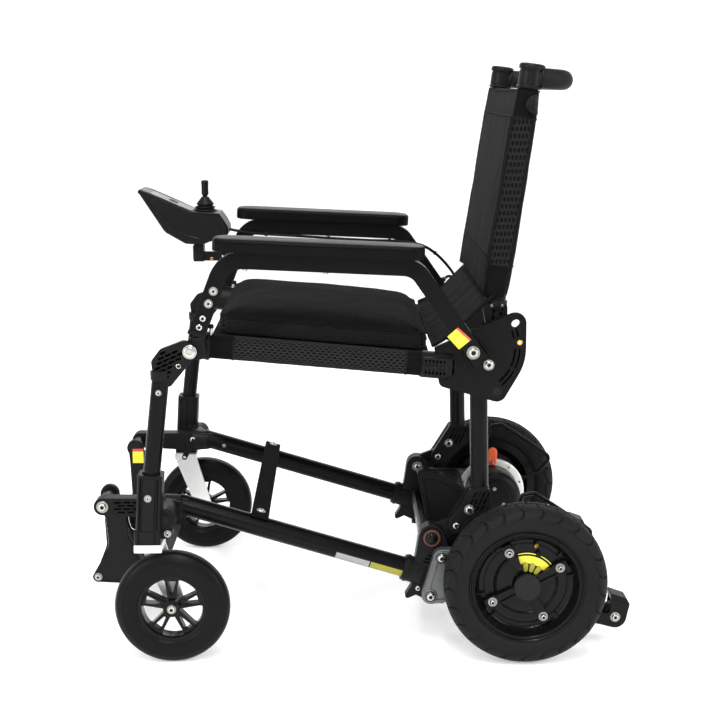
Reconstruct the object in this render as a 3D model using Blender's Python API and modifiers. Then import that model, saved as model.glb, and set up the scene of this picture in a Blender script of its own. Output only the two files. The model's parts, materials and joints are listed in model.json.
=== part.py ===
"""Folding power wheelchair, built as separate named pieces at real size.

Metres, +Z up. +X is the sitter's left and -Y the chair's front. Sizes are laid out in the frame of the
rear axle (y = 0 at the axle, z = 0 on the floor); one root empty then carries everything to the middle.
"""

import math

import bmesh
import bpy
from mathutils import Matrix, Vector

# Running and seating gap between pieces
GAP = 0.0003

# Wheels
WHEEL_R = 0.127
TYRE_W = 0.060
RIM_R = 0.085
BOLT_CIRCLE = 0.058
AXLE_R = 0.0085
CASTER_R = 0.089
CASTER_W = 0.038
CASTER_RIM_R = 0.053
CASTER_TRAIL = 0.033
TYRE_TO_CROWN = 0.003

# Frame, linkage and seat
FRAME_HALF = 0.200
FRAME_SPAN = 0.449
LEG_RISE = 0.260
LEG_LEAN = 0.045
RAIL_R = 0.016
FRONT_LEG_R = 0.013
REAR_LEG_R = 0.014
SEAT_TUBE_R = 0.018
SEAT_ABOVE_KNEE = 0.0025
SEAT_BELOW_BACK = 0.0299251
CUSHION_H = 0.088
PIN_R = 0.0055
PIN_PLAY = 0.0005

# Back, armrests, footrest, battery
BACK_LENGTH = 0.360
BACK_LEAN = math.radians(7.6)
POST_R = 0.0145
HANDLE_R = 0.016
HANDLE_REACH = 0.062
ARM_HALF = 0.0128
ARM_W = 0.023
PAD_W = 0.063
PAD_H = 0.0215
PLATE_T = 0.008
FOOT_DROP = 0.149
BATTERY_W = 0.296

# Side bands, measured outwards from the frame's centre plane
SEAT_X = FRAME_HALF + 0.0245
LEG_X = FRAME_HALF + 0.062
ARM_X = FRAME_HALF + 0.046
PAD_X = FRAME_HALF + 0.0455
POST_X = FRAME_HALF - 0.015
WHEEL_X = FRAME_HALF + 0.040 + TYRE_W / 2
BRACKET_X = FRAME_HALF + 0.0133
HANGER_HALF = LEG_X - CASTER_TRAIL - CASTER_R - 0.002

# Joint centres, as (y, z)
AXLE = (0.0, WHEEL_R)
REAR_PIVOT = (-0.103, 0.200)
CROWN_Z = 2 * CASTER_R + TYRE_TO_CROWN
FRONT_PIVOT = (REAR_PIVOT[0] - FRAME_SPAN, CROWN_Z + 0.049)
REAR_TOP = (REAR_PIVOT[0] + LEG_LEAN, REAR_PIVOT[1] + LEG_RISE)
FRONT_TOP = (FRONT_PIVOT[0] + LEG_LEAN, FRONT_PIVOT[1] + LEG_RISE)
BACK_PIVOT = (REAR_TOP[0] - 0.027, REAR_TOP[1] + 0.025)
CASTER_AXLE = (FRONT_PIVOT[0] + 0.008, CASTER_R)
STEM_Y = CASTER_AXLE[0] - CASTER_TRAIL
FOOT_PIVOT = (FRONT_PIVOT[0] - 0.104, FRONT_PIVOT[1] + 0.002)
FOOTPLATE_PIVOT = (FOOT_PIVOT[0] - 0.025, FOOT_PIVOT[1] - FOOT_DROP + 0.006)
TIP_AXLE = (AXLE[0] + 0.154, 0.0445)
TIP_WHEEL_R = 0.0215
LEVER_PIVOT = (AXLE[0], AXLE[1] + 0.0565)
FRONT_END = FOOTPLATE_PIVOT[0] - 0.0085
REAR_END = TIP_AXLE[0] + 0.030

# Controller, on the right armrest
CONTROL_X = -ARM_X
CONTROL_W = 0.072
STICK_TILT = 0.028
STICK_PIVOT = (FRONT_TOP[0] - 0.0233, FRONT_TOP[1] + 0.1595)
PANEL_SLOPE = math.radians(-23.44)
BUTTON_SEAT = (STICK_PIVOT[0] - 0.0577, STICK_PIVOT[1] + 0.0191)
CABLE_START = (STICK_PIVOT[0] + 0.0446, STICK_PIVOT[1] - 0.0305)

PARTS = None
TOOLS = None
FRAMES = {}

# Colour, roughness and metallic value of each look
LOOKS = {
    "black_paint": ((0.012, 0.012, 0.013), 0.42, 0.0),
    "black_casting": ((0.018, 0.018, 0.019), 0.55, 0.0),
    "bare_aluminium": ((0.60, 0.61, 0.62), 0.35, 1.0),
    "grey_casting": ((0.22, 0.22, 0.22), 0.50, 0.6),
    "rubber": ((0.014, 0.014, 0.014), 0.80, 0.0),
    "foam_grip": ((0.016, 0.016, 0.017), 0.75, 0.0),
    "black_fabric": ((0.010, 0.010, 0.011), 0.90, 0.0),
    "black_plastic": ((0.016, 0.016, 0.017), 0.48, 0.0),
    "orange_plastic": ((0.75, 0.16, 0.05), 0.45, 0.0),
}


def clear_scene():
    for obj in list(bpy.data.objects):
        bpy.data.objects.remove(obj, do_unlink=True)


def make_collections():
    global PARTS, TOOLS
    PARTS = bpy.data.collections.new("folding_power_wheelchair")
    TOOLS = bpy.data.collections.new("wheelchair_cutters")
    bpy.context.scene.collection.children.link(PARTS)
    bpy.context.scene.collection.children.link(TOOLS)


def make_material(name, look):
    """A piece's own material, from the look that it is made in."""
    colour, roughness, metallic = LOOKS[look]
    material = bpy.data.materials.new(name)
    material.use_nodes = True
    shader = material.node_tree.nodes["Principled BSDF"]
    shader.inputs["Base Color"].default_value = (*colour, 1.0)
    shader.inputs["Roughness"].default_value = roughness
    shader.inputs["Metallic"].default_value = metallic
    return material


def add_frame(name, position, parent):
    """An empty on a joint's axis; position is in the rear axle's frame."""
    empty = bpy.data.objects.new(name, None)
    empty.empty_display_size = 0.03
    PARTS.objects.link(empty)
    world = Vector(position)
    if parent is None:
        empty.location = (0.0, -(FRONT_END + REAR_END) / 2, 0.0)
    else:
        empty.parent = FRAMES[parent][0]
        empty.location = world - FRAMES[parent][1]
    FRAMES[name] = (empty, world)


def make_frames():
    add_frame("chassis", (0, 0, 0), None)
    add_frame("front_legs", (0, *FRONT_PIVOT), "chassis")
    add_frame("rear_legs", (0, *REAR_PIVOT), "chassis")
    add_frame("seat", (0, *FRONT_TOP), "front_legs")
    add_frame("back", (0, *BACK_PIVOT), "seat")
    add_frame("foot", (0, *FOOT_PIVOT), "chassis")
    add_frame("plate", (0, *FOOTPLATE_PIVOT), "foot")
    for side, mark in ((1, "L"), (-1, "R")):
        add_frame("wheel_" + mark, (side * WHEEL_X, *AXLE), "chassis")
        add_frame("lever_" + mark, (side * (FRAME_HALF + 0.003), *LEVER_PIVOT), "chassis")
        add_frame("tip_" + mark, (side * (FRAME_HALF - 0.004), *TIP_AXLE), "chassis")
        add_frame("stem_" + mark, (side * LEG_X, STEM_Y, CROWN_Z), "front_legs")
        add_frame("caster_" + mark, (side * LEG_X, *CASTER_AXLE), "stem_" + mark)
        add_frame("arm_" + mark, (side * ARM_X, *BACK_PIVOT), "seat")
    add_frame("stick_pitch", (CONTROL_X, *STICK_PIVOT), "arm_R")
    add_frame("stick_roll", (CONTROL_X, *STICK_PIVOT), "stick_pitch")
    add_frame("button", (CONTROL_X, *BUTTON_SEAT), "arm_R")


def helper(mesh, label):
    """A hidden solid that a Boolean reads."""
    obj = bpy.data.objects.new("tool_" + label, mesh)
    obj.hide_render = True
    obj.display_type = "WIRE"
    obj.parent = FRAMES["chassis"][0]
    TOOLS.objects.link(obj)
    return obj


def from_bmesh(shape, matrix, label):
    mesh = bpy.data.meshes.new(label)
    shape.to_mesh(mesh)
    shape.free()
    mesh.transform(matrix)
    return helper(mesh, label)


def from_curve(curve, matrix, label):
    """The curve's solid as a welded mesh."""
    obj = bpy.data.objects.new(label, curve)
    bpy.context.scene.collection.objects.link(obj)
    obj.matrix_world = matrix
    bpy.context.view_layer.update()
    evaluated = obj.evaluated_get(bpy.context.evaluated_depsgraph_get())
    mesh = bpy.data.meshes.new_from_object(evaluated)
    shape = bmesh.new()
    shape.from_mesh(mesh)
    bmesh.ops.remove_doubles(shape, verts=shape.verts, dist=1e-5)
    bmesh.ops.recalc_face_normals(shape, faces=shape.faces)
    bpy.data.objects.remove(obj)
    return from_bmesh(shape, matrix, label)


def block(size, centre, tilt=0.0, bevel=0.0, segments=2, label="block"):
    """A box with its middle at centre, turned by tilt about X, its edges rounded."""
    shape = bmesh.new()
    bmesh.ops.create_cube(shape, size=1.0)
    bmesh.ops.scale(shape, vec=size, verts=shape.verts)
    if bevel:
        bmesh.ops.bevel(shape, geom=shape.edges[:], offset=bevel, segments=segments, affect="EDGES", profile=0.5)
    return from_bmesh(shape, Matrix.Translation(centre) @ Matrix.Rotation(tilt, 4, "X"), label)


def cone(start, end, radius, end_radius=None, sides=12, label="rod"):
    """A round bar from start to end."""
    along = Vector(end) - Vector(start)
    shape = bmesh.new()
    bmesh.ops.create_cone(
        shape,
        cap_ends=True,
        segments=sides,
        radius1=radius,
        radius2=radius if end_radius is None else end_radius,
        depth=along.length,
    )
    turn = along.to_track_quat("Z", "Y").to_matrix().to_4x4()
    middle = (Vector(start) + Vector(end)) / 2
    return from_bmesh(shape, Matrix.Translation(middle) @ turn, label)


def disc(centre, x_from, x_to, radius, sides=10, label="disc"):
    """A round bar along X between two planes."""
    return cone((x_from, *centre), (x_to, *centre), radius, sides=sides, label=label)


def tube(points, radius, resolution=5, label="tube"):
    """A round bar along a run of points."""
    curve = bpy.data.curves.new(label, "CURVE")
    curve.dimensions = "3D"
    curve.bevel_depth = radius
    curve.bevel_resolution = resolution
    curve.use_fill_caps = True
    spline = curve.splines.new("POLY")
    spline.points.add(len(points) - 1)
    for point, place in zip(spline.points, points):
        point.co = (*place, 1.0)
    return from_curve(curve, Matrix.Identity(4), label)


def smooth_run(points, steps):
    """A Catmull-Rom curve through the points."""
    ends = [points[0]] + list(points) + [points[-1]]
    run = []
    for i in range(len(points) - 1):
        a, b, c, d = (Vector(p) for p in ends[i : i + 4])
        for k in range(steps):
            t = k / steps
            run.append(
                0.5 * (2 * b + (c - a) * t + (2 * a - 5 * b + 4 * c - d) * t**2 + (3 * b - a - 3 * c + d) * t**3)
            )
    run.append(Vector(points[-1]))
    return run


def belt(circles, degrees=45):
    """A closed outline pulled tight round circles (y, z, r): r below 0 is an inside fillet, 0 a corner."""
    headings = []
    for (y1, z1, r1), (y2, z2, r2) in zip(circles, circles[1:] + circles[:1]):
        length = math.hypot(y2 - y1, z2 - z1)
        headings.append(math.atan2(z2 - z1, y2 - y1) + math.asin((r1 - r2) / length))
    outline = []
    for i, (y, z, r) in enumerate(circles):
        if r == 0:
            outline.append((y, z))
            continue
        turn = (headings[i] - headings[i - 1]) % math.tau
        if r < 0:
            turn -= math.tau
        steps = max(1, math.ceil(abs(turn) / math.radians(degrees)))
        for k in range(steps + 1):
            heading = headings[i - 1] + turn * k / steps
            outline.append((y + r * math.sin(heading), z - r * math.cos(heading)))
    return outline


def ribbon(path, radii, half, degrees=26):
    """The outline of a flat bar of even width along a path whose inner corners are rounded."""

    def side(points, bends):
        run = []
        start = heading(points[0], points[1])
        run.append((points[0][0] + half * math.sin(start), points[0][1] - half * math.cos(start), 0))
        for a, b, c, radius in zip(points, points[1:], points[2:], bends):
            before = heading(a, b)
            turn = (heading(b, c) - before + math.pi) % math.tau - math.pi
            way = math.copysign(1, turn)
            back = radius * math.tan(abs(turn) / 2)
            tangent = (b[0] - back * math.cos(before), b[1] - back * math.sin(before))
            centre = (tangent[0] - way * radius * math.sin(before), tangent[1] + way * radius * math.cos(before))
            run.append((*centre, radius + half if way > 0 else half - radius))
        end = heading(points[-2], points[-1])
        run.append((points[-1][0] + half * math.sin(end), points[-1][1] - half * math.cos(end), 0))
        return run

    return belt(side(path, radii) + side(path[::-1], radii[::-1]), degrees)


def heading(a, b):
    return math.atan2(b[1] - a[1], b[0] - a[0])


def sheet(outlines, x_from, x_to, label="plate"):
    """A flat plate along X; the first outline is its edge and the others are holes."""
    curve = bpy.data.curves.new(label, "CURVE")
    curve.dimensions = "2D"
    curve.fill_mode = "BOTH"
    curve.extrude = abs(x_to - x_from) / 2
    for outline in outlines:
        spline = curve.splines.new("POLY")
        spline.points.add(len(outline) - 1)
        spline.use_cyclic_u = True
        for point, (y, z) in zip(spline.points, outline):
            point.co = (y, z, 0.0, 1.0)
    upright = Matrix(((0, 0, 1, (x_from + x_to) / 2), (1, 0, 0, 0), (0, 1, 0, 0), (0, 0, 0, 1)))
    return from_curve(curve, upright, label)


def ring_of(centre, radius, sides=10):
    turns = (math.tau * k / sides for k in range(sides))
    return [(centre[0] + radius * math.cos(t), centre[1] + radius * math.sin(t)) for t in turns]


def slots(corner, along, rows, columns, length, width, pitch, row_pitch, x_from, x_to):
    """Brick-set rows of slots as one cutter; along is the rows' direction as an angle."""
    shape = bmesh.new()
    run = Vector((0, math.cos(along), math.sin(along)))
    rise = Vector((0, -math.sin(along), math.cos(along)))
    for row in range(rows):
        for column in range(columns):
            shift = (column + 0.5 * (row % 2)) * pitch
            middle = Vector((0, *corner)) + run * shift + rise * row * row_pitch
            middle.x = (x_from + x_to) / 2
            size = (abs(x_to - x_from), length, width, 1.0)
            place = Matrix.Translation(middle) @ Matrix.Rotation(along, 4, "X") @ Matrix.Diagonal(size)
            bmesh.ops.create_cube(shape, size=1.0, matrix=place)
    return from_bmesh(shape, Matrix.Identity(4), "slots")


def turned(profile, centre, steps, axis="X", label="turned"):
    """A closed profile of (along, radius) points turned about an axis through centre."""
    area = sum(a[0] * b[1] - b[0] * a[1] for a, b in zip(profile, profile[1:] + profile[:1]))
    if area < 0:
        profile = profile[::-1]
    mesh = bpy.data.meshes.new(label)
    places = {"X": lambda a, r: (a, r, 0), "Z": lambda a, r: (r, 0, a)}
    edges = []
    for k, (_, r) in enumerate(profile):
        after = (k + 1) % len(profile)
        if r > 0 or profile[after][1] > 0:
            edges.append((k, after))
    mesh.from_pydata([places[axis](a, r) for a, r in profile], edges, [])
    obj = helper(mesh, label)
    obj.location = centre
    screw = obj.modifiers.new("turn", "SCREW")
    screw.axis = axis
    screw.steps = steps
    screw.render_steps = steps
    screw.use_merge_vertices = True
    screw.merge_threshold = 0.00001
    return obj


def soft_block(cuts, shape_at, levels, label):
    """A cube cut into a grid, each corner of it sent where shape_at says, then smoothed."""
    shape = bmesh.new()
    bmesh.ops.create_cube(shape, size=2.0)
    for axis in range(3):
        for k in range(1, cuts[axis]):
            place = Vector((0, 0, 0))
            place[axis] = -1 + 2 * k / cuts[axis]
            facing = Vector((0, 0, 0))
            facing[axis] = 1
            bmesh.ops.bisect_plane(
                shape, geom=shape.verts[:] + shape.edges[:] + shape.faces[:], plane_co=place, plane_no=facing
            )
    for vert in shape.verts:
        vert.co = shape_at(*vert.co)
    bmesh.ops.recalc_face_normals(shape, faces=shape.faces)
    obj = from_bmesh(shape, Matrix.Identity(4), label)
    smooth = obj.modifiers.new("smooth", "SUBSURF")
    smooth.levels = levels
    smooth.render_levels = levels
    return obj


def node(name, frame, look, base, add=(), cut=(), last=()):
    """Makes base a named piece: joined with add, cut by cut, joined with last, its origin on its frame."""
    for kind, tools in (("UNION", add), ("DIFFERENCE", cut), ("UNION", last)):
        for tool in tools:
            boolean = base.modifiers.new(kind.lower(), "BOOLEAN")
            boolean.operation = kind
            boolean.solver = "EXACT"
            boolean.object = tool
    base.name = name
    base.data.name = name
    base.hide_render = False
    base.display_type = "TEXTURED"
    TOOLS.objects.unlink(base)
    PARTS.objects.link(base)
    empty, world = FRAMES[frame]
    if base.location.length == 0:
        base.data.transform(Matrix.Translation(-world))
        base.location = world
    base.parent = empty
    base.location = base.location - world
    base.data.materials.clear()
    base.data.materials.append(make_material(name, look))
    base.data.shade_smooth()
    base.data.set_sharp_from_angle(angle=math.radians(35))


def shift(point, dy, dz):
    return (point[0] + dy, point[1] + dz)


def along_line(start, end, distance):
    """The point that far from start towards end."""
    turn = heading(start, end)
    return (start[0] + distance * math.cos(turn), start[1] + distance * math.sin(turn))


# Lower frame
RAIL_FRONT = shift(FRONT_PIVOT, 0.037, -0.003)
RAIL_REAR = shift(REAR_PIVOT, -0.052, -0.082)
COLLAR_L = 0.032
COLLAR_WALL = 0.0045


def build_side_rail(side, mark):
    x = side * FRAME_HALF
    rail = cone((x, *RAIL_FRONT), (x, *RAIL_REAR), RAIL_R, sides=12, label="rail")
    node("side_rail_" + mark, "chassis", "black_paint", rail)


def build_front_arm(side, mark):
    """Cast beam that carries the footrest pivot, the front leg's pivot and the rail's front end."""
    x_in = side * (FRAME_HALF - 0.012)
    x_out = side * (FRAME_HALF + 0.012)
    start = along_line(RAIL_FRONT, RAIL_REAR, COLLAR_L / 2)
    end = along_line(RAIL_FRONT, RAIL_REAR, -COLLAR_L / 2)
    beam = sheet([belt([(*FOOT_PIVOT, 0.0135), (*shift(FRONT_PIVOT, 0.020, -0.001), 0.0145)])], x_in, x_out, "beam")
    middle = side * FRAME_HALF
    collar = cone((middle, *end), (middle, *start), RAIL_R + COLLAR_WALL, sides=12, label="collar")
    boss_end = side * (LEG_X - 0.019 - GAP)
    boss = disc(FRONT_PIVOT, side * FRAME_HALF, boss_end, 0.0155, sides=14, label="boss")
    pin = disc(FRONT_PIVOT, side * (FRAME_HALF + 0.005), side * (LEG_X + 0.004), PIN_R, sides=10, label="pin")
    lever_x = side * (FRAME_HALF - 0.0155)
    latch_top = shift(FRONT_PIVOT, -0.005, 0.004)
    latch_end = shift(FRONT_PIVOT, -0.0216, -0.0303)
    latch = sheet([belt([(*latch_top, 0.007), (*latch_end, 0.005)])], lever_x, x_in + side * 0.002, "latch")
    rail_end = along_line(RAIL_FRONT, RAIL_REAR, -GAP)
    bore = cone((middle, *rail_end), (middle, *RAIL_REAR), RAIL_R + GAP, sides=12, label="bore")
    corner = shift(FOOT_PIVOT, 0.022, -0.0078)
    recess = slots(corner, 0, 3, 2, 0.0150, 0.0026, 0.0190, 0.0068, x_out - side * 0.003, x_out + side * 0.01)
    hole = disc(FOOT_PIVOT, side * (FRAME_HALF - 0.03), side * (FRAME_HALF + 0.03), PIN_R + PIN_PLAY, sides=10)
    node("front_arm_" + mark, "chassis", "black_casting", beam, [collar, boss, pin, latch], [bore, recess, hole])


def build_cross_strap():
    """Flat strap laid across both rails behind the casters."""
    slope = heading(RAIL_FRONT, RAIL_REAR)
    spot = along_line(RAIL_FRONT, RAIL_REAR, 0.103)
    lift = RAIL_R + GAP + 0.004
    centre = (0, spot[0] - lift * math.sin(slope), spot[1] + lift * math.cos(slope))
    strap = block((2 * FRAME_HALF + 0.026, 0.028, 0.008), centre, slope, 0.0015, 1, "strap")
    node("cross_strap", "chassis", "black_paint", strap)


KNUCKLE_HALF = 0.013
TONGUE_HALF = 0.005
SHAFT_END = shift(REAR_PIVOT, -0.038, -0.020)
BRACKET_TOP = shift(REAR_PIVOT, -0.0235, -0.047)
BRACKET_LOW = shift(REAR_PIVOT, -0.040, -0.1104)
HOOK_BOLT = shift(REAR_PIVOT, -0.059, -0.1045)
HOOK_TIP = shift(REAR_PIVOT, -0.075, -0.119)
TIP_X = FRAME_HALF - 0.004
TIP_ARM_R = 0.0085
TIP_ROOT = shift(BRACKET_LOW, -0.006, -0.0105)
TIP_END = shift(TIP_AXLE, -0.030, -0.001)


def build_rear_knuckle(side, mark):
    """Black casting that ends the rail and carries the rear leg's pivot and the drive bracket."""
    x_in = side * (FRAME_HALF - KNUCKLE_HALF)
    x_out = side * (FRAME_HALF + KNUCKLE_HALF)
    body = sheet(
        [
            belt(
                [
                    (*SHAFT_END, 0.020),
                    (*HOOK_BOLT, 0.0115),
                    (*BRACKET_LOW, 0.0145),
                    (*BRACKET_TOP, 0.0135),
                ]
            )
        ],
        x_in,
        x_out,
        "knuckle",
    )
    collar_from = along_line(RAIL_REAR, RAIL_FRONT, COLLAR_L)
    middle = side * FRAME_HALF
    collar = cone((middle, *collar_from), (middle, *RAIL_REAR), RAIL_R + COLLAR_WALL, sides=12, label="collar")
    tongue = sheet(
        [belt([(*SHAFT_END, 0.017), (*REAR_PIVOT, 0.0125)])],
        side * (FRAME_HALF - TONGUE_HALF),
        side * (FRAME_HALF + TONGUE_HALF),
        "tongue",
    )
    pin = disc(REAR_PIVOT, side * (FRAME_HALF - 0.0178), side * (FRAME_HALF + 0.0178), PIN_R, sides=10)
    hook = sheet([belt([(*HOOK_BOLT, 0.0105), (*HOOK_TIP, 0.004)])], x_in + side * 0.004, x_out - side * 0.004, "hook")
    boss = disc(SHAFT_END, middle, side * (FRAME_HALF + 0.0185), 0.0145, sides=14, label="boss")
    bore = cone((middle, *RAIL_FRONT), (middle, *along_line(RAIL_REAR, RAIL_FRONT, -GAP)), RAIL_R + GAP, sides=12)
    tip_x = side * TIP_X
    socket = cone((tip_x, *TIP_ROOT), (tip_x, *along_line(TIP_ROOT, TIP_END, 0.030)), TIP_ARM_R + 0.0035, label="socket")
    tip_bore = cone((tip_x, *along_line(TIP_ROOT, TIP_END, 0.006)), (tip_x, *TIP_END), TIP_ARM_R + GAP, label="bore")
    add = [collar, tongue, hook, boss, socket]
    node("rear_knuckle_" + mark, "chassis", "black_casting", body, add, [bore, tip_bore], [pin])


TRAY_Z = 0.1375
TRAY_T = 0.006


def build_rear_frame():
    """Cross beam between the knuckles with the tray that the battery stands on."""
    width = 2 * (FRAME_HALF - KNUCKLE_HALF - GAP)
    front = REAR_PIVOT[0] - 0.050
    back = REAR_PIVOT[0] + 0.040
    beam = block((width, 0.030, 0.022), (0, BRACKET_TOP[0] - 0.004, TRAY_Z - 0.015), 0, 0.002, 1, "beam")
    middle = (front + back) / 2
    floor = block((BATTERY_W + 0.012, back - front, TRAY_T), (0, middle, TRAY_Z - TRAY_T / 2), 0, 0.001, 1)
    lip = block((BATTERY_W + 0.006, 0.004, 0.018), (0, front + 0.0015, TRAY_Z + 0.004), label="lip")
    stops = []
    for side in (1, -1):
        stops.append(block((0.0035, 0.060, 0.020), (side * (BATTERY_W / 2 + 0.0023), middle, TRAY_Z + 0.005)))
    node("rear_frame", "chassis", "black_paint", beam, [floor, lip] + stops)


def build_battery():
    """Leaning power pack, tapered at its top and rear, with a folded carrying handle."""
    base = TRAY_Z + GAP
    outline = belt(
        [
            (REAR_PIVOT[0] - 0.0365, base + 0.008, 0.008),
            (REAR_PIVOT[0] + 0.028, base + 0.010, 0.010),
            (REAR_PIVOT[0] + 0.030, base + 0.068, 0.014),
            (REAR_PIVOT[0] - 0.026, base + 0.124, 0.010),
            (REAR_PIVOT[0] - 0.050, base + 0.124, 0.009),
        ]
    )
    half = BATTERY_W / 2
    case = sheet([outline], -half, half, "case")
    rim = case.modifiers.new("soft_edges", "BEVEL")
    rim.width = 0.0025
    rim.segments = 1
    rim.limit_method = "ANGLE"
    rim.angle_limit = math.radians(50)
    top = base + 0.138
    y = REAR_PIVOT[0] - 0.038
    grip = [(-0.055, -0.012), (-0.051, 0.008), (0, 0.014), (0.051, 0.008), (0.055, -0.012)]
    handle = tube(smooth_run([(x, y, top + rise) for x, rise in grip], 3), 0.0045, 3, "handle")
    node("battery", "battery_slide", "black_plastic", case, [handle])


def build_drive_bracket(side, mark):
    """Aluminium casting from the knuckle to the axle, with the bent wire guard of the motor."""
    x_in = side * BRACKET_X
    x_out = side * (BRACKET_X + 0.0205)
    outline = belt([(*BRACKET_LOW, 0.0140), (*AXLE, 0.036), (*BRACKET_TOP, 0.0125)])
    window_y = (BRACKET_LOW[0] + AXLE[0]) / 2
    window_z = (BRACKET_LOW[1] + AXLE[1]) / 2
    corners = ((-0.028, -0.008, 0.004), (0.014, 0.004, 0.009), (-0.024, 0.022, 0.004))
    window = belt([(window_y + dy, window_z + dz, r) for dy, dz, r in corners])
    plate = sheet([outline, window], x_in, x_out, "bracket")
    bolts = (BRACKET_TOP, BRACKET_LOW)
    heads = [disc(spot, side * (BRACKET_X + 0.015), x_out + side * 0.003, 0.0065, sides=8) for spot in bolts]
    guard_x = side * (BRACKET_X + 0.0035)
    guard = tube(
        smooth_run(
            [
                (guard_x, AXLE[0] - 0.014, AXLE[1] + 0.024),
                (guard_x, AXLE[0] - 0.012, AXLE[1] + 0.078),
                (guard_x, AXLE[0] + 0.002, AXLE[1] + 0.123),
                (guard_x, AXLE[0] + 0.022, AXLE[1] + 0.124),
                (guard_x, AXLE[0] + 0.080, AXLE[1] + 0.086),
                (guard_x, AXLE[0] + 0.108, AXLE[1] + 0.060),
                (guard_x, AXLE[0] + 0.096, AXLE[1] + 0.030),
                (guard_x, AXLE[0] + 0.022, AXLE[1] + 0.008),
            ],
            2,
        ),
        0.0033,
        1,
        "guard",
    )
    bore = disc(AXLE, side * FRAME_HALF, side * WHEEL_X, AXLE_R + PIN_PLAY, sides=20, label="bore")
    node("drive_bracket_" + mark, "chassis", "grey_casting", plate, heads + [guard], [bore])


MOTOR_FLANGE_R = 0.062
MOTOR_CAN_R = 0.050


def build_motor(side, mark):
    """Geared motor: black can, silver flange ring, and the axle that the wheel turns on."""
    face = BRACKET_X - GAP
    inner = FRAME_HALF - 0.050
    profile = [
        (inner, 0.0),
        (inner, MOTOR_CAN_R - 0.008),
        (inner + 0.008, MOTOR_CAN_R),
        (face - 0.008, MOTOR_CAN_R),
        (face - 0.008, MOTOR_FLANGE_R),
        (face, MOTOR_FLANGE_R),
        (face, AXLE_R),
        (WHEEL_X + 0.024, AXLE_R),
        (WHEEL_X + 0.024, 0.0),
    ]
    can = turned([(side * a, r) for a, r in profile], (0, *AXLE), 16, label="can")
    screws = []
    for k in range(5):
        turn = math.radians(54 + 72 * k)
        spot = shift(AXLE, 0.056 * math.cos(turn), 0.056 * math.sin(turn))
        screws.append(disc(spot, side * (face - 0.0105), side * (face - 0.004), 0.0030, sides=6))
    pin = disc(LEVER_PIVOT, side * (face - 0.019), side * (face - 0.004), 0.003, sides=8)
    node("motor_" + mark, "chassis", "black_paint", can, screws + [pin])


def build_release_lever(side, mark):
    x_out = side * (BRACKET_X - GAP - 0.0083)
    x_in = x_out - side * 0.0065
    top = shift(LEVER_PIVOT, 0.001, 0.030)
    outline = belt([(*LEVER_PIVOT, 0.0055), (*top, 0.0085)])
    lever = sheet([outline, ring_of(LEVER_PIVOT, 0.003 + PIN_PLAY, 8)], x_in, x_out, "lever")
    node("release_lever_" + mark, "lever_" + mark, "orange_plastic", lever)


def build_anti_tip(side, mark):
    """Round arm under the motor with a wedge-topped fork, and its roller."""
    x = side * TIP_X
    start = along_line(TIP_ROOT, TIP_END, 0.006 + GAP)
    arm = cone((x, *start), (x, *TIP_END), TIP_ARM_R, sides=12, label="arm")
    outline = belt(
        [
            (*shift(TIP_AXLE, -0.030, -0.004), 0.008),
            (*shift(TIP_AXLE, 0.002, -0.002), 0.0115),
            (*shift(TIP_AXLE, 0.024, 0.010), 0.006),
            (*shift(TIP_AXLE, 0.022, 0.018), 0.004),
            (*shift(TIP_AXLE, -0.020, 0.036), 0.004),
        ]
    )
    cheeks = sheet([outline], x - side * 0.016, x + side * 0.016, "fork")
    roller_gap = disc(TIP_AXLE, x - side * 0.0105, x + side * 0.0105, TIP_WHEEL_R + 0.002, sides=16, label="gap")
    axle = disc(TIP_AXLE, x - side * 0.0125, x + side * 0.0125, 0.004, sides=8, label="axle")
    node("anti_tip_arm_" + mark, "chassis", "black_plastic", arm, [cheeks], [roller_gap], [axle])
    edge = TIP_WHEEL_R - 0.0035
    profile = [(-0.009, 0.0045), (-0.009, edge), (-0.006, TIP_WHEEL_R)]
    profile += [(0.006, TIP_WHEEL_R), (0.009, edge), (0.009, 0.0045)]
    roller = turned(profile, (x, *TIP_AXLE), 14, label="roller")
    node("anti_tip_wheel_" + mark, "tip_" + mark, "rubber", roller)


# Wheels
WHEEL_STEPS = 24
CASTER_STEPS = 20
HUB_R = 0.0195
DRUM_R = 0.047


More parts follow.
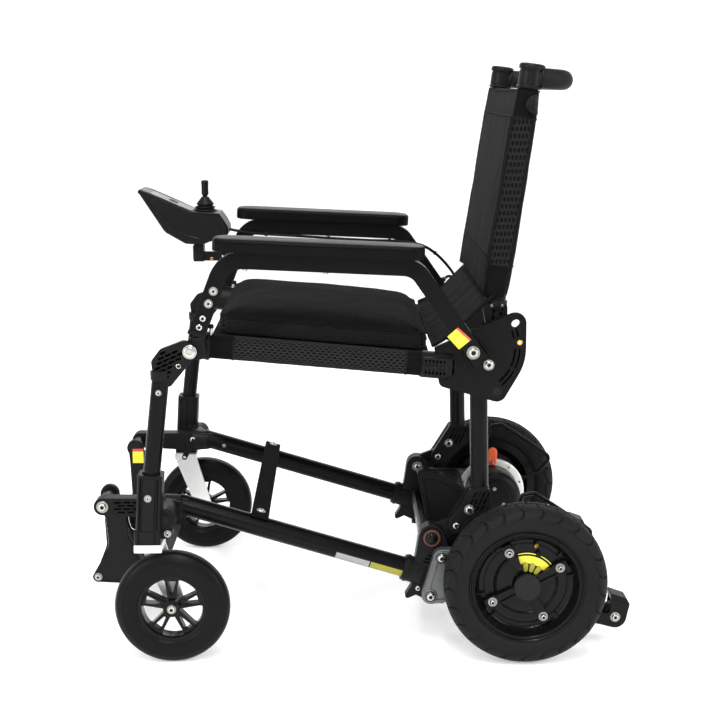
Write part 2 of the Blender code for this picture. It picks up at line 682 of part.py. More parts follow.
def build_rear_wheel(side, mark):
    """Dished rim with four bolted spokes over the brake drum, and its wide tyre."""
    half = TYRE_W / 2
    rim_profile = [
        (-0.0240, RIM_R - 0.012),
        (-0.0240, RIM_R + 0.0035),
        (-0.0195, RIM_R),
        (0.0195, RIM_R),
        (0.0240, RIM_R + 0.0035),
        (0.0240, RIM_R - 0.005),
        (0.005, RIM_R - 0.011),
        (0.003, DRUM_R + 0.002),
        (0.009, DRUM_R - 0.001),
        (0.009, HUB_R),
        (0.0275, HUB_R),
        (0.0295, 0.0),
        (0.0245, 0.0),
        (0.0245, AXLE_R + PIN_PLAY),
        (-0.020, AXLE_R + PIN_PLAY),
        (-0.020, HUB_R),
        (-0.005, RIM_R - 0.025),
    ]
    rim = turned([(side * a, r) for a, r in rim_profile], (side * WHEEL_X, *AXLE), WHEEL_STEPS, label="rim")
    extras = []
    for k in range(4):
        turn = math.radians(28 + 90 * k)
        spot = shift(AXLE, BOLT_CIRCLE * math.cos(turn), BOLT_CIRCLE * math.sin(turn))
        near = shift(AXLE, 0.9 * HUB_R * math.cos(turn), 0.9 * HUB_R * math.sin(turn))
        outline = belt([(*near, 0.0060), (*spot, 0.0085)], 60)
        extras.append(sheet([outline], side * (WHEEL_X + 0.001), side * (WHEEL_X + 0.0165), "spoke"))
        extras.append(disc(spot, side * (WHEEL_X + 0.0155), side * (WHEEL_X + 0.0210), 0.0056, sides=6, label="bolt"))
    node("rear_rim_" + mark, "wheel_" + mark, "black_paint", rim, extras)
    inner = RIM_R + GAP
    tyre_half = [
        (0.0185, inner),
        (0.0260, RIM_R + 0.005),
        (half, RIM_R + 0.019),
        (half - 0.002, WHEEL_R - 0.012),
        (0.014, WHEEL_R),
    ]
    tyre_profile = tyre_half + [(-along, radius) for along, radius in tyre_half[::-1]]
    tyre = turned(tyre_profile, (side * WHEEL_X, *AXLE), WHEEL_STEPS, label="tyre")
    node("rear_tyre_" + mark, "wheel_" + mark, "rubber", tyre)


def build_caster_wheel(side, mark):
    """Five double spokes inside a slim rim, and a smooth solid tyre."""
    half = CASTER_W / 2
    rim_profile = [
        (-0.013, CASTER_RIM_R - 0.006),
        (-0.013, CASTER_RIM_R),
        (0.013, CASTER_RIM_R),
        (0.013, CASTER_RIM_R - 0.006),
    ]
    centre = (side * LEG_X, *CASTER_AXLE)
    rim = turned(rim_profile, centre, CASTER_STEPS, label="rim")
    hub_in = LEG_X - CASTER_W / 2 - 0.0035 + GAP
    hub = disc(CASTER_AXLE, side * hub_in, side * (LEG_X + 0.0165), 0.0130, sides=12, label="hub")
    extras = [hub]
    for k in range(5):
        turn = math.radians(90 + 72 * k)
        for offset in (-0.0056, 0.0056):
            middle = Vector((0, 0.031, offset))
            size = Matrix.Diagonal((0.016, 0.040, 0.0048, 1.0))
            shape = bmesh.new()
            place = Matrix.Rotation(turn, 4, "X") @ Matrix.Translation(middle) @ Matrix.Rotation(offset * 14, 4, "X")
            bmesh.ops.create_cube(shape, size=1.0, matrix=place @ size)
            extras.append(from_bmesh(shape, Matrix.Translation(centre), "spoke"))
    bore = disc(CASTER_AXLE, side * (LEG_X - 0.03), side * (LEG_X + 0.03), 0.0060 + GAP, sides=12, label="bore")
    node("caster_rim_" + mark, "caster_" + mark, "black_paint", rim, extras, [bore])
    tyre_half = [
        (0.0135, CASTER_RIM_R + GAP),
        (half, CASTER_RIM_R + 0.010),
        (half - 0.003, CASTER_R - 0.007),
        (0.008, CASTER_R),
    ]
    tyre_profile = tyre_half + [(-along, radius) for along, radius in tyre_half[::-1]]
    tyre = turned(tyre_profile, centre, CASTER_STEPS, label="tyre")
    node("caster_tyre_" + mark, "caster_" + mark, "rubber", tyre)


CROWN_H = 0.012
FORK_T = 0.006
STEM_R = 0.006


def build_caster_fork(side, mark):
    """One-sided aluminium fork: crown block, stem up into the leg socket, flat arm to the axle."""
    arm_out = LEG_X - CASTER_W / 2 - 0.0035
    arm_in = arm_out - FORK_T
    crown_from = arm_in - 0.0005
    crown_to = LEG_X + 0.021
    crown = block(
        (crown_to - crown_from, 0.042, CROWN_H),
        (side * (crown_from + crown_to) / 2, STEM_Y, CROWN_Z + CROWN_H / 2),
        0,
        0.0015,
        1,
        "crown",
    )
    arm = sheet(
        [belt([(STEM_Y - 0.004, CROWN_Z + 0.003, 0.015), (*CASTER_AXLE, 0.0125), (STEM_Y + 0.008, CROWN_Z + 0.003, 0.011)])],
        side * arm_in,
        side * arm_out,
        "arm",
    )
    shave = block((0.2, 0.2, 0.03), (side * LEG_X, STEM_Y, CROWN_Z + CROWN_H + 0.014), label="shave")
    stem = cone((side * LEG_X, STEM_Y, CROWN_Z + 0.004), (side * LEG_X, STEM_Y, CROWN_Z + 0.052), STEM_R, sides=12)
    axle = disc(CASTER_AXLE, side * (arm_in + 0.001), side * (LEG_X + 0.0170), 0.0060, sides=12, label="axle")
    head = disc(CASTER_AXLE, side * (LEG_X + 0.0168), side * (LEG_X + 0.0205), 0.0085, sides=8, label="head")
    node("caster_fork_" + mark, "stem_" + mark, "bare_aluminium", arm, [], [shave], [crown, stem, axle, head])


# Front legs
SOCKET_R = 0.019
SOCKET_TOP = shift(FRONT_PIVOT, -0.019, 0.071)
LEG_TOP = shift(FRONT_TOP, -0.0475, -0.060)
LEG_FOOT = (STEM_Y + 0.0015, CROWN_Z + 0.075)


def build_leg_socket(side, mark):
    """Ribbed sleeve on the front leg with the pivot knuckle, the clamp ring and the stem's bearing."""
    x = side * LEG_X
    bottom = CROWN_Z + CROWN_H + GAP
    low = (STEM_Y, bottom)
    sleeve = cone((x, STEM_Y, bottom + 0.005), (x, *SOCKET_TOP), SOCKET_R, sides=12, label="sleeve")
    ring = cone((x, *low), (x, *shift(low, 0, 0.022)), SOCKET_R + 0.0012, sides=12, label="ring")
    cover = belt(
        [
            (*FRONT_PIVOT, 0.0165),
            (STEM_Y + 0.004, FRONT_PIVOT[1] + 0.022, 0.008),
            (STEM_Y + 0.006, FRONT_PIVOT[1] - 0.010, 0.006),
        ]
    )
    knuckle = sheet([cover], side * (LEG_X - SOCKET_R), side * (LEG_X + 0.008), "knuckle")
    ear = sheet(
        [belt([(*shift(FRONT_PIVOT, 0.004, -0.0235), 0.0075), (STEM_Y + 0.010, bottom + 0.012, 0.009)])],
        side * (LEG_X - 0.012),
        side * (LEG_X + 0.006),
        "ear",
    )
    flutes = []
    for turn in (-50, 50):
        out = Vector((side * math.cos(math.radians(turn)), math.sin(math.radians(turn)), 0)) * SOCKET_R
        places = (shift(low, 0.0005, 0.058), shift(SOCKET_TOP, 0.0, 0.010))
        start, end = (Vector((x, *spot)) + out for spot in places)
        flutes.append(cone(start, end, 0.0018, sides=4, label="flute"))
    screw = disc(shift(FRONT_PIVOT, 0.004, -0.0235), side * LEG_X, side * (LEG_X + 0.009), 0.0048, sides=8)
    fixing = disc(shift(SOCKET_TOP, -0.0035, -0.034), side * (LEG_X + 0.015), side * (LEG_X + 0.0205), 0.0042, sides=8)
    bore = cone((x, *LEG_FOOT), (x, *LEG_TOP), FRONT_LEG_R + GAP, sides=12, label="bore")
    stem_hole = cone((x, STEM_Y, bottom - 0.01), (x, STEM_Y, CROWN_Z + 0.055), STEM_R + GAP, sides=12, label="hole")
    pin_hole = disc(FRONT_PIVOT, side * FRAME_HALF, side * (LEG_X + 0.0045), PIN_R + PIN_PLAY, sides=10, label="hole")
    cuts = [bore, stem_hole, pin_hole] + flutes
    node("leg_socket_" + mark, "front_legs", "black_casting", sleeve, [ring, knuckle, ear], cuts, [screw, fixing])


LINK_IN = 0.0597
LINK_OUT = 0.0715


def build_front_leg(side, mark):
    """Round leg tube with the slotted knee link fixed on its top."""
    x = side * LEG_X
    x_in = side * (FRAME_HALF + LINK_IN)
    x_out = side * (FRAME_HALF + LINK_OUT)
    foot = along_line(LEG_FOOT, LEG_TOP, GAP)
    leg = cone((x, *foot), (x, *LEG_TOP), FRONT_LEG_R, sides=12, label="leg")
    corner = shift(FRONT_TOP, -0.050, -0.016)
    link = sheet(
        [
            belt(
                [
                    (*FRONT_TOP, 0.0105),
                    (*shift(FRONT_TOP, -0.009, 0.006), 0.0105),
                    (*shift(FRONT_TOP, -0.039, -0.004), 0.0090),
                    (*corner, 0.0075),
                    (*shift(FRONT_TOP, -0.0485, -0.030), 0.0075),
                    (*shift(FRONT_TOP, -0.032, -0.047), 0.0055),
                ]
            )
        ],
        x_in,
        x_out,
        "link",
    )
    cap_low = (x, *along_line(LEG_TOP, LEG_FOOT, 0.006))
    cap = cone(cap_low, (x, *shift(LEG_TOP, -0.001, 0.030)), 0.0155, sides=12, label="cap")
    hole = disc(FRONT_TOP, side * FRAME_HALF, side * (LEG_X + 0.03), PIN_R + PIN_PLAY, sides=10, label="hole")
    slope = math.radians(24)
    start = shift(FRONT_TOP, -0.049, -0.030)
    recess = slots(start, slope, 2, 3, 0.0095, 0.0034, 0.0130, 0.0100, x_out - side * 0.003, x_out + side * 0.01)
    pinhole = disc(shift(FRONT_TOP, -0.021, -0.024), x_in - side * 0.01, x_out + side * 0.01, 0.0028, sides=10)
    node("front_leg_" + mark, "front_legs", "black_paint", leg, [cap, link], [hole, recess, pinhole])


# Rear legs
SHOE_HALF = 0.016
TUBE_LOW = shift(REAR_PIVOT, 0.0375, 0.038)
TUBE_HIGH = shift(REAR_TOP, -0.0130, -0.008)


def build_rear_leg(side, mark):
    """Round leg tube with its ribbed clevis shoe below and the upper pivot's eye."""
    x = side * FRAME_HALF
    leg = cone((x, *TUBE_LOW), (x, *TUBE_HIGH), REAR_LEG_R, sides=12, label="leg")
    shoe = sheet(
        [
            belt(
                [
                    (*REAR_PIVOT, 0.0125),
                    (*shift(REAR_PIVOT, 0.012, 0.004), 0.0125),
                    (*shift(TUBE_LOW, 0.008, -0.006), 0.010),
                    (*shift(TUBE_LOW, 0.0120, 0.018), 0.003),
                    (*shift(TUBE_LOW, -0.0145, 0.018), 0.003),
                ]
            )
        ],
        x - side * SHOE_HALF,
        x + side * SHOE_HALF,
        "shoe",
    )
    eye_from = shift(TUBE_HIGH, -0.001, -0.018)
    eye = sheet([belt([(*REAR_TOP, 0.0125), (*eye_from, 0.010)])], x, side * (SEAT_X - PLATE_T / 2 - GAP), "eye")
    gap = sheet(
        [belt([(*REAR_PIVOT, 0.023), (*shift(REAR_PIVOT, -0.04, 0.01), 0.023)])],
        x - side * (TONGUE_HALF + GAP),
        x + side * (TONGUE_HALF + GAP),
        "gap",
    )
    lower = disc(REAR_PIVOT, x - side * 0.03, x + side * 0.03, PIN_R + PIN_PLAY, sides=10, label="hole")
    upper = disc(REAR_TOP, x + side * 0.004, x + side * 0.04, PIN_R + 3 * PIN_PLAY, sides=10, label="hole")
    face = x + side * SHOE_HALF
    corner = shift(REAR_PIVOT, 0.030, 0.013)
    recess = slots(corner, math.radians(56), 2, 3, 0.0085, 0.0026, 0.0115, 0.0062, face - side * 0.003, face + side * 0.01)
    screw = disc(shift(REAR_PIVOT, 0.020, 0.026), face - side * 0.006, face + side * 0.002, 0.0062, sides=8)
    cuts = [gap, lower, upper, recess]
    node("rear_leg_" + mark, "rear_legs", "black_paint", leg, [shoe, eye], cuts, [screw])


# Seat frame
def seat_line(y):
    """Height of the seat tubes' centre line, which runs from above the front knee to below the back's pivot."""
    front = FRONT_TOP[1] + SEAT_ABOVE_KNEE
    rear = BACK_PIVOT[1] - SEAT_BELOW_BACK
    return front + (y - FRONT_TOP[0]) * (rear - front) / (BACK_PIVOT[0] - FRONT_TOP[0])


SEAT_FRONT_Y = FRONT_TOP[0] + 0.008
SEAT_REAR_Y = BACK_PIVOT[0] - 0.050
CROSS_R = 0.010


def build_seat_tube(side, mark):
    x = side * SEAT_X
    start = (x, SEAT_FRONT_Y, seat_line(SEAT_FRONT_Y))
    end = (x, SEAT_REAR_Y, seat_line(SEAT_REAR_Y))
    node("seat_tube_" + mark, "seat", "black_fabric", cone(start, end, SEAT_TUBE_R, sides=12, label="tube"))


def build_front_bracket(side, mark):
    """Corner casting: holds the seat tube's front end, the knee pivot bolt and the armrest's seat."""
    x = side * SEAT_X
    low = FRONT_TOP[0] - 0.006
    high = SEAT_FRONT_Y + 0.018
    sleeve = cone((x, low, seat_line(low)), (x, high, seat_line(high)), SEAT_TUBE_R + 0.003, sides=12)
    x_out = side * (FRAME_HALF + LINK_IN - GAP)
    x_in = side * (SEAT_X - 0.006)
    lug = belt(
        [
            (*shift(FRONT_TOP, 0.000, -0.002), 0.0125),
            (*shift(FRONT_TOP, 0.012, -0.004), 0.0105),
            (*shift(FRONT_TOP, 0.0175, 0.0145), 0.004),
            (*shift(FRONT_TOP, 0.0005, 0.0145), 0.004),
        ]
    )
    cheek = sheet([lug], x_in, x_out, "cheek")
    bolt = disc(FRONT_TOP, x_in + side * 0.003, side * (FRAME_HALF + LINK_OUT + 0.001), PIN_R, sides=10, label="bolt")
    head = disc(FRONT_TOP, side * (FRAME_HALF + LINK_OUT + GAP), side * (FRAME_HALF + LINK_OUT + 0.0045), 0.0095, sides=12)
    strut = heading(ARM_FRONT_KNEE, ARM_FOOT)
    rest = []
    for depth, across in ((GAP, -1), (0.0065, -1), (0.0065, 1), (GAP, 1)):
        spot = along_line(ARM_FOOT, ARM_FRONT_KNEE, -depth)
        rest.append(shift(spot, -across * ARM_HALF * math.sin(strut), across * ARM_HALF * math.cos(strut)))
    seat = sheet([rest], side * (SEAT_X - 0.004), side * (ARM_X + ARM_W / 2), "seat")
    bore = cone((x, SEAT_FRONT_Y - GAP, seat_line(SEAT_FRONT_Y)), (x, -0.3, seat_line(-0.3)), SEAT_TUBE_R + GAP, sides=12)
    node("front_bracket_" + mark, "seat", "black_casting", sleeve, [cheek, bolt, head, seat], [bore])


ARC_R = 0.0765
CLAMP_R = SEAT_TUBE_R + 0.0026


def build_side_plate(side, mark):
    """Lobed locking plate at the seat's rear corner: carries the back, the armrest and the rear leg."""
    x = SEAT_X
    x_in = side * (x - PLATE_T / 2)
    x_out = side * (x + PLATE_T / 2)
    low_lobe = shift(BACK_PIVOT, 0.040, -0.067)
    top_lobe = shift(BACK_PIVOT, 0.0665, 0.039)
    outline = belt(
        [
            (*shift(BACK_PIVOT, -0.039, -0.050), 0.010),
            (*low_lobe, 0.0155),
            (*BACK_PIVOT, 0.0835),
            (*top_lobe, 0.0165),
            (*shift(BACK_PIVOT, -0.052, 0.000), 0.004),
        ],
        24,
    )
    holes = [ring_of(top_lobe, 0.0055, 10), ring_of(shift(BACK_PIVOT, 0.075, 0.006), 0.0030, 8)]
    for start, end in ((-40, -12), (14, 22)):
        holes.append(arc_slot(BACK_PIVOT, 0.0735, math.radians(start), math.radians(end), 0.0013))
    plate = sheet([outline] + holes, x_in, x_out, "plate")
    low_y = BACK_PIVOT[0] - 0.076
    high_y = BACK_PIVOT[0] - 0.030
    clamp_low = (side * x, low_y, seat_line(low_y))
    clamp_high = (side * x, high_y, seat_line(high_y))
    clamp = cone(clamp_low, clamp_high, CLAMP_R, sides=12, label="clamp")
    pin = disc(BACK_PIVOT, side * (POST_X + 0.004), side * (ARM_X + ARM_W / 2 + 0.001), PIN_R, sides=10, label="pin")
    head = disc(BACK_PIVOT, side * (ARM_X + ARM_W / 2 + GAP), side * (ARM_X + ARM_W / 2 + 0.0045), 0.0098, sides=12)
    leg_pin = disc(REAR_TOP, side * (x - 0.017), side * x, PIN_R, sides=10, label="pin")
    screw = disc(low_lobe, x_out - side * 0.002, x_out + side * 0.0025, 0.0062, sides=8, label="screw")
    tube_end = (side * x, SEAT_REAR_Y + GAP, seat_line(SEAT_REAR_Y))
    bore = cone((side * x, -0.35, seat_line(-0.35)), tube_end, SEAT_TUBE_R + GAP, sides=12)
    face = side * (x + CLAMP_R)
    along = heading((low_y, seat_line(low_y)), (high_y, seat_line(high_y)))
    corner = shift(BACK_PIVOT, -0.070, -0.027)
    depths = (face - side * 0.0035, face + side * 0.01)
    vents = slots(corner, along, 1, 3, 0.0040, 0.0140, 0.0100, 0.0125, *depths)
    node("side_plate_" + mark, "seat", "black_casting", plate, [clamp, pin, head, leg_pin, screw], [bore, vents])


def arc_slot(centre, radius, start, end, half):
    """A thin slot that follows an arc."""
    steps = 2
    outer = []
    inner = []
    for k in range(steps + 1):
        turn = start + (end - start) * k / steps
        outer.append((centre[0] + (radius + half) * math.cos(turn), centre[1] + (radius + half) * math.sin(turn)))
        inner.append((centre[0] + (radius - half) * math.cos(turn), centre[1] + (radius - half) * math.sin(turn)))
    return outer + inner[::-1]


CROSS_FRONT_Y = FRONT_TOP[0] + 0.052
CROSS_REAR_Y = BACK_PIVOT[0] - 0.090


def build_seat_crossbars():
    """Round bars between the seat tubes that the cushion lies on."""
    half = SEAT_X - SEAT_TUBE_R - GAP
    for name, y in (("seat_crossbar_front", CROSS_FRONT_Y), ("seat_crossbar_rear", CROSS_REAR_Y)):
        z = seat_line(y)
        node(name, "seat", "black_paint", cone((-half, y, z), (half, y, z), CROSS_R, sides=12, label="bar"))


def build_cushion():
    """Seat cushion: crowned top, drawn-in sides and a flat underside."""
    front = FRONT_TOP[0] + 0.028
    back = BACK_PIVOT[0] - 0.062
    half = POST_X

    def shape_at(u, v, w):
        y = (front + back) / 2 + math.copysign(abs(v) ** 0.5, v) * (back - front) / 2
        edge = max(abs(u), abs(v)) ** 6
        waist = 0.010 * (1 - w * w)
        crown = CUSHION_H - 0.010 + 0.012 * (1 - u * u) * (1 - v * v)
        base = seat_line(y) + CROSS_R + GAP
        height = (w + 1) / 2
        rise = crown * height - 0.010 * edge * max(w, 0)
        return Vector((u * (half - waist * abs(u) ** 4), y - math.copysign(waist * abs(v) ** 6, v), base + rise))

    cushion = soft_block((5, 5, 2), shape_at, 1, "cushion")
    node("seat_cushion", "seat", "black_fabric", cushion)


# Back
def back_point(along, ahead, x=0.0):
    """A point on the back: distance up the posts from their foot, and ahead of them."""
    foot = shift(BACK_PIVOT, 0.041, 0.067)
    y = foot[0] + along * math.sin(BACK_LEAN) - ahead * math.cos(BACK_LEAN)
    z = foot[1] + along * math.cos(BACK_LEAN) + ahead * math.sin(BACK_LEAN)
    return (x, y, z)


def build_back_post(side, mark):
    """Round post with the ribbed foot that turns on the side plate's pin."""
    x = side * POST_X
    post = cone(back_point(-0.012, 0, x), back_point(BACK_LENGTH - 0.022, 0, x), POST_R, sides=12, label="post")
    top = back_point(-0.004, 0)[1:]
    foot = sheet(
        [
            belt(
                [
                    (*BACK_PIVOT, 0.0125),
                    (*shift(BACK_PIVOT, 0.049, 0.030), 0.009),
                    (*shift(top, 0.009, -0.005), 0.008),
                    (*shift(top, -0.012, -0.005), 0.008),
                    (*shift(BACK_PIVOT, 0.010, 0.035), -0.014),
                    (*shift(BACK_PIVOT, -0.012, 0.016), 0.006),
                ]
            )
        ],
        x - side * 0.0125,
        x + side * 0.0125,
        "foot",
    )
    boss = disc(BACK_PIVOT, x, side * (SEAT_X - PLATE_T / 2 - GAP), 0.0120, sides=12, label="boss")
    hole = disc(BACK_PIVOT, side * (POST_X + 0.004 - GAP), side * (SEAT_X + 0.01), PIN_R + PIN_PLAY, sides=10, label="hole")
    node("back_post_" + mark, "back", "black_paint", post, [foot, boss], [hole])


CAP_R = 0.0195
CAP_H = 0.037


def build_push_handle():
    """Foam-covered push bar bent from one post's cap to the other's."""
    pieces = []
    for side in (1, -1):
        x = side * POST_X
        low = back_point(BACK_LENGTH - CAP_H, 0, x)
        high = back_point(BACK_LENGTH, 0, x)
        pieces.append(cone(low, high, CAP_R, sides=12, label="cap"))
    centre = back_point(BACK_LENGTH - 0.019, 0)
    y, z = centre[1], centre[2]
    bend = 0.045
    points = [(POST_X, y, z), (POST_X, y + HANDLE_REACH - bend, z - 0.001)]
    for k in range(1, 4):
        turn = math.radians(30 * k)
        points.append((POST_X - bend * (1 - math.cos(turn)), y + HANDLE_REACH - bend + bend * math.sin(turn), z - 0.002))
    points += [(-px, py, pz) for px, py, pz in points[::-1]]
    bar = tube(points, HANDLE_R, 3, "bar")
    bores = []
    for side in (1, -1):
        x = side * POST_X
        low = back_point(BACK_LENGTH - CAP_H - 0.01, 0, x)
        high = back_point(BACK_LENGTH - 0.022 + GAP, 0, x)
        bores.append(cone(low, high, POST_R + GAP, sides=12, label="bore"))
    node("push_handle", "back", "foam_grip", bar, pieces, bores)


def build_upholstery():
    """Back cover: side bolsters that wrap the posts, a hollowed middle, and wings at its foot."""
    half = POST_X + 0.0215
    length = BACK_LENGTH - CAP_H + 0.001
    low = 0.004

    def shape_at(u, v, w):
        along = low + (w + 1) / 2 * (length - low)
        taper = min(1.0, max(0.0, (along - 0.01) / 0.11))
        swell = 0.018 + 0.052 * taper * taper * (3 - 2 * taper)
        spread = math.copysign(abs(u) ** 0.6, u)
        middle = 1 - min(1.0, abs(spread) / 0.80) ** 3
        front = swell - 0.022 * middle * taper
        rear = -0.0215 + 0.026 * middle
        share = (1 + math.copysign(abs(v) ** 0.35, v)) / 2
        return Vector(back_point(along, front + (rear - front) * share, spread * half))

    cover = soft_block((5, 3, 4), shape_at, 1, "cover")
    bores = []
    wings = []
    for side in (1, -1):
        x = side * POST_X
        bores.append(cone(back_point(-0.05, 0, x), back_point(BACK_LENGTH, 0, x), POST_R + GAP, sides=12, label="bore"))
        outline = belt(
            [
                (*shift(BACK_PIVOT, -0.046, 0.063), 0.007),
                (*shift(BACK_PIVOT, -0.003, 0.042), 0.008),
                (*shift(BACK_PIVOT, 0.027, 0.043), 0.008),
                (*shift(BACK_PIVOT, 0.033, 0.150), 0.010),
                (*shift(BACK_PIVOT, 0.000, 0.150), 0.006),
                (*shift(BACK_PIVOT, -0.019, 0.107), 0),
            ]
        )
        wings.append(sheet([outline], side * (POST_X + 0.0130), side * (POST_X + 0.0200), "wing"))
    node("back_upholstery", "back", "black_fabric", cover, wings, bores)


# Armrests
ARM_REAR_KNEE = shift(BACK_PIVOT, -0.087, 0.1275)
ARM_FRONT_KNEE = shift(FRONT_TOP, 0.0525, 0.1355)
ARM_FOOT = shift(FRONT_TOP, 0.0105, 0.0270)
ARM_TAIL = shift(BACK_PIVOT, 0.0135, -0.0165)
CABLE_R = 0.0026
ARM_REAR_TURN = heading(ARM_REAR_KNEE, ARM_TAIL)
GLAND_ROOT = along_line(ARM_REAR_KNEE, ARM_TAIL, 0.108)
GLAND_FACE = shift(GLAND_ROOT, -(ARM_HALF + 0.006) * math.sin(ARM_REAR_TURN), (ARM_HALF + 0.006) * math.cos(ARM_REAR_TURN))


def build_armrest_tube(side, mark):
    """Flat-sided tube bent over both ends; its rear end turns on the side plate's pin."""
    outline = ribbon([ARM_TAIL, ARM_REAR_KNEE, ARM_FRONT_KNEE, ARM_FOOT], [0.034, 0.040], ARM_HALF)
    x_in = side * (ARM_X - ARM_W / 2)
    x_out = side * (ARM_X + ARM_W / 2)
    bar = sheet([outline, ring_of(BACK_PIVOT, PIN_R + PIN_PLAY, 10)], x_in, x_out, "bar")
    screws = []
    for distance in (0.044, 0.059, 0.077, 0.089):
        spot = along_line(ARM_FRONT_KNEE, ARM_FOOT, distance)
        screws.append(disc(spot, x_out - side * 0.002, x_out + side * 0.0022, 0.0046, sides=8, label="screw"))
    if side < 0:
        screws.append(cone((-ARM_X, *GLAND_ROOT), (-ARM_X, *GLAND_FACE), CABLE_R + 0.0020, sides=8, label="gland"))
    node("armrest_tube_" + mark, "arm_" + mark, "black_paint", bar, screws)


PAD_AHEAD = 0.0029968
PAD_SEAT = 0.0001621


def build_armrest_pad(side, mark):
    """Padded rest with rounded ends, screwed on the tube."""
    slope = heading(ARM_FRONT_KNEE, ARM_REAR_KNEE)
    length = 0.314 + (FRAME_SPAN - 0.449)
    middle = along_line(ARM_REAR_KNEE, ARM_FRONT_KNEE, math.dist(ARM_REAR_KNEE, ARM_FRONT_KNEE) / 2 + PAD_AHEAD)
    lift = ARM_HALF + PAD_SEAT + PAD_H / 2
    centre = (side * PAD_X, middle[0] - lift * math.sin(slope), middle[1] + lift * math.cos(slope))
    pad = block((PAD_W, length, PAD_H), centre, slope, 0.006, 2, "pad")
    node("armrest_pad_" + mark, "arm_" + mark, "black_plastic", pad)


# Controller
def control_point(dy, dz):
    return shift(STICK_PIVOT, dy, dz)


def build_controller():
    """Drive controller: hooded case, its bracket, the gimbal boot, the stick and the power button."""
    x_in = CONTROL_X + CONTROL_W / 2
    x_out = CONTROL_X - CONTROL_W / 2
    outline = belt(
        [
            (*control_point(-0.1135, 0.0395), 0.0035),
            (*control_point(-0.057, -0.019), 0.020),
            (*control_point(-0.030, -0.0415), 0.014),
            (*control_point(-0.004, -0.0510), 0.006),
            (*control_point(0.038, -0.0345), 0.006),
            (*control_point(0.0385, -0.0260), 0.005),
            (*control_point(0.0265, -0.0030), 0.004),
            (*control_point(-0.0205, 0.0030), 0),
        ],
        20,
    )
    case = sheet([outline], x_out, x_in, "case")
    rim = case.modifiers.new("soft_edges", "BEVEL")
    rim.width = 0.003
    rim.segments = 1
    rim.limit_method = "ANGLE"
    rim.angle_limit = math.radians(50)
    well_low = (CONTROL_X, *control_point(0, -0.012))
    well = cone(well_low, (CONTROL_X, *control_point(0, 0.02)), 0.0205, sides=12, label="well")
    normal = Vector((0, -math.sin(PANEL_SLOPE), math.cos(PANEL_SLOPE)))
    seat = Vector((CONTROL_X, *BUTTON_SEAT))
    pocket = cone(seat - normal * 0.005, seat + normal * 0.02, 0.0072, sides=12, label="pocket")
    node("controller_body", "arm_R", "black_plastic", case, [], [well, pocket])
    button = cone(seat - normal * 0.0032, seat + normal * 0.0012, 0.0068, sides=12, label="button")
    node("power_button", "button", "black_plastic", button)
    boot_profile = [(-0.0117, 0.0), (-0.0098, 0.0064), (-0.005, 0.0106), (0.0, 0.0125), (0.004, 0.0150)]
    boot_profile += [(0.0075, 0.0140), (0.0115, 0.0178), (0.0150, 0.0168), (0.0190, 0.0208)]
    for k in range(3):
        turn = math.radians(36 - 18 * k)
        boot_profile.append((STICK_TILT * math.cos(turn), STICK_TILT * math.sin(turn)))
    boot = turned(boot_profile, (CONTROL_X, *STICK_PIVOT), 12, axis="Z", label="boot")
    node("joystick_boot", "stick_pitch", "rubber", boot)
    stick_profile = []
    for k in range(3):
        turn = math.radians(7 * k)
        stick_profile.append(((STICK_TILT + 2 * GAP) * math.cos(turn), (STICK_TILT + 2 * GAP) * math.sin(turn)))
    stick_profile += [(0.032, 0.0055), (0.034, 0.0078), (0.050, 0.0078)]
    stick_profile += [(0.0555, 0.0072), (0.0575, 0.0045), (0.0575, 0.0)]
    stick = turned(stick_profile, (CONTROL_X, *STICK_PIVOT), 12, axis="Z", label="stick")
    node("joystick_stick", "stick_roll", "black_plastic", stick)
    build_controller_bracket()


def build_controller_bracket():
    """Perforated plate on the armrest's front strut, with the block under the case."""
    tube_face = -(ARM_X - ARM_W / 2)
    x_from = tube_face + GAP
    x_to = x_from + 0.0055
    strut = along_line(ARM_FRONT_KNEE, ARM_FOOT, 0.060)
    front = control_point(-0.012, -0.0795)
    outline = belt([(*front, 0.0085), (*strut, 0.0085)])
    holes = [ring_of(along_line(strut, front, 0.014 + 0.0085 * k), 0.0022, 10) for k in range(3)]
    plate = sheet([outline] + holes, x_from, x_to, "plate")
    top = control_point(0, -0.0572)[1] - GAP
    low = front[1] - 0.010
    prop = block((0.030, 0.020, top - low), (x_to - 0.0135, front[0], (top + low) / 2), 0, 0.001, 1, "prop")
    node("controller_bracket", "arm_R", "black_casting", plate, [prop])


def build_controller_cable():
    """Lead from the controller, clipped along the right armrest and bowed behind its rear strut to the gland."""
    x = -(ARM_X - ARM_W / 2 - CABLE_R - GAP)
    out = (-math.sin(ARM_REAR_TURN), math.cos(ARM_REAR_TURN))
    route = [
        (x, CABLE_START[0], CABLE_START[1]),
        (x, *shift(ARM_FRONT_KNEE, 0.012, -0.014)),
        (x, *shift(ARM_FRONT_KNEE, 0.090, -0.019)),
        (x, *shift(ARM_FRONT_KNEE, 0.165, -0.024)),
        (x, *shift(ARM_REAR_KNEE, -0.055, -0.0145)),
        (x, *shift(ARM_REAR_KNEE, -0.005, -0.016)),
        (x + 0.002, *shift(ARM_REAR_KNEE, 0.040, -0.024)),
        (x - 0.003, *shift(ARM_REAR_KNEE, 0.073, -0.047)),
        (x - 0.012, GLAND_FACE[0] + out[0] * 0.016 + 0.004, GLAND_FACE[1] + out[1] * 0.016 - 0.004),
        (-ARM_X, GLAND_FACE[0] + out[0] * 0.007, GLAND_FACE[1] + out[1] * 0.007),
        (-ARM_X, GLAND_FACE[0] + out[0] * GAP, GLAND_FACE[1] + out[1] * GAP),
    ]
    cable = tube(smooth_run(route, 3), CABLE_R, 2, "cable")
    node("controller_cable", "arm_R", "rubber", cable)


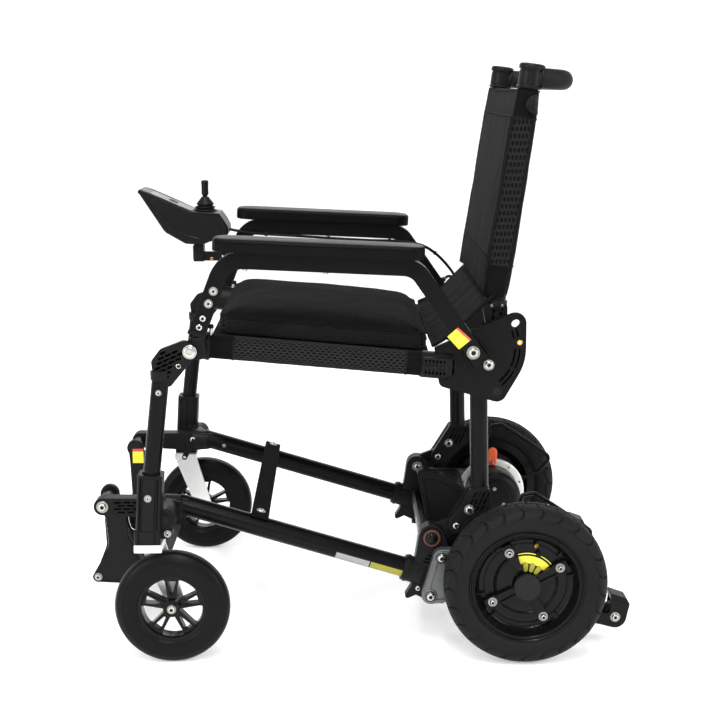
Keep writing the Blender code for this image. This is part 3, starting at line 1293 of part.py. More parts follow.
# Footrest
def build_footrest():
    """Hanger that turns on the front arms, and the board between its curved side plates."""
    tube_half = FRAME_HALF - 0.012 - GAP
    shaft = disc(FOOT_PIVOT, -tube_half, tube_half, 0.0095, sides=12, label="shaft")
    stud_end = FRAME_HALF + 0.0135
    studs = disc(FOOT_PIVOT, -stud_end, stud_end, PIN_R, sides=10, label="studs")
    bottom = FOOT_PIVOT[1] - FOOT_DROP
    y = FOOT_PIVOT[0]
    extras = [studs]
    for side in (1, -1):
        outline = belt(
            [
                (*FOOT_PIVOT, 0.0125),
                (y - 0.044, FOOT_PIVOT[1] - 0.082, -0.038),
                (*FOOTPLATE_PIVOT, 0.0085),
                (y + 0.052, bottom + 0.0045, 0.0105),
                (y + 0.070, bottom + 0.085, -0.044),
                (y + 0.016, bottom + 0.131, 0.006),
            ],
            60,
        )
        extras.append(sheet([outline], side * (HANGER_HALF - 0.005), side * HANGER_HALF, "cheek"))
        head_from = side * (FRAME_HALF + 0.012 + GAP)
        extras.append(disc(FOOT_PIVOT, head_from, side * (FRAME_HALF + 0.0155), 0.0095, sides=12, label="head"))
    reach = HANGER_HALF - 0.002
    rest = disc((y + 0.052, FOOTPLATE_PIVOT[1] - 0.0101), -reach, reach, 0.0040, sides=8, label="rest")
    hinge = disc(FOOTPLATE_PIVOT, -HANGER_HALF - 0.002, HANGER_HALF + 0.002, 0.0035, sides=8, label="hinge")
    node("foot_hanger", "foot", "black_plastic", shaft, extras + [rest, hinge])
    build_footplate()


def build_footplate():
    """Foot board: a ribbed panel hinged at the cheeks' lower front corner."""
    half = HANGER_HALF - 0.005 - 2 * GAP
    y, z = FOOTPLATE_PIVOT
    length = 0.100
    panel = block((2 * half, length, 0.0055), (0, y + length / 2 + 0.004, z - 0.0030), 0, 0.001, 1, "panel")
    barrel = disc(FOOTPLATE_PIVOT, -half, half, 0.0070, sides=10, label="barrel")
    grooves = []
    for k in range(5):
        spot = (0, y + 0.022 + 0.0165 * k, z + 0.0010)
        grooves.append(block((2 * half - 0.020, 0.0045, 0.0040), spot, label="groove"))
    bore = disc(FOOTPLATE_PIVOT, -half - 0.01, half + 0.01, 0.0035 + PIN_PLAY, sides=8, label="bore")
    node("footplate", "plate", "black_plastic", panel, [barrel], [bore] + grooves)


def build_sides():
    for side, mark in ((1, "L"), (-1, "R")):
        build_side_rail(side, mark)
        build_front_arm(side, mark)
        build_rear_knuckle(side, mark)
        build_drive_bracket(side, mark)
        build_motor(side, mark)
        build_release_lever(side, mark)
        build_anti_tip(side, mark)
        build_rear_wheel(side, mark)
        build_caster_wheel(side, mark)
        build_caster_fork(side, mark)
        build_leg_socket(side, mark)
        build_front_leg(side, mark)
        build_rear_leg(side, mark)
        build_seat_tube(side, mark)
        build_front_bracket(side, mark)
        build_side_plate(side, mark)
        build_back_post(side, mark)
        build_armrest_tube(side, mark)
        build_armrest_pad(side, mark)


def main():
    clear_scene()
    make_collections()
    make_frames()
    add_frame("battery_slide", (0, REAR_PIVOT[0], TRAY_Z), "chassis")
    build_sides()
    build_cross_strap()
    build_rear_frame()
    build_battery()
    build_seat_crossbars()
    build_cushion()
    build_push_handle()
    build_upholstery()
    build_controller()
    build_controller_cable()
    build_footrest()


main()
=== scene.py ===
"""Looks of the folding power wheelchair: finishes, fabric, tyres, fittings, stage and camera.

Metres, +Z up, +X the sitter's left, -Y the chair's front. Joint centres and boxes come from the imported
frame, and each visible piece rides on one of its bodies. Side pieces are drawn on the left, where X is
positive, and mirrored for the right.
"""

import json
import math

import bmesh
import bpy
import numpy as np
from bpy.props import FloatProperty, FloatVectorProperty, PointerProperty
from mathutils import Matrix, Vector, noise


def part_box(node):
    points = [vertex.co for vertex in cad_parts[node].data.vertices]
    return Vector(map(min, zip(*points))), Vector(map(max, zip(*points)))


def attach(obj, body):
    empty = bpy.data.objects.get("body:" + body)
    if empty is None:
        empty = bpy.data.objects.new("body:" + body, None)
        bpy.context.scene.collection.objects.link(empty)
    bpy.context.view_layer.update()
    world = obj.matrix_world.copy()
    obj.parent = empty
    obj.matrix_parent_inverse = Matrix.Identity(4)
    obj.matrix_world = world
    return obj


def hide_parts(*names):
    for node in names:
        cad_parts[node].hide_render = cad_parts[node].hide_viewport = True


bl_info = {
    "name": "Folding power wheelchair looks",
    "version": (1, 0, 0),
    "blender": (4, 5, 0),
    "location": "3D View > Sidebar > Wheelchair",
    "description": "Builds the finishes and fine pieces of a folding power wheelchair round its packed frame",
    "category": "Object",
}

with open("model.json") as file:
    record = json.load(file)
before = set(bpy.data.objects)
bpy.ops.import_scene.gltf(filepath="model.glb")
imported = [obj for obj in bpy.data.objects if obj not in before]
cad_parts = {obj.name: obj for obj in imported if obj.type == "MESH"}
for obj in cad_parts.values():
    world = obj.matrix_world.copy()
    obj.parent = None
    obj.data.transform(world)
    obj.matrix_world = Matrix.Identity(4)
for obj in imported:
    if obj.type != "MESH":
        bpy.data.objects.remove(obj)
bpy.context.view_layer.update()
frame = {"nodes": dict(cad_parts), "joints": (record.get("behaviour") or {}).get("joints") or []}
JOINT_AT = {joint["name"]: Vector(joint["pos_m"]) for joint in frame["joints"] if "pos_m" in joint}


def joint_yz(name):
    """A joint's centre in the side view, as (y, z)."""
    return (JOINT_AT[name].y, JOINT_AT[name].z)


# Joint centres from the frame, as (y, z)
AXLE = joint_yz("rear_wheel_left_spin")
REAR_PIVOT = joint_yz("rear_leg_fold")
FRONT_PIVOT = joint_yz("frame_fold")
FRONT_TOP = joint_yz("seat_level")
BACK_PIVOT = joint_yz("backrest_fold")
CASTER_AXLE = joint_yz("caster_left_spin")
FOOT_PIVOT = joint_yz("foot_hanger_swing")
PLATE_PIVOT = joint_yz("footplate_flip")
TIP_AXLE = joint_yz("anti_tip_left_spin")
LEVER_PIVOT = joint_yz("release_lever_left_turn")
STICK_PIVOT = joint_yz("joystick_pitch")
STEM_Y, CROWN_Z = joint_yz("caster_left_swivel")
REAR_TOP = (FRONT_TOP[0] - FRONT_PIVOT[0] + REAR_PIVOT[0], FRONT_TOP[1] - FRONT_PIVOT[1] + REAR_PIVOT[1])

# Side bands, outwards from the middle plane
FRAME_HALF = (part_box("side_rail_L")[0].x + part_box("side_rail_L")[1].x) / 2
WHEEL_X = JOINT_AT["rear_wheel_left_spin"].x
LEG_X = JOINT_AT["caster_left_spin"].x
ARM_X = JOINT_AT["armrest_left_lift"].x
TIP_X = JOINT_AT["anti_tip_left_spin"].x
SEAT_X = FRAME_HALF + 0.0245
PAD_X = FRAME_HALF + 0.0455
POST_X = FRAME_HALF - 0.015
BRACKET_X = FRAME_HALF + 0.0133

SIDES = ((1, "L", "left"), (-1, "R", "right"))
GAP = 0.0003
# Slots deeper than this get a near-black sheet on their floor, a painted shadow
SLOT_SHADOW_DEPTH = 0.0015
UV = "metres"
PAINTS = {}


# Outlines in the side view


def shift(point, dy, dz):
    return (point[0] + dy, point[1] + dz)


def heading(a, b):
    return math.atan2(b[1] - a[1], b[0] - a[0])


def rounds(point, *spots):
    """Circles (y, z, r) of an outline, given as (dy, dz, r) from one point."""
    return [(*shift(point, dy, dz), r) for dy, dz, r in spots]


def along_line(start, end, distance):
    """The point that far from start towards end."""
    turn = heading(start, end)
    return (start[0] + distance * math.cos(turn), start[1] + distance * math.sin(turn))


def polar(centre, radius, degrees):
    turn = math.radians(degrees)
    return (centre[0] + radius * math.cos(turn), centre[1] + radius * math.sin(turn))


def turned(points, centre, degrees):
    """Points given round the origin, turned and carried to centre."""
    c, s = math.cos(math.radians(degrees)), math.sin(math.radians(degrees))
    return [(centre[0] + y * c - z * s, centre[1] + y * s + z * c) for y, z in points]


def belt(circles, degrees=11):
    """A closed outline pulled tight round circles (y, z, r): r below 0 is an inside fillet, 0 a corner."""
    headings = []
    for (y1, z1, r1), (y2, z2, r2) in zip(circles, circles[1:] + circles[:1]):
        length = math.hypot(y2 - y1, z2 - z1)
        headings.append(math.atan2(z2 - z1, y2 - y1) + math.asin((r1 - r2) / length))
    outline = []
    for i, (y, z, r) in enumerate(circles):
        if r == 0:
            outline.append((y, z))
            continue
        turn = (headings[i] - headings[i - 1]) % math.tau
        if r < 0:
            turn -= math.tau
        steps = max(1, math.ceil(abs(turn) / math.radians(degrees)))
        for k in range(steps + 1):
            way = headings[i - 1] + turn * k / steps
            outline.append((y + r * math.sin(way), z - r * math.cos(way)))
    return outline


def ribbon(path, radii, half, degrees=8):
    """The outline of a flat bar of even width along a path whose inner corners are rounded."""

    def side(points, bends):
        start = heading(points[0], points[1])
        run = [(points[0][0] + half * math.sin(start), points[0][1] - half * math.cos(start), 0)]
        for a, b, c, radius in zip(points, points[1:], points[2:], bends):
            before = heading(a, b)
            turn = (heading(b, c) - before + math.pi) % math.tau - math.pi
            way = math.copysign(1, turn)
            back = radius * math.tan(abs(turn) / 2)
            tangent = (b[0] - back * math.cos(before), b[1] - back * math.sin(before))
            centre = (tangent[0] - way * radius * math.sin(before),
                      tangent[1] + way * radius * math.cos(before))
            run.append((*centre, radius + half if way > 0 else half - radius))
        end = heading(points[-2], points[-1])
        run.append((points[-1][0] + half * math.sin(end), points[-1][1] - half * math.cos(end), 0))
        return run

    return belt(side(path, radii) + side(path[::-1], radii[::-1]), degrees)


def ring_of(centre, radius, sides=28):
    return [polar(centre, radius, 360 * k / sides) for k in range(sides)]


def stadium(centre, along, length, width, corner=None):
    """A slot with rounded ends, its length turned by along in radians."""
    r = width / 2 if corner is None else corner
    half, side = length / 2 - r, width / 2 - r + 1e-6
    corners = [(-half, -side, r), (half, -side, r), (half, side, r), (-half, side, r)]
    return turned(belt(corners, 30), centre, math.degrees(along))


def bricks(corner, along, rows, columns, length, width, pitch, row_pitch, inside=None):
    """Brick-set rows of slots; those whose middle the test leaves out aren't drawn."""
    found = []
    for row in range(rows):
        for column in range(columns):
            run = (column + 0.5 * (row % 2)) * pitch
            rise = row * row_pitch
            y = corner[0] + run * math.cos(along) - rise * math.sin(along)
            z = corner[1] + run * math.sin(along) + rise * math.cos(along)
            if inside is None or inside(y, z):
                found.append(stadium((y, z), along, length, width, width * 0.35))
    return found


def within(outline):
    """A test for points inside a closed outline."""

    def test(y, z):
        crossings = 0
        for (y1, z1), (y2, z2) in zip(outline, outline[1:] + outline[:1]):
            if (z1 > z) != (z2 > z) and y < y1 + (z - z1) * (y2 - y1) / (z2 - z1):
                crossings += 1
        return crossings % 2 == 1

    return test


def arc_slot(centre, radius, start, end, half, steps=14):
    """A slot that follows an arc between two angles in degrees."""
    turns = [start + (end - start) * k / steps for k in range(steps + 1)]
    outer = [polar(centre, radius + half, turn) for turn in turns]
    inner = [polar(centre, radius - half, turn) for turn in turns]
    return outer + inner[::-1]


def smooth_run(points, steps):
    """A Catmull-Rom curve through the points."""
    ends = [points[0]] + list(points) + [points[-1]]
    run = []
    for i in range(len(points) - 1):
        a, b, c, d = (Vector(p) for p in ends[i : i + 4])
        for k in range(steps):
            t = k / steps
            spot = 2 * b + (c - a) * t + (2 * a - 5 * b + 4 * c - d) * t**2
            run.append(0.5 * (spot + (3 * b - a - 3 * c + d) * t**3))
    run.append(Vector(points[-1]))
    return run


# Shapes


def across(x, yz=(0.0, 0.0)):
    """Place of a shape that is turned about X: its own Z points outwards."""
    return Matrix(((0, 0, 1, x), (1, 0, 0, yz[0]), (0, 1, 0, yz[1]), (0, 0, 0, 1)))


def placed(name, data):
    """An object of the scene that holds the data."""
    obj = bpy.data.objects.new(name, data)
    bpy.context.scene.collection.objects.link(obj)
    return obj


def upright(start, end):
    """Place of a shape whose own Z runs from start to end."""
    along = Vector(end) - Vector(start)
    return Matrix.Translation(start) @ along.to_track_quat("Z", "Y").to_matrix().to_4x4()


class Piece:
    """One visible object that grows shape by shape, each in its own material."""

    def __init__(self, name, side=1):
        self.name = name
        self.side = side
        self.shape = bmesh.new()
        self.paints = []

    def take(self, part, paint):
        """Adds a shape in one material, or in a list of them by face index."""
        paints = [paint] if isinstance(paint, str) else list(paint)
        for name in paints:
            if name not in self.paints:
                self.paints.append(name)
        for face in part.faces:
            face.material_index = self.paints.index(paints[min(face.material_index, len(paints) - 1)])
            face.smooth = True
        mesh = bpy.data.meshes.new("shape")
        part.to_mesh(mesh)
        part.free()
        self.shape.from_mesh(mesh)
        bpy.data.meshes.remove(mesh)

    def finish(self, body, replaces=(), crisp=True):
        """Makes the object, puts it on its body and hides the CAD nodes that it stands for."""
        if self.side < 0:
            bmesh.ops.scale(self.shape, vec=(-1, 1, 1), verts=self.shape.verts)
            bmesh.ops.reverse_faces(self.shape, faces=self.shape.faces)
        mesh = bpy.data.meshes.new(self.name)
        self.shape.to_mesh(mesh)
        self.shape.free()
        mesh.set_sharp_from_angle(angle=math.radians(40))
        for name in self.paints:
            mesh.materials.append(paint_named(name))
        obj = placed(self.name, mesh)
        if crisp:
            normals = obj.modifiers.new("even_normals", "WEIGHTED_NORMAL")
            normals.keep_sharp = True
        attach(obj, body)
        if replaces:
            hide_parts(*replaces)
        return obj


def slab(work, outlines, depth, place, paint, edge=0.0008, steps=2, rims="both"):
    """A flat plate with soft rims; the first outline is its edge and the others are holes through it."""
    part = bmesh.new()
    part.loops.layers.uv.new(UV)
    runs = []
    for outline in outlines:
        verts = [part.verts.new((u, v, 0)) for u, v in outline]
        runs += [part.edges.new((a, b)) for a, b in zip(verts, verts[1:] + verts[:1])]
    bmesh.ops.triangle_fill(part, use_beauty=True, use_dissolve=False, edges=runs)
    grown = bmesh.ops.extrude_face_region(part, geom=part.faces[:])
    moved = [g for g in grown["geom"] if isinstance(g, bmesh.types.BMVert)]
    bmesh.ops.translate(part, vec=(0, 0, depth), verts=moved)
    bmesh.ops.recalc_face_normals(part, faces=part.faces)
    if edge:
        rim = []
        for line in part.edges:
            low, high = sorted(vert.co.z / depth for vert in line.verts)
            wanted = rims == "both" or high - low > 0.5 or (low > 0.5) == (rims == "outer")
            if wanted and len(line.link_faces) == 2 and line.calc_face_angle(0) > math.radians(35):
                rim.append(line)
        bmesh.ops.bevel(part, geom=rim, offset=edge, segments=steps, profile=0.5, affect="EDGES",
                        clamp_overlap=False)
    part.transform(place)
    layer = part.loops.layers.uv.active
    flip = place.inverted()
    for face in part.faces:
        for loop in face.loops:
            local = flip @ loop.vert.co
            loop[layer].uv = (local.x, local.y + local.z)
    bmesh.ops.recalc_face_normals(part, faces=part.faces)
    work.take(part, paint)


def plate(work, outlines, x_from, x_to, paint, edge=0.0008, steps=2, rims="both"):
    """A flat plate between two planes across X; "outer" rims are those at x_to."""
    slab(work, outlines, x_to - x_from, across(x_from), paint, edge, steps, rims)


def slotted(work, outlines, slots, x_from, x_to, depth, paint, edge=0.0008):
    """A plate whose face at x_to has blind slots sunk into it."""
    floor = x_to - math.copysign(depth, x_to - x_from)
    plate(work, outlines, x_from, floor, paint, edge, rims="inner")
    plate(work, list(outlines) + list(slots), floor, x_to, paint, min(edge, 0.0005), rims="outer")
    # Deep slots get a near-black sheet laid on their floor: painted shadow
    for slot in slots if depth > SLOT_SHADOW_DEPTH else ():
        plate(work, [slot], floor, floor + math.copysign(0.0002, x_to - x_from), "slot_floor", 0.0)


def close_rings(part, rings):
    """Joins rings of points, one on another, into a closed skin."""
    for low, high in zip(rings, rings[1:]):
        for k in range(len(low)):
            after = (k + 1) % len(low)
            part.faces.new((low[k], low[after], high[after], high[k]))
    part.faces.new(rings[0])
    part.faces.new(rings[-1])
    bmesh.ops.recalc_face_normals(part, faces=part.faces)


def pillow(work, circles, x_from, x_to, edge, paint, steps=5):
    """A plate across X with wide round rims, built by drawing its circles in towards both faces."""
    part = bmesh.new()
    layer = part.loops.layers.uv.new(UV)
    way = math.copysign(1, x_to - x_from)
    turns = np.linspace(0, math.pi / 2, steps)
    levels = [(x_from + way * edge * (1 - math.cos(t)), edge * (1 - math.sin(t))) for t in turns]
    levels += [(x_to - (x - x_from), inset) for x, inset in levels[::-1]]
    rings = []
    for x, inset in levels:
        outline = belt([(y, z, r - inset) for y, z, r in circles], 5)
        rings.append([part.verts.new((x, y, z)) for y, z in outline])
    close_rings(part, rings)
    for face in part.faces:
        for corner in face.loops:
            corner[layer].uv = (corner.vert.co.y, corner.vert.co.z + corner.vert.co.x)
    work.take(part, paint)


def box(work, size, centre, paint, tilt=0.0, edge=0.001, steps=2):
    """A block with soft edges, turned by tilt about X."""
    part = bmesh.new()
    part.loops.layers.uv.new(UV)
    bmesh.ops.create_cube(part, size=1.0)
    bmesh.ops.scale(part, vec=size, verts=part.verts)
    bmesh.ops.bevel(part, geom=part.edges[:], offset=edge, segments=steps, affect="EDGES", profile=0.5)
    part.transform(Matrix.Translation(centre) @ Matrix.Rotation(tilt, 4, "X"))
    work.take(part, paint)


def spin(work, profile, place, paint, sides=48, loop=False, hexed=()):
    """Turns (along, radius) points about the Z of place; the points numbered in hexed make six sides."""
    part = bmesh.new()
    layer = part.loops.layers.uv.new(UV)
    rings = []
    run = 0.0
    for index, (along, radius) in enumerate(profile):
        if index:
            run += math.dist(profile[index - 1], profile[index])
        if radius < 1e-7:
            rings.append(([part.verts.new(place @ Vector((0, 0, along)))] * sides, run))
            continue
        ring = []
        for k in range(sides):
            turn = math.tau * k / sides
            reach = radius
            if index in hexed:
                reach *= math.cos(math.pi / 6) / math.cos(turn % (math.pi / 3) - math.pi / 6)
            ring.append(part.verts.new(place @ Vector((reach * math.cos(turn), reach * math.sin(turn),
                                                       along))))
        rings.append((ring, run))
    girth = math.tau * max(radius for _, radius in profile)
    pairs = list(zip(rings, rings[1:]))
    if loop:
        pairs.append((rings[-1], (rings[0][0], run + math.dist(profile[-1], profile[0]))))
    for (low, start), (high, end) in pairs:
        for k in range(sides):
            after = (k + 1) % sides
            corners = {}
            for vert, u, v in (
                (low[k], k, start),
                (low[after], k + 1, start),
                (high[after], k + 1, end),
                (high[k], k, end),
            ):
                corners.setdefault(vert, (u * girth / sides, v))
            if len(corners) > 2:
                face = part.faces.new(list(corners))
                for corner in face.loops:
                    corner[layer].uv = corners[corner.vert]
    if not loop:
        for ring, _ in (rings[0], rings[-1]):
            if len(set(ring)) > 2:
                part.faces.new(ring)
    bmesh.ops.recalc_face_normals(part, faces=part.faces)
    work.take(part, paint)


def rod(work, start, end, radius, paint, edge=0.0008, sides=32):
    """A round bar with soft rims."""
    length = (Vector(end) - Vector(start)).length
    profile = [(0, 0), (0, radius - edge), (edge * 0.3, radius - edge * 0.3), (edge, radius)]
    profile += [(length - edge, radius), (length - edge * 0.3, radius - edge * 0.3), (length, radius - edge),
                (length, 0)]
    spin(work, profile, upright(start, end), paint, sides)


def bar(work, x, start, end, radius, paint, edge=0.0008, sides=32):
    """A round bar in the plane at x, between two spots of the side view."""
    rod(work, (x, *start), (x, *end), radius, paint, edge, sides)


def peg(work, yz, x_from, x_to, radius, paint, edge=0.0006, sides=32):
    """A round bar along X."""
    rod(work, (x_from, *yz), (x_to, *yz), radius, paint, edge, sides=sides)


def sweep(work, points, radius, paint, sides=16, closed=False):
    """A round bar along a run of points."""
    points = [Vector(p) for p in points]
    part = bmesh.new()
    layer = part.loops.layers.uv.new(UV)
    count = len(points)
    radii = radius if isinstance(radius, (list, tuple)) else [radius] * count
    tangents = []
    for i in range(count):
        before = points[i - 1] if closed or i else points[0]
        after = points[(i + 1) % count] if closed or i < count - 1 else points[-1]
        tangents.append((after - before).normalized())
    normal = tangents[0].orthogonal().normalized()
    rings = []
    run = 0.0
    for i, point in enumerate(points):
        if i:
            normal = tangents[i - 1].rotation_difference(tangents[i]) @ normal
            run += (point - points[i - 1]).length
        side = tangents[i].cross(normal).normalized()
        ring = []
        for k in range(sides):
            turn = math.tau * k / sides
            out = normal * math.cos(turn) * radii[i] + side * math.sin(turn) * radii[i]
            ring.append(part.verts.new(point + out))
        rings.append((ring, run))
    pairs = list(zip(rings, rings[1:])) + ([(rings[-1], rings[0])] if closed else [])
    for (low, start), (high, end) in pairs:
        for k in range(sides):
            after = (k + 1) % sides
            face = part.faces.new((low[k], low[after], high[after], high[k]))
            places = ((k, start), (k + 1, start), (k + 1, end), (k, end))
            for corner, (u, v) in zip(face.loops, places):
                corner[layer].uv = (u * math.tau * max(radii) / sides, v)
    if not closed:
        part.faces.new(rings[0][0])
        part.faces.new(rings[-1][0])
    bmesh.ops.recalc_face_normals(part, faces=part.faces)
    work.take(part, paint)


def screw(work, place, radius, height=0.003, washer=0.0, paint="zinc_steel"):
    """A domed socket screw, with its washer; place is where its seat is, Z outwards."""
    lift = 0.0
    if washer:
        rim = 0.0003
        spin(work, [(-0.001, 0), (-0.001, washer), (0.0009 - rim, washer), (0.0009, washer - rim),
                    (0.0009, 0)], place, "zinc_washer", 32)
        lift = 0.0009
    key = radius * 0.52
    profile = [(-0.001, 0), (-0.001, radius), (lift + height * 0.45, radius),
               (lift + height * 0.85, radius * 0.86), (lift + height, radius * 0.68),
               (lift + height, key * 1.04), (lift + height * 0.30, key), (lift + height * 0.25, 0)]
    spin(work, profile, place, paint, 24, hexed=(5, 6))
    # A near-black plug in the key: painted shadow for the depth of the socket
    hole = [(lift + height * 0.2, 0), (lift + height * 0.2, key * 0.9), (lift + height * 0.5, key * 0.9),
            (lift + height * 0.5, 0)]
    spin(work, hole, place, "key_hole", 12)


def side_screw(work, yz, x, radius, height=0.003, washer=0.0, paint="zinc_steel"):
    """A screw along X; a height below 0 points it inwards."""
    place = across(x, yz)
    if height < 0:
        place = place @ Matrix.Diagonal((1, 1, -1, 1))
    screw(work, place, radius, abs(height), washer, paint)


# Materials


def hex_to_linear(code):
    """Linear colour of an sRGB hex code."""
    values = [int(code[i : i + 2], 16) / 255 for i in (1, 3, 5)]
    return tuple(v / 12.92 if v <= 0.04045 else ((v + 0.055) / 1.055) ** 2.4 for v in values)


def add_node(tree, kind, settings=None, links=None):
    """Adds a node, sets its inputs or attributes, and links its inputs from other sockets."""
    node = tree.nodes.new(kind)
    for key, value in (settings or {}).items():
        if isinstance(key, int) or key in node.inputs:
            node.inputs[key].default_value = value
        else:
            setattr(node, key, value)
    for key, socket in (links or {}).items():
        tree.links.new(socket, node.inputs[key])
    return node


def linear(colour):
    """Linear colour of a hex code, or of a colour that the settings hold."""
    return hex_to_linear(colour) if isinstance(colour, str) else tuple(colour)[:3]


def new_material(name, roughness, metallic=0.0, specular=0.5, sheen=0.0):
    """A Principled material, its tree and its shader."""
    material = bpy.data.materials.new(name)
    material.use_nodes = True
    tree = material.node_tree
    shader = tree.nodes["Principled BSDF"]
    shader.inputs["Roughness"].default_value = roughness
    shader.inputs["Metallic"].default_value = metallic
    if not metallic:
        shader.inputs["Specular IOR Level"].default_value = specular
    if sheen:
        shader.inputs["Sheen Weight"].default_value = sheen
        shader.inputs["Sheen Roughness"].default_value = 0.4
    return material, tree, shader


def shaded(tree, colour, factor, dark=0.8, light=1.2):
    """A colour that goes from darker to lighter with factor, as a socket."""
    low = tuple(min(1.0, c * dark) for c in colour) + (1.0,)
    high = tuple(min(1.0, c * light) for c in colour) + (1.0,)
    mix = add_node(tree, "ShaderNodeMix", {"data_type": "RGBA"})
    mix.inputs[6].default_value = low
    mix.inputs[7].default_value = high
    tree.links.new(factor, mix.inputs[0])
    return mix.outputs[2]


def mottle(tree, spot, scale, detail):
    """Smooth noise over a place, as a socket."""
    node = add_node(tree, "ShaderNodeTexNoise", {"Scale": scale, "Detail": detail}, {"Vector": spot})
    return node.outputs["Fac"]


def roughen(tree, shader, factor, roughness, vary):
    """Lets the roughness go vary either way with factor."""
    span = {"To Min": roughness - vary, "To Max": roughness + vary}
    rough = add_node(tree, "ShaderNodeMapRange", span, {"Value": factor})
    tree.links.new(rough.outputs["Result"], shader.inputs["Roughness"])


def emboss(tree, shader, height, strength, distance):
    """Bump from a height socket, its distance in metres."""
    bump = add_node(tree, "ShaderNodeBump", {"Strength": strength, "Distance": distance}, {"Height": height})
    tree.links.new(bump.outputs["Normal"], shader.inputs["Normal"])


def calc(tree, operation, *values, clamp=False):
    """The result of a Math node as a socket; its values are sockets or numbers."""
    node = add_node(tree, "ShaderNodeMath", {"operation": operation, "use_clamp": clamp})
    for place, value in enumerate(values):
        if isinstance(value, (int, float)):
            node.inputs[place].default_value = value
        else:
            tree.links.new(value, node.inputs[place])
    return node.outputs[0]


def grainy(name, code, roughness, metallic=0.0, specular=0.5, patch=40, grain=0.8, depth=0.05, vary=0.08,
           contrast=0.15):
    """Even colour broken by faint patches (mm) and a fine grain (mm), the usual look of a coated part."""
    material, tree, shader = new_material(name, roughness, metallic, specular)
    spot = add_node(tree, "ShaderNodeTexCoord").outputs["Object"]
    cloud = mottle(tree, spot, 1000 / patch, 3.0)
    fine = mottle(tree, spot, 1000 / grain, 2.0)
    tone = shaded(tree, linear(code), cloud, 1 - contrast, 1 + contrast)
    tree.links.new(tone, shader.inputs["Base Color"])
    roughen(tree, shader, cloud, roughness, vary)
    emboss(tree, shader, fine, 0.6, depth / 1000)
    return material


def brushed(name, code, roughness, along=(1, 1, 30), grain=0.6, metallic=1.0):
    """Metal with fine lines drawn along one direction by a belt or a drawing die."""
    material, tree, shader = new_material(name, roughness, metallic)
    spot = add_node(tree, "ShaderNodeTexCoord").outputs["Object"]
    lay = add_node(tree, "ShaderNodeMapping", {"Scale": tuple(1 / a for a in along)}, {"Vector": spot})
    lines = mottle(tree, lay.outputs["Vector"], 1000 / grain, 2.0)
    tree.links.new(shaded(tree, linear(code), lines, 0.88, 1.10), shader.inputs["Base Color"])
    roughen(tree, shader, lines, roughness, 0.08)
    emboss(tree, shader, lines, 0.25, 0.00003)
    return material


def wave(tree, value, length):
    """A sine wave of the given length in metres, from 0 to 1, as a socket."""
    crest = calc(tree, "SINE", calc(tree, "MULTIPLY", value, math.tau / length))
    return calc(tree, "MULTIPLY_ADD", crest, 0.5, 0.5)


def woven(name, code, kind, pitch, rise, deep, specular=0.25, sheen=0.15, light=1.5, dark=0.35):
    """Cloth drawn from its pitches: a "plain" weave, or "mesh" and "slots" with holes set like bricks."""
    material, tree, shader = new_material(name, 0.9, 0.0, specular, sheen)
    place = add_node(tree, "ShaderNodeUVMap", {"uv_map": UV}).outputs["UV"]
    split = add_node(tree, "ShaderNodeSeparateXYZ", links={"Vector": place})
    u, v = split.outputs["X"], split.outputs["Y"]
    if kind == "plain":
        height = calc(tree, "MAXIMUM", wave(tree, u, pitch), wave(tree, v, rise))
    else:
        # Every other row is moved by half a pitch
        row = calc(tree, "MULTIPLY", v, 1 / rise)
        move = calc(tree, "MULTIPLY", calc(tree, "FLOOR", row), 0.5 * pitch)
        span = calc(tree, "MULTIPLY", calc(tree, "ADD", u, move), 1 / pitch)
        parts = []
        for value in (span, row):
            middle = calc(tree, "MULTIPLY_ADD", calc(tree, "FRACT", value), 2.0, -1.0)
            parts.append(calc(tree, "POWER", calc(tree, "ABSOLUTE", middle), 2.0))
        reach = calc(tree, "ADD", *parts)
        edge = {"From Min": 0.30, "From Max": 0.75, "interpolation_type": "SMOOTHSTEP"}
        height = add_node(tree, "ShaderNodeMapRange", edge, {"Value": reach}).outputs["Result"]
    spot = add_node(tree, "ShaderNodeTexCoord").outputs["Object"]
    cloud = mottle(tree, spot, 40.0, 3.0)
    fibre = mottle(tree, spot, 2600.0, 1.0)
    # The relief also sets the colour: painted shade in the valleys and holes, painted highlight on the
    # crests, and a random cloud of tone
    tone = calc(tree, "ADD", height, calc(tree, "MULTIPLY_ADD", cloud, 0.25, -0.12), clamp=True)
    tree.links.new(shaded(tree, linear(code), tone, dark, light), shader.inputs["Base Color"])
    emboss(tree, shader, calc(tree, "MULTIPLY_ADD", fibre, 0.2, height), 0.8, deep / 1000)
    return material


def sizes():
    return bpy.context.scene.wheelchair_sizes


def colours():
    return bpy.context.scene.wheelchair_colours


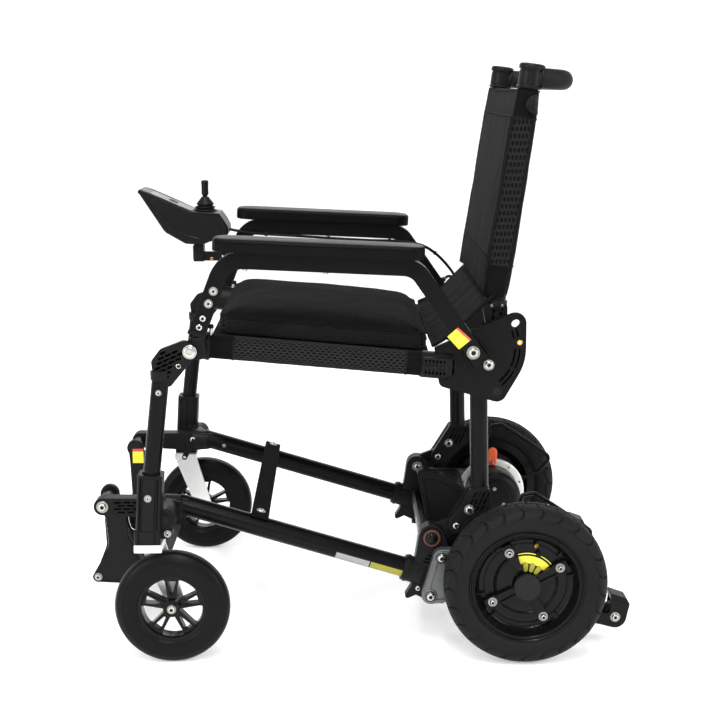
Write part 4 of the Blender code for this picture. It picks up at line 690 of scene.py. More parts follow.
# Each look: what the real surface is and what that gives the eye
LOOKS = {
    # Oven-cured polyester powder on aluminium tube: satin, a long soft highlight, faint orange peel
    "powder_tube": lambda n: grainy(n, colours().frame_black, 0.24, specular=0.08, patch=60, grain=1.4,
                                    depth=0.02, vary=0.04),
    # Powder on die-cast aluminium: the same black, coarser and duller
    "powder_casting": lambda n: grainy(n, colours().casting_black, 0.38, specular=0.08, patch=30, grain=0.7,
                                       depth=0.05, vary=0.07),
    # Anodised flat bar of the caster fork: pale, a little frosted
    "satin_aluminium": lambda n: brushed(n, "#f0f0ef", 0.42, metallic=0.75),
    # Tumbled sand-cast aluminium: grey, pebbly, soft shine
    "cast_aluminium": lambda n: grainy(n, "#606262", 0.50, 0.85, patch=25, grain=1.1, depth=0.12, vary=0.1,
                                       contrast=0.2),
    # Zinc-plated steel screws: bright, with a painted shadow in their small sockets
    "zinc_steel": lambda n: grainy(n, "#b4b3ad", 0.27, 1.0, patch=6, grain=0.5, depth=0.01, vary=0.08),
    "zinc_washer": lambda n: grainy(n, "#8f8f8b", 0.36, 1.0, patch=6, grain=0.5, depth=0.01, vary=0.08),
    # Turned brass of the valve and the lug screws
    "turned_brass": lambda n: brushed(n, "#c9a24a", 0.28, (1, 1, 1), 0.4),
    # Vulcanised tyre rubber: matt, greyish where it was handled
    "tyre_rubber": lambda n: grainy(n, "#141415", 0.60, specular=0.08, patch=35, grain=0.5, depth=0.06,
                                    vary=0.08, contrast=0.2),
    # Cast polyurethane tread: smoother than rubber, with a broad soft highlight
    "caster_tread": lambda n: grainy(n, "#0c0c0d", 0.36, specular=0.08, patch=45, grain=0.6, depth=0.02,
                                     vary=0.05),
    # Glass-filled nylon wheel centres: black, slightly glossy from the mould
    "moulded_nylon": lambda n: grainy(n, "#0b0b0c", 0.20, specular=0.12, patch=40, grain=0.9, depth=0.03,
                                      vary=0.05),
    "hub_cap": lambda n: grainy(n, "#1c1c1d", 0.46, specular=0.08, patch=20, grain=0.5, depth=0.05,
                                vary=0.05),
    # Rubber bushes, boots and cable
    "soft_rubber": lambda n: grainy(n, "#101011", 0.42, specular=0.10, patch=20, grain=0.5, depth=0.04,
                                    vary=0.06),
    "brown_bush": lambda n: grainy(n, "#4a2a20", 0.50, specular=0.3, patch=10, grain=0.6, depth=0.05,
                                   vary=0.05),
    "cable_jacket": lambda n: grainy(n, "#0d0d0d", 0.38, specular=0.10, patch=12, grain=0.8, depth=0.02,
                                     vary=0.05),
    # Injection-moulded ABS with a spark-eroded grain
    "textured_abs": lambda n: grainy(n, "#0f0f10", 0.36, specular=0.10, patch=50, grain=0.5, depth=0.08,
                                     vary=0.05),
    "smooth_abs": lambda n: grainy(n, "#0c0c0d", 0.22, specular=0.12, patch=50, grain=1.0, depth=0.01,
                                   vary=0.05),
    "battery_shell": lambda n: grainy(n, "#111211", 0.46, specular=0.04, patch=60, grain=0.6, depth=0.08,
                                      vary=0.05),
    # Integral-skin polyurethane of the arm pads: leathery, satin
    "pad_skin": lambda n: grainy(n, "#0d0d0e", 0.40, specular=0.03, patch=45, grain=1.2, depth=0.10,
                                 vary=0.06),
    # Closed-cell foam sleeve on the push bar
    "eva_foam": lambda n: grainy(n, "#151516", 0.55, specular=0.08, patch=30, grain=1.0, depth=0.20,
                                 vary=0.05),
    "orange_nylon": lambda n: grainy(n, colours().lever_orange, 0.42, specular=0.5, patch=20, grain=0.8,
                                     depth=0.03, vary=0.05, contrast=0.08),
    "motor_enamel": lambda n: grainy(n, "#0e0f10", 0.30, specular=0.12, patch=30, grain=1.2, depth=0.03,
                                     vary=0.06),
    "machined_flange": lambda n: brushed(n, "#dcdcd8", 0.34, (1, 1, 1), 0.5, 0.8),
    # Blank printed films
    "yellow_film": lambda n: grainy(n, colours().film_yellow, 0.35, specular=0.5, patch=15, grain=1.5,
                                    depth=0.01, vary=0.04, contrast=0.06),
    "silver_film": lambda n: grainy(n, "#8b8d8c", 0.34, 0.5, specular=0.3, patch=15, grain=1.5, depth=0.01,
                                    vary=0.04, contrast=0.06),
    "orange_film": lambda n: grainy(n, "#b8473a", 0.40, specular=0.3, patch=15, grain=1.5, depth=0.01,
                                    vary=0.04, contrast=0.06),
    "olive_plastic": lambda n: grainy(n, "#8a852c", 0.45, specular=0.3, patch=15, grain=1.5, depth=0.02,
                                      vary=0.04),
    # Polyester covers: flat weave on top, knitted spacer at the sides, slotted mesh sleeves.
    # The weave's real 0.6 mm pitch is drawn coarser, at 1.8 mm, to stay visible at picture size.
    "flat_weave": lambda n: woven(n, colours().fabric_black, "plain", 0.0018, 0.0022, 0.25, specular=0.05,
                                  sheen=0.01, light=1.3, dark=0.6),
    "spacer_mesh": lambda n: woven(n, "#161617", "mesh", 0.0037, 0.0030, 0.7, specular=0.08, sheen=0.02,
                                   light=1.7, dark=0.2),
    "slotted_mesh": lambda n: woven(n, "#161617", "slots", 0.0090, 0.0042, 0.9, specular=0.08, sheen=0.02,
                                    light=1.9, dark=0.15),
    "ribbed_mesh": lambda n: woven(n, "#0e0e0f", "plain", 0.0400, 0.0036, 0.5, specular=0.04, sheen=0.01,
                                   light=1.3, dark=0.7),
    # The back cover's side panels: a coarse knitted lattice of upright cells
    "cell_mesh": lambda n: woven(n, "#141415", "mesh", 0.0060, 0.0105, 1.0, specular=0.06, sheen=0.01,
                                 light=1.5, dark=0.35),
    # Rough powder of the cross strap, almost without shine
    "dull_powder": lambda n: grainy(n, "#0d0d0e", 0.80, specular=0.02, patch=30, grain=0.7, depth=0.05,
                                    vary=0.06),
    # Painted shadow in a screw's key hole: a near-black plug stands in for its depth
    "key_hole": lambda n: grainy(n, "#0a0a0a", 0.60, specular=0.2, patch=5, grain=0.5, depth=0.02, vary=0.04),
    # Painted shadow: near-black sheets on the floor of the castings' deep slots and round the bracket's
    # bolts, which no light reaches
    "slot_floor": lambda n: grainy(n, "#020202", 0.90, specular=0.02, patch=5, grain=0.5, depth=0.02,
                                   vary=0.04),
    "piping": lambda n: woven(n, "#0e0e0f", "plain", 0.0012, 0.0012, 0.15, specular=0.08, sheen=0.01,
                              light=1.2, dark=0.8),
}


def paint_named(name):
    """The material of a look, made at its first use."""
    if name not in PAINTS:
        PAINTS[name] = LOOKS[name](name)
    return PAINTS[name]


# Wheels

TREAD_BLOCKS = 25
HUB_R = 0.0195


def tyre_profile():
    """Half of the tyre's carcass from its bead to the middle of the tread, as (along, radius)."""
    spots = [
        (0.0185, 0.0853, 0),
        (0.0235, 0.0882, 0),
        (0.0275, 0.0930, 0),
        (0.0292, 0.0990, 0),
        (0.0296, 0.1045, 0),
        (0.0286, 0.1095, 0),
        (0.0262, 0.1142, 0),
        (0.0222, 0.1183, 0),
        (0.0165, 0.1213, 0),
        (0.0085, 0.1230, 0),
        (0.0000, 0.1235, 0),
    ]
    return [(p.x, p.y) for p in smooth_run(spots, 4)]


def tread_relief(around, share):
    """How proud the tread stands: around in block pitches, share 0 at the sidewall and 1 at the middle."""
    lean = 0.30 * np.sin(share * 5.2) + 0.55 * share
    phase = (around + lean) % 1.0
    from_groove = np.minimum(phase, 1 - phase)
    groove = np.clip((from_groove - 0.024) / 0.026, 0, 1)
    scallop = 0.05 + 0.16 * np.abs(2 * phase - 1) ** 3.0
    shoulder = np.clip((share - scallop) / 0.05, 0, 1)
    # A thin sipe crosses each block and stops short of the middle
    sipe = 1 - 0.55 * np.clip(1 - np.abs(phase - 0.55 - 0.25 * share) / 0.022, 0,
                              1) * (share > 0.34) * (share < 0.78)
    middle = np.clip((0.985 - share - 0.05 * np.sin(around * math.tau)) / 0.03, 0, 1)
    steps = groove * shoulder * middle
    return steps * steps * (3 - 2 * steps) * sipe


def build_tyre(work, depth):
    """The wide pneumatic tyre: smooth sidewalls and leaf-shaped shoulder blocks."""
    half = tyre_profile()
    run = half + [(-x, r) for x, r in half[-2::-1]]
    profile = np.array(run)
    count = len(half)
    distance = np.concatenate([[0], np.cumsum(np.hypot(*np.diff(np.array(half), axis=0).T))])
    start = distance[17]
    share = np.clip((distance - start) / (distance[-1] - start), 0, 1)
    share = np.concatenate([share, share[-2::-1]])
    inner_half = np.arange(len(run)) >= count
    tangent = np.gradient(profile, axis=0)
    normal = np.stack([-tangent[:, 1], tangent[:, 0]], axis=1)
    normal /= np.linalg.norm(normal, axis=1)[:, None]
    away = ((profile - np.array([0, 0.100])) * normal).sum(axis=1)
    normal[away < 0] *= -1
    steps = TREAD_BLOCKS * 22
    around = np.arange(steps) / steps * TREAD_BLOCKS
    grid_a, grid_s = np.meshgrid(around, share, indexing="ij")
    relief = tread_relief(grid_a + 0.5 * inner_half[None, :], grid_s) * (grid_s > 0)
    ridge = np.zeros(len(run))
    radius = profile[:, 1]
    side_part = np.abs(profile[:, 0]) > 0.02
    ridge[side_part] = 0.0006 * np.exp(-(((radius[side_part] - 0.1065) / 0.0006) ** 2))
    lift = relief * depth + ridge[None, :]
    along = profile[:, 0][None, :] + lift * normal[:, 0][None, :]
    reach = radius[None, :] + lift * normal[:, 1][None, :]
    turn = (np.arange(steps) / steps * math.tau)[:, None]
    verts = np.stack(
        [WHEEL_X + along, AXLE[0] + reach * np.cos(turn), AXLE[1] + reach * np.sin(turn)], axis=2
    ).reshape(-1, 3)
    width = len(run)
    rows = np.arange(steps)
    columns = np.arange(width)
    a = rows[:, None] * width + columns[None, :]
    b = ((rows + 1) % steps)[:, None] * width + columns[None, :]
    faces = np.stack([a, np.roll(a, -1, axis=1), np.roll(b, -1, axis=1), b], axis=2).reshape(-1, 4)
    mesh = bpy.data.meshes.new("tyre")
    mesh.from_pydata(verts.tolist(), [], faces.tolist())
    part = bmesh.new()
    part.loops.layers.uv.new(UV)
    part.from_mesh(mesh)
    bpy.data.meshes.remove(mesh)
    bmesh.ops.recalc_face_normals(part, faces=part.faces)
    work.take(part, "tyre_rubber")


def build_rear_rim(work, coloured):
    """Dished rim, its double lip, the four bolted spokes over the drum, hub cap and valve."""
    place = across(WHEEL_X, AXLE)
    profile = [(-0.0240, 0.0740), (-0.0240, 0.0880), (-0.0195, 0.0850), (0.0195, 0.0850), (0.0240, 0.0882),
               (0.0250, 0.0876), (0.0252, 0.0864), (0.0240, 0.0852), (0.0225, 0.0846), (0.0225, 0.0828),
               (0.0236, 0.0820), (0.0238, 0.0806), (0.0228, 0.0795), (0.0180, 0.0785), (0.0120, 0.0762),
               (0.0070, 0.0728), (0.0055, 0.0700), (0.0052, 0.0655), (0.0066, 0.0648), (0.0066, 0.0636),
               (0.0048, 0.0628), (0.0040, 0.0545), (0.0050, 0.0500), (0.0085, 0.0485), (0.0095, 0.0472),
               (0.0090, 0.0460), (0.0080, 0.0452), (0.0080, 0.0250), (0.0100, 0.0215), (-0.0200, 0.0200),
               (-0.0050, 0.0600)]
    spin(work, profile, place, "moulded_nylon", 120, loop=True)
    # Brake drum's rim and the rear face of the hub
    spin(work, [(-0.020, 0.009), (-0.020, HUB_R), (0.0245, HUB_R), (0.0245, 0.009)], place, "moulded_nylon",
         48, loop=True)
    cap = [(0.0200, 0), (0.0200, 0.0205), (0.0262, 0.0205), (0.0275, 0.0201), (0.0281, 0.0193),
           (0.0283, 0.0180), (0.0280, 0.0172), (0.0286, 0.0165), (0.0290, 0.0)]
    spin(work, cap, place, "hub_cap", 64)

    def raised(circles, angle, low, high, paint="moulded_nylon", edge=0.0006):
        outline = turned(belt(circles), AXLE, angle)
        plate(work, [outline], WHEEL_X + low, WHEEL_X + high, paint, edge)

    for k in range(4):
        angle = 28 + 90 * k
        near, far = 0.0170, 0.0585
        raised([(near, 0, 0.0058), (far, 0, 0.0088)], angle, 0.001, 0.0132)
        for way in (-1, 1):
            raised([(near, way * 0.0058, 0.0013), (far - 0.010, way * 0.0066, 0.0013)], angle, 0.008, 0.0168)
        raised([(far, 0, 0.0090), (far + 0.0090, -0.005, 0.0028), (far + 0.0090, 0.005, 0.0028)], angle,
               0.001, 0.0122, edge=0.0008)
        side_screw(work, polar(AXLE, 0.058, angle), WHEEL_X + 0.0132, 0.0050, 0.0050, 0.0072)
        for offset in (-16, 16):
            raised([(0.0655, 0, 0.0011), (0.0790, 0, 0.0011)], angle + offset, 0.003, 0.0105)
    stem = polar(AXLE, 0.0600, 77)
    tip = polar(AXLE, 0.0690, 78)
    rod(work, (WHEEL_X + 0.008, *stem), (WHEEL_X + 0.0150, *tip), 0.0026, "turned_brass", 0.0006, sides=16)
    rod(work, (WHEEL_X + 0.010, *polar(AXLE, 0.0630, 77.3)), (WHEEL_X + 0.0125, *polar(AXLE, 0.0655, 77.6)),
        0.0034, "turned_brass", 0.0005, sides=16)
    peg(work, polar(AXLE, 0.0510, 69), WHEEL_X + 0.005, WHEEL_X + 0.0125, 0.0040, "soft_rubber", 0.0012)
    if coloured:
        outer = [polar(AXLE, 0.0500, a) for a in np.linspace(106, 40, 20)]
        inner = [polar(AXLE, 0.0330, a) for a in np.linspace(40, 106, 12)]
        plate(work, [outer + inner], WHEEL_X + 0.0078, WHEEL_X + 0.0084, "yellow_film", 0.0001, 1)
        for angle in (53, 73, 93):
            raised([(0.0235, 0, 0.0030), (0.0310, 0, 0.0040)], angle, 0.0078, 0.0115, "olive_plastic")


def build_rear_wheel(side, mark, word, depth):
    """Rim and treaded tyre of one drive wheel."""
    rim = Piece("rear_wheel_rim_" + mark, side)
    build_rear_rim(rim, side > 0)
    rim.finish("rear_wheel_" + word, ["rear_rim_" + mark])
    tyre = Piece("rear_wheel_tyre_" + mark, side)
    build_tyre(tyre, depth)
    tyre.finish("rear_wheel_" + word, ["rear_tyre_" + mark], crisp=False)


def build_caster(side, mark, word):
    """Five double spokes inside a slim rim, and a smooth fat tyre."""
    place = across(LEG_X, CASTER_AXLE)
    rim = Piece("caster_wheel_rim_" + mark, side)
    profile = [(-0.0130, 0.0475), (-0.0142, 0.0490), (-0.0142, 0.0530), (0.0142, 0.0530), (0.0142, 0.0492),
               (0.0134, 0.0476), (0.0115, 0.0470), (0.0090, 0.0462), (-0.0090, 0.0462)]
    spin(rim, profile, place, "moulded_nylon", 96, loop=True)
    hub = [(-0.0195, 0.0062), (-0.0195, 0.0120), (-0.0150, 0.0138), (0.0120, 0.0142), (0.0155, 0.0134),
           (0.0165, 0.0120), (0.0165, 0.0062)]
    spin(rim, hub, place, "moulded_nylon", 48, loop=True)
    for k in range(5):
        angle = 90 + 72 * k
        outline = belt([(0.0085, -0.0028, 0.0030), (0.0465, -0.0085, 0.0028), (0.0465, 0.0085, 0.0028),
                        (0.0085, 0.0028, 0.0030)])
        window = belt([(0.0205, -0.0006, 0.0010), (0.0415, -0.0040, 0.0022), (0.0415, 0.0040, 0.0022),
                       (0.0205, 0.0006, 0.0010)])
        loops = [turned(line, CASTER_AXLE, angle) for line in (outline, window)]
        plate(rim, loops, LEG_X - 0.0085, LEG_X + 0.0095, "moulded_nylon", 0.0016, 3)
        rim_web = belt([(0.0440, -0.0100, 0.0020), (0.0480, -0.0120, 0.0016), (0.0480, 0.0120, 0.0016),
                        (0.0440, 0.0100, 0.0020)])
        plate(rim, [turned(rim_web, CASTER_AXLE, angle)], LEG_X - 0.0080, LEG_X + 0.0088, "moulded_nylon",
              0.0010)
    rim.finish("caster_wheel_" + word, ["caster_rim_" + mark])
    tyre = Piece("caster_wheel_tyre_" + mark, side)
    half = [(0.0135, 0.0528), (0.0150, 0.0532), (0.0172, 0.0560), (0.0186, 0.0610), (0.0190, 0.0670),
            (0.0187, 0.0730), (0.0178, 0.0778), (0.0172, 0.0790), (0.0166, 0.0793), (0.0158, 0.0812),
            (0.0136, 0.0846), (0.0100, 0.0872), (0.0055, 0.0886), (0.0, 0.0890)]
    smooth = [(p.x, p.y) for p in smooth_run([(a, r, 0) for a, r in half], 3)]
    spin(tyre, smooth + [(-a, r) for a, r in smooth[-2::-1]], place, "caster_tread", 128, loop=True)
    tyre.finish("caster_wheel_" + word, ["caster_tyre_" + mark], crisp=False)


def build_fork(side, mark, word):
    """One-sided fork: crown block, flat arm inboard of the wheel, axle and its ringed cap."""
    fork = Piece("caster_fork_arm_" + mark, side)
    arm_out = LEG_X - 0.019 - 0.0035
    arm_in = arm_out - 0.006
    crown = (LEG_X + 0.021 + arm_in - 0.0005) / 2
    box(fork, (LEG_X + 0.021 - arm_in + 0.0005, 0.042, 0.012), (crown, STEM_Y, CROWN_Z + 0.006),
        "satin_aluminium", 0, 0.0012, 3)
    outline = belt([(STEM_Y - 0.0045, CROWN_Z + 0.0035, 0.0145), (*CASTER_AXLE, 0.0150),
                    (STEM_Y + 0.0100, CROWN_Z + 0.0035, 0.0100)])
    low = [(y, min(z, CROWN_Z + 0.0119)) for y, z in outline]
    plate(fork, [low], arm_in, arm_out, "satin_aluminium", 0.0009)
    rod(fork, (LEG_X, STEM_Y, CROWN_Z + 0.008), (LEG_X, STEM_Y, CROWN_Z + 0.052), 0.006, "zinc_steel")
    peg(fork, CASTER_AXLE, arm_in + 0.0010, LEG_X + 0.0170, 0.0060, "zinc_steel")
    ring = [(0.0165, 0), (0.0165, 0.0103), (0.0184, 0.0103), (0.0190, 0.0096), (0.0190, 0.0082),
            (0.0182, 0.0078), (0.0182, 0)]
    spin(fork, ring, across(LEG_X, CASTER_AXLE), "moulded_nylon", 40)
    side_screw(fork, CASTER_AXLE, LEG_X + 0.0180, 0.0056, 0.0026, 0.0072)
    side_screw(fork, CASTER_AXLE, arm_in + 0.0009, 0.0075, -0.0040)
    fork.finish("caster_swivel_" + word, ["caster_fork_" + mark])


# Lower frame

RAIL_FRONT = shift(FRONT_PIVOT, 0.037, -0.003)
RAIL_REAR = shift(REAR_PIVOT, -0.052, -0.082)
RAIL_R = 0.016
COLLAR_L = 0.032
KNUCKLE_HALF = 0.013
TONGUE_HALF = 0.005
SHAFT_END = shift(REAR_PIVOT, -0.038, -0.020)
BRACKET_TOP = shift(REAR_PIVOT, -0.0235, -0.047)
BRACKET_LOW = shift(REAR_PIVOT, -0.040, -0.1104)
HOOK_BOLT = shift(REAR_PIVOT, -0.059, -0.1045)
HOOK_TIP = shift(REAR_PIVOT, -0.075, -0.119)
TIP_ROOT = shift(BRACKET_LOW, -0.006, -0.0105)
TIP_END = shift(TIP_AXLE, -0.030, -0.001)


def film_on_tube(work, start, end, radius, low, high, paint):
    """A thin film wrapped on the outer side of a tube, between two angles measured from straight out."""
    place = upright(start, end)
    length = (Vector(end) - Vector(start)).length
    out = place.inverted().to_3x3() @ Vector((1, 0, 0))
    zero = math.atan2(out.y, out.x)
    part = bmesh.new()
    part.loops.layers.uv.new(UV)
    rows = []
    for reach in (radius + 0.00018, radius - 0.0002):
        for k in range(13):
            turn = zero + math.radians(low + (high - low) * k / 12)
            spot = Vector((reach * math.cos(turn), reach * math.sin(turn), 0))
            rows.append([part.verts.new(place @ (spot + Vector((0, 0, z)))) for z in (0, length)])
    loop = list(range(13)) + list(range(25, 12, -1))
    for a, b in zip(loop, loop[1:] + loop[:1]):
        part.faces.new((rows[a][0], rows[b][0], rows[b][1], rows[a][1]))
    for end_at in (0, 1):
        for k in range(12):
            part.faces.new((rows[k][end_at], rows[k + 1][end_at], rows[14 + k][end_at], rows[13 + k][end_at]))
    bmesh.ops.recalc_face_normals(part, faces=part.faces)
    work.take(part, paint)


def build_rail(side, mark):
    """Slanted lower tube, with two blank films on the left one."""
    rail = Piece("lower_rail_" + mark, side)
    bar(rail, FRAME_HALF, RAIL_FRONT, RAIL_REAR, RAIL_R, "powder_tube", 0.0006, sides=48)
    if side > 0:
        for start, end, low, high, paint in ((0.235, 0.290, 5, 68, "silver_film"),
                                             (0.292, 0.345, 5, 68, "olive_plastic")):
            spots = [(FRAME_HALF, *along_line(RAIL_FRONT, RAIL_REAR, d)) for d in (start, end)]
            film_on_tube(rail, *spots, RAIL_R, low, high, paint)
    side_screw(rail, along_line(RAIL_FRONT, RAIL_REAR, 0.016), FRAME_HALF - RAIL_R + 0.0006, 0.0032, -0.0014)
    rail.finish("chassis", ["side_rail_" + mark])


def build_front_arm(side, mark):
    """Slotted cast beam to the footrest, with the ribbed collar on the rail and the latch lever inside."""
    arm = Piece("front_arm_casting_" + mark, side)
    x_in, x_out = FRAME_HALF - 0.012, FRAME_HALF + 0.012
    outline = belt([(*FOOT_PIVOT, 0.0138), *rounds(FRONT_PIVOT, (-0.004, -0.004, 0.0135),
                                                   (0.022, 0.000, 0.0150))])
    slots = []
    for row in range(4):
        for column in range(4):
            y = FOOT_PIVOT[0] + 0.0235 + 0.0145 * column + 0.0060 * (row % 2)
            slots.append(stadium((y, FOOT_PIVOT[1] + 0.0068 - 0.0052 * row), 0, 0.0110, 0.0026, 0.0009))
    slotted(arm, [outline], slots, x_in, x_out, 0.0040, "powder_casting", 0.0012)
    side_screw(arm, FOOT_PIVOT, x_out - 0.001, 0.0060, 0.0012, 0.0088)
    # The rail's end runs on into a short collar with louvres
    spots = [(FRAME_HALF, *along_line(RAIL_FRONT, RAIL_REAR, d)) for d in (-0.024, 0.006)]
    rod(arm, *spots, RAIL_R - 0.00005, "powder_tube", 0.0002, sides=48)
    collar = from_axle(-545.0, 230.5)
    rod(arm, (FRAME_HALF, collar[0] - 0.0155, collar[1] + 0.0008),
        (FRAME_HALF, collar[0] + 0.0150, collar[1] - 0.0010), RAIL_R + 0.0018, "powder_casting", 0.0016,
        sides=48)
    louvres = [stadium(shift(collar, 0.0005, 0.0084 - 0.0056 * k), -0.12, 0.0150, 0.0026) for k in range(4)]
    pad = belt(rounds(collar, (-0.0100, -0.0120, 0.003), (0.0105, -0.0135, 0.003), (0.0115, 0.0095, 0.003),
                      (-0.0100, 0.0125, 0.003)))
    slotted(arm, [pad], louvres, FRAME_HALF + 0.010, FRAME_HALF + 0.0200, 0.003, "powder_casting", 0.0010)
    peg(arm, FRONT_PIVOT, FRAME_HALF, LEG_X - 0.019 - GAP, 0.0155, "powder_casting", 0.001)
    peg(arm, FRONT_PIVOT, FRAME_HALF, LEG_X + 0.0075, 0.0055, "zinc_steel")
    lever_x = FRAME_HALF - 0.0155
    top = shift(FRONT_PIVOT, -0.005, 0.004)
    grip = shift(FRONT_PIVOT, -0.0216, -0.0303)
    plate(arm, [belt([(*top, 0.0072), (*grip, 0.0048)]), ring_of(grip, 0.0026)], lever_x, x_in + 0.001,
          "powder_casting", 0.0007)
    side_screw(arm, top, lever_x + 0.0004, 0.0052, -0.0022)
    wire = smooth_run([(lever_x + 0.001, *grip), (lever_x, *shift(grip, -0.014, -0.0085)),
                       (lever_x + 0.001, *shift(grip, -0.029, -0.0125)),
                       (lever_x + 0.004, *shift(grip, -0.0395, -0.0120)),
                       (x_in + 0.003, *shift(grip, -0.0440, -0.0010)),
                       (x_in + 0.004, *shift(grip, -0.0455, 0.012))], 4)
    sweep(arm, wire, 0.0005, "zinc_steel", 6)
    arm.finish("chassis", ["front_arm_" + mark])


def build_strap():
    """Flat bar across both rails, with a screw at each end."""
    slope = heading(RAIL_FRONT, RAIL_REAR)
    spot = along_line(RAIL_FRONT, RAIL_REAR, 0.103)
    lift = RAIL_R + GAP + 0.004
    centre = (0, spot[0] - lift * math.sin(slope), spot[1] + lift * math.cos(slope))
    strap = Piece("cross_strap_bar")
    box(strap, (2 * FRAME_HALF + 0.026, 0.028, 0.008), centre, "dull_powder", slope, 0.0014, 3)
    out = Vector((0, -math.sin(slope), math.cos(slope)))
    for x in (-FRAME_HALF, FRAME_HALF):
        seat = Vector((x, *centre[1:])) + out * 0.004
        screw(strap, upright(seat, seat + out), 0.0048, 0.0026, 0.0072)
    strap.finish("chassis", ["cross_strap"])


def build_knuckle(side, mark):
    """Rear end of the rail: rubber-bushed eye, the rear leg's tongue, hook foot and anti-tip socket."""
    work = Piece("rear_knuckle_casting_" + mark, side)
    x_in, x_out = FRAME_HALF - KNUCKLE_HALF, FRAME_HALF + KNUCKLE_HALF
    outline = belt([(*SHAFT_END, 0.020), (*HOOK_BOLT, 0.0115), (*BRACKET_LOW, 0.0145),
                    (*BRACKET_TOP, 0.0135)])
    slots = [stadium(shift(SHAFT_END, 0.002 - 0.0035 * k, -0.032 - 0.0052 * k), -0.3, 0.016, 0.0024,
                     0.0008) for k in range(3)]
    slotted(work, [outline], slots, x_in, x_out, 0.0025, "powder_casting", 0.0014)
    bar(work, FRAME_HALF, along_line(RAIL_REAR, RAIL_FRONT, COLLAR_L), RAIL_REAR, RAIL_R + 0.0045,
        "powder_casting", 0.0012, sides=48)
    band = along_line(RAIL_REAR, RAIL_FRONT, COLLAR_L - 0.004)
    bar(work, FRAME_HALF, band, along_line(RAIL_REAR, RAIL_FRONT, COLLAR_L - 0.009), RAIL_R + 0.0058,
        "powder_casting", 0.0008, sides=48)
    tongue = belt([(*SHAFT_END, 0.017), (*REAR_PIVOT, 0.0125)])
    plate(work, [tongue], FRAME_HALF - TONGUE_HALF, FRAME_HALF + TONGUE_HALF, "powder_casting", 0.001)
    for x, way in ((FRAME_HALF + 0.0160, 1), (FRAME_HALF - 0.0160, -1)):
        side_screw(work, REAR_PIVOT, x, 0.0056, 0.0026 * way)
    peg(work, REAR_PIVOT, FRAME_HALF - 0.0165, FRAME_HALF + 0.0165, 0.0055, "zinc_steel")
    hook = belt([(*HOOK_BOLT, 0.0105), (*HOOK_TIP, 0.004)])
    plate(work, [hook], x_in + 0.004, x_out - 0.004, "powder_casting", 0.001)
    side_screw(work, HOOK_BOLT, x_out - 0.001, 0.0042, 0.0022, 0.0062)
    boss = [(0, 0), (0, 0.0158), (0.0165, 0.0158), (0.0180, 0.0150), (0.0182, 0.0142), (0.0172, 0.0138),
            (0.0172, 0)]
    spin(work, boss, across(FRAME_HALF, SHAFT_END), "powder_casting", 48)
    side_screw(work, SHAFT_END, x_in + 0.0004, 0.0058, -0.0030, 0.0094)
    bush = [(0.010, 0), (0.010, 0.0136), (0.0184, 0.0136), (0.0190, 0.0128), (0.0190, 0.0112),
            (0.0180, 0.0104), (0.0180, 0)]
    spin(work, bush, across(FRAME_HALF, SHAFT_END), "brown_bush", 48)
    plug = [(0.010, 0), (0.010, 0.0098), (0.0186, 0.0098), (0.0206, 0.0084), (0.0222, 0.0056),
            (0.0228, 0.0026), (0.0230, 0)]
    spin(work, plug, across(FRAME_HALF, SHAFT_END), "smooth_abs", 40)
    bar(work, TIP_X, TIP_ROOT, along_line(TIP_ROOT, TIP_END, 0.030), 0.0120, "powder_casting", 0.0010,
        sides=40)
    work.finish("chassis", ["rear_knuckle_" + mark])


def build_bracket(side, mark):
    """Grey cast bracket from the knuckle to the axle, its bolts and the motor's wire guard."""
    work = Piece("drive_bracket_casting_" + mark, side)
    x_in, x_out = BRACKET_X, BRACKET_X + 0.0205
    outline = belt([(*BRACKET_LOW, 0.0140), (*AXLE, 0.036), (*BRACKET_TOP, 0.0125)])
    mid_y, mid_z = (BRACKET_LOW[0] + AXLE[0]) / 2, (BRACKET_LOW[1] + AXLE[1]) / 2
    corners = ((-0.028, -0.008, 0.004), (0.014, 0.004, 0.009), (-0.024, 0.022, 0.004))
    window = belt([(mid_y + dy, mid_z + dz, r) for dy, dz, r in corners])
    plate(work, [outline, window], x_in, x_out - 0.0025, "cast_aluminium", 0.0015, 3)
    rim = belt([(*BRACKET_LOW, 0.0118), (*AXLE, 0.034), (*BRACKET_TOP, 0.0103)])
    inner = belt([(*shift(BRACKET_LOW, 0.0050, 0.002), 0.0085), (*AXLE, 0.0300),
                  (*shift(BRACKET_TOP, 0.0040, -0.002), 0.0072)])
    plate(work, [rim, inner], x_in + 0.010, x_out, "cast_aluminium", 0.0010)
    for spot in (BRACKET_TOP, BRACKET_LOW):
        spin(work, [(0.006, 0), (0.006, 0.0108), (0.0200, 0.0104), (0.0208, 0.0096), (0.0208, 0)],
             across(x_in, spot), "cast_aluminium", 40)
        # Near-black disc round the bolt head: painted shadow in its recess
        peg(work, spot, x_out - 0.001, x_out + 0.0006, 0.0086, "slot_floor", 0.0002)
        side_screw(work, spot, x_out + 0.0005, 0.0062, 0.0032, 0.0070)
    spin(work, [(0.006, 0.009), (0.006, 0.0240), (0.0195, 0.0235), (0.0205, 0.0225), (0.0205, 0.009)],
         across(x_in, AXLE), "cast_aluminium", 48, loop=True)
    x = BRACKET_X + 0.0035
    route = [(-0.014, 0.024), (-0.013, 0.076), (-0.002, 0.118), (0.004, 0.1235), (0.013, 0.1250),
             (0.022, 0.1235), (0.060, 0.0990), (0.101, 0.0700), (0.108, 0.0620), (0.107, 0.0540),
             (0.098, 0.0430), (0.082, 0.0300), (0.022, 0.008)]
    sweep(work, smooth_run([(x, AXLE[0] + dy, AXLE[1] + dz) for dy, dz in route], 5), 0.0033, "powder_tube",
          14)
    work.finish("chassis", ["drive_bracket_" + mark])


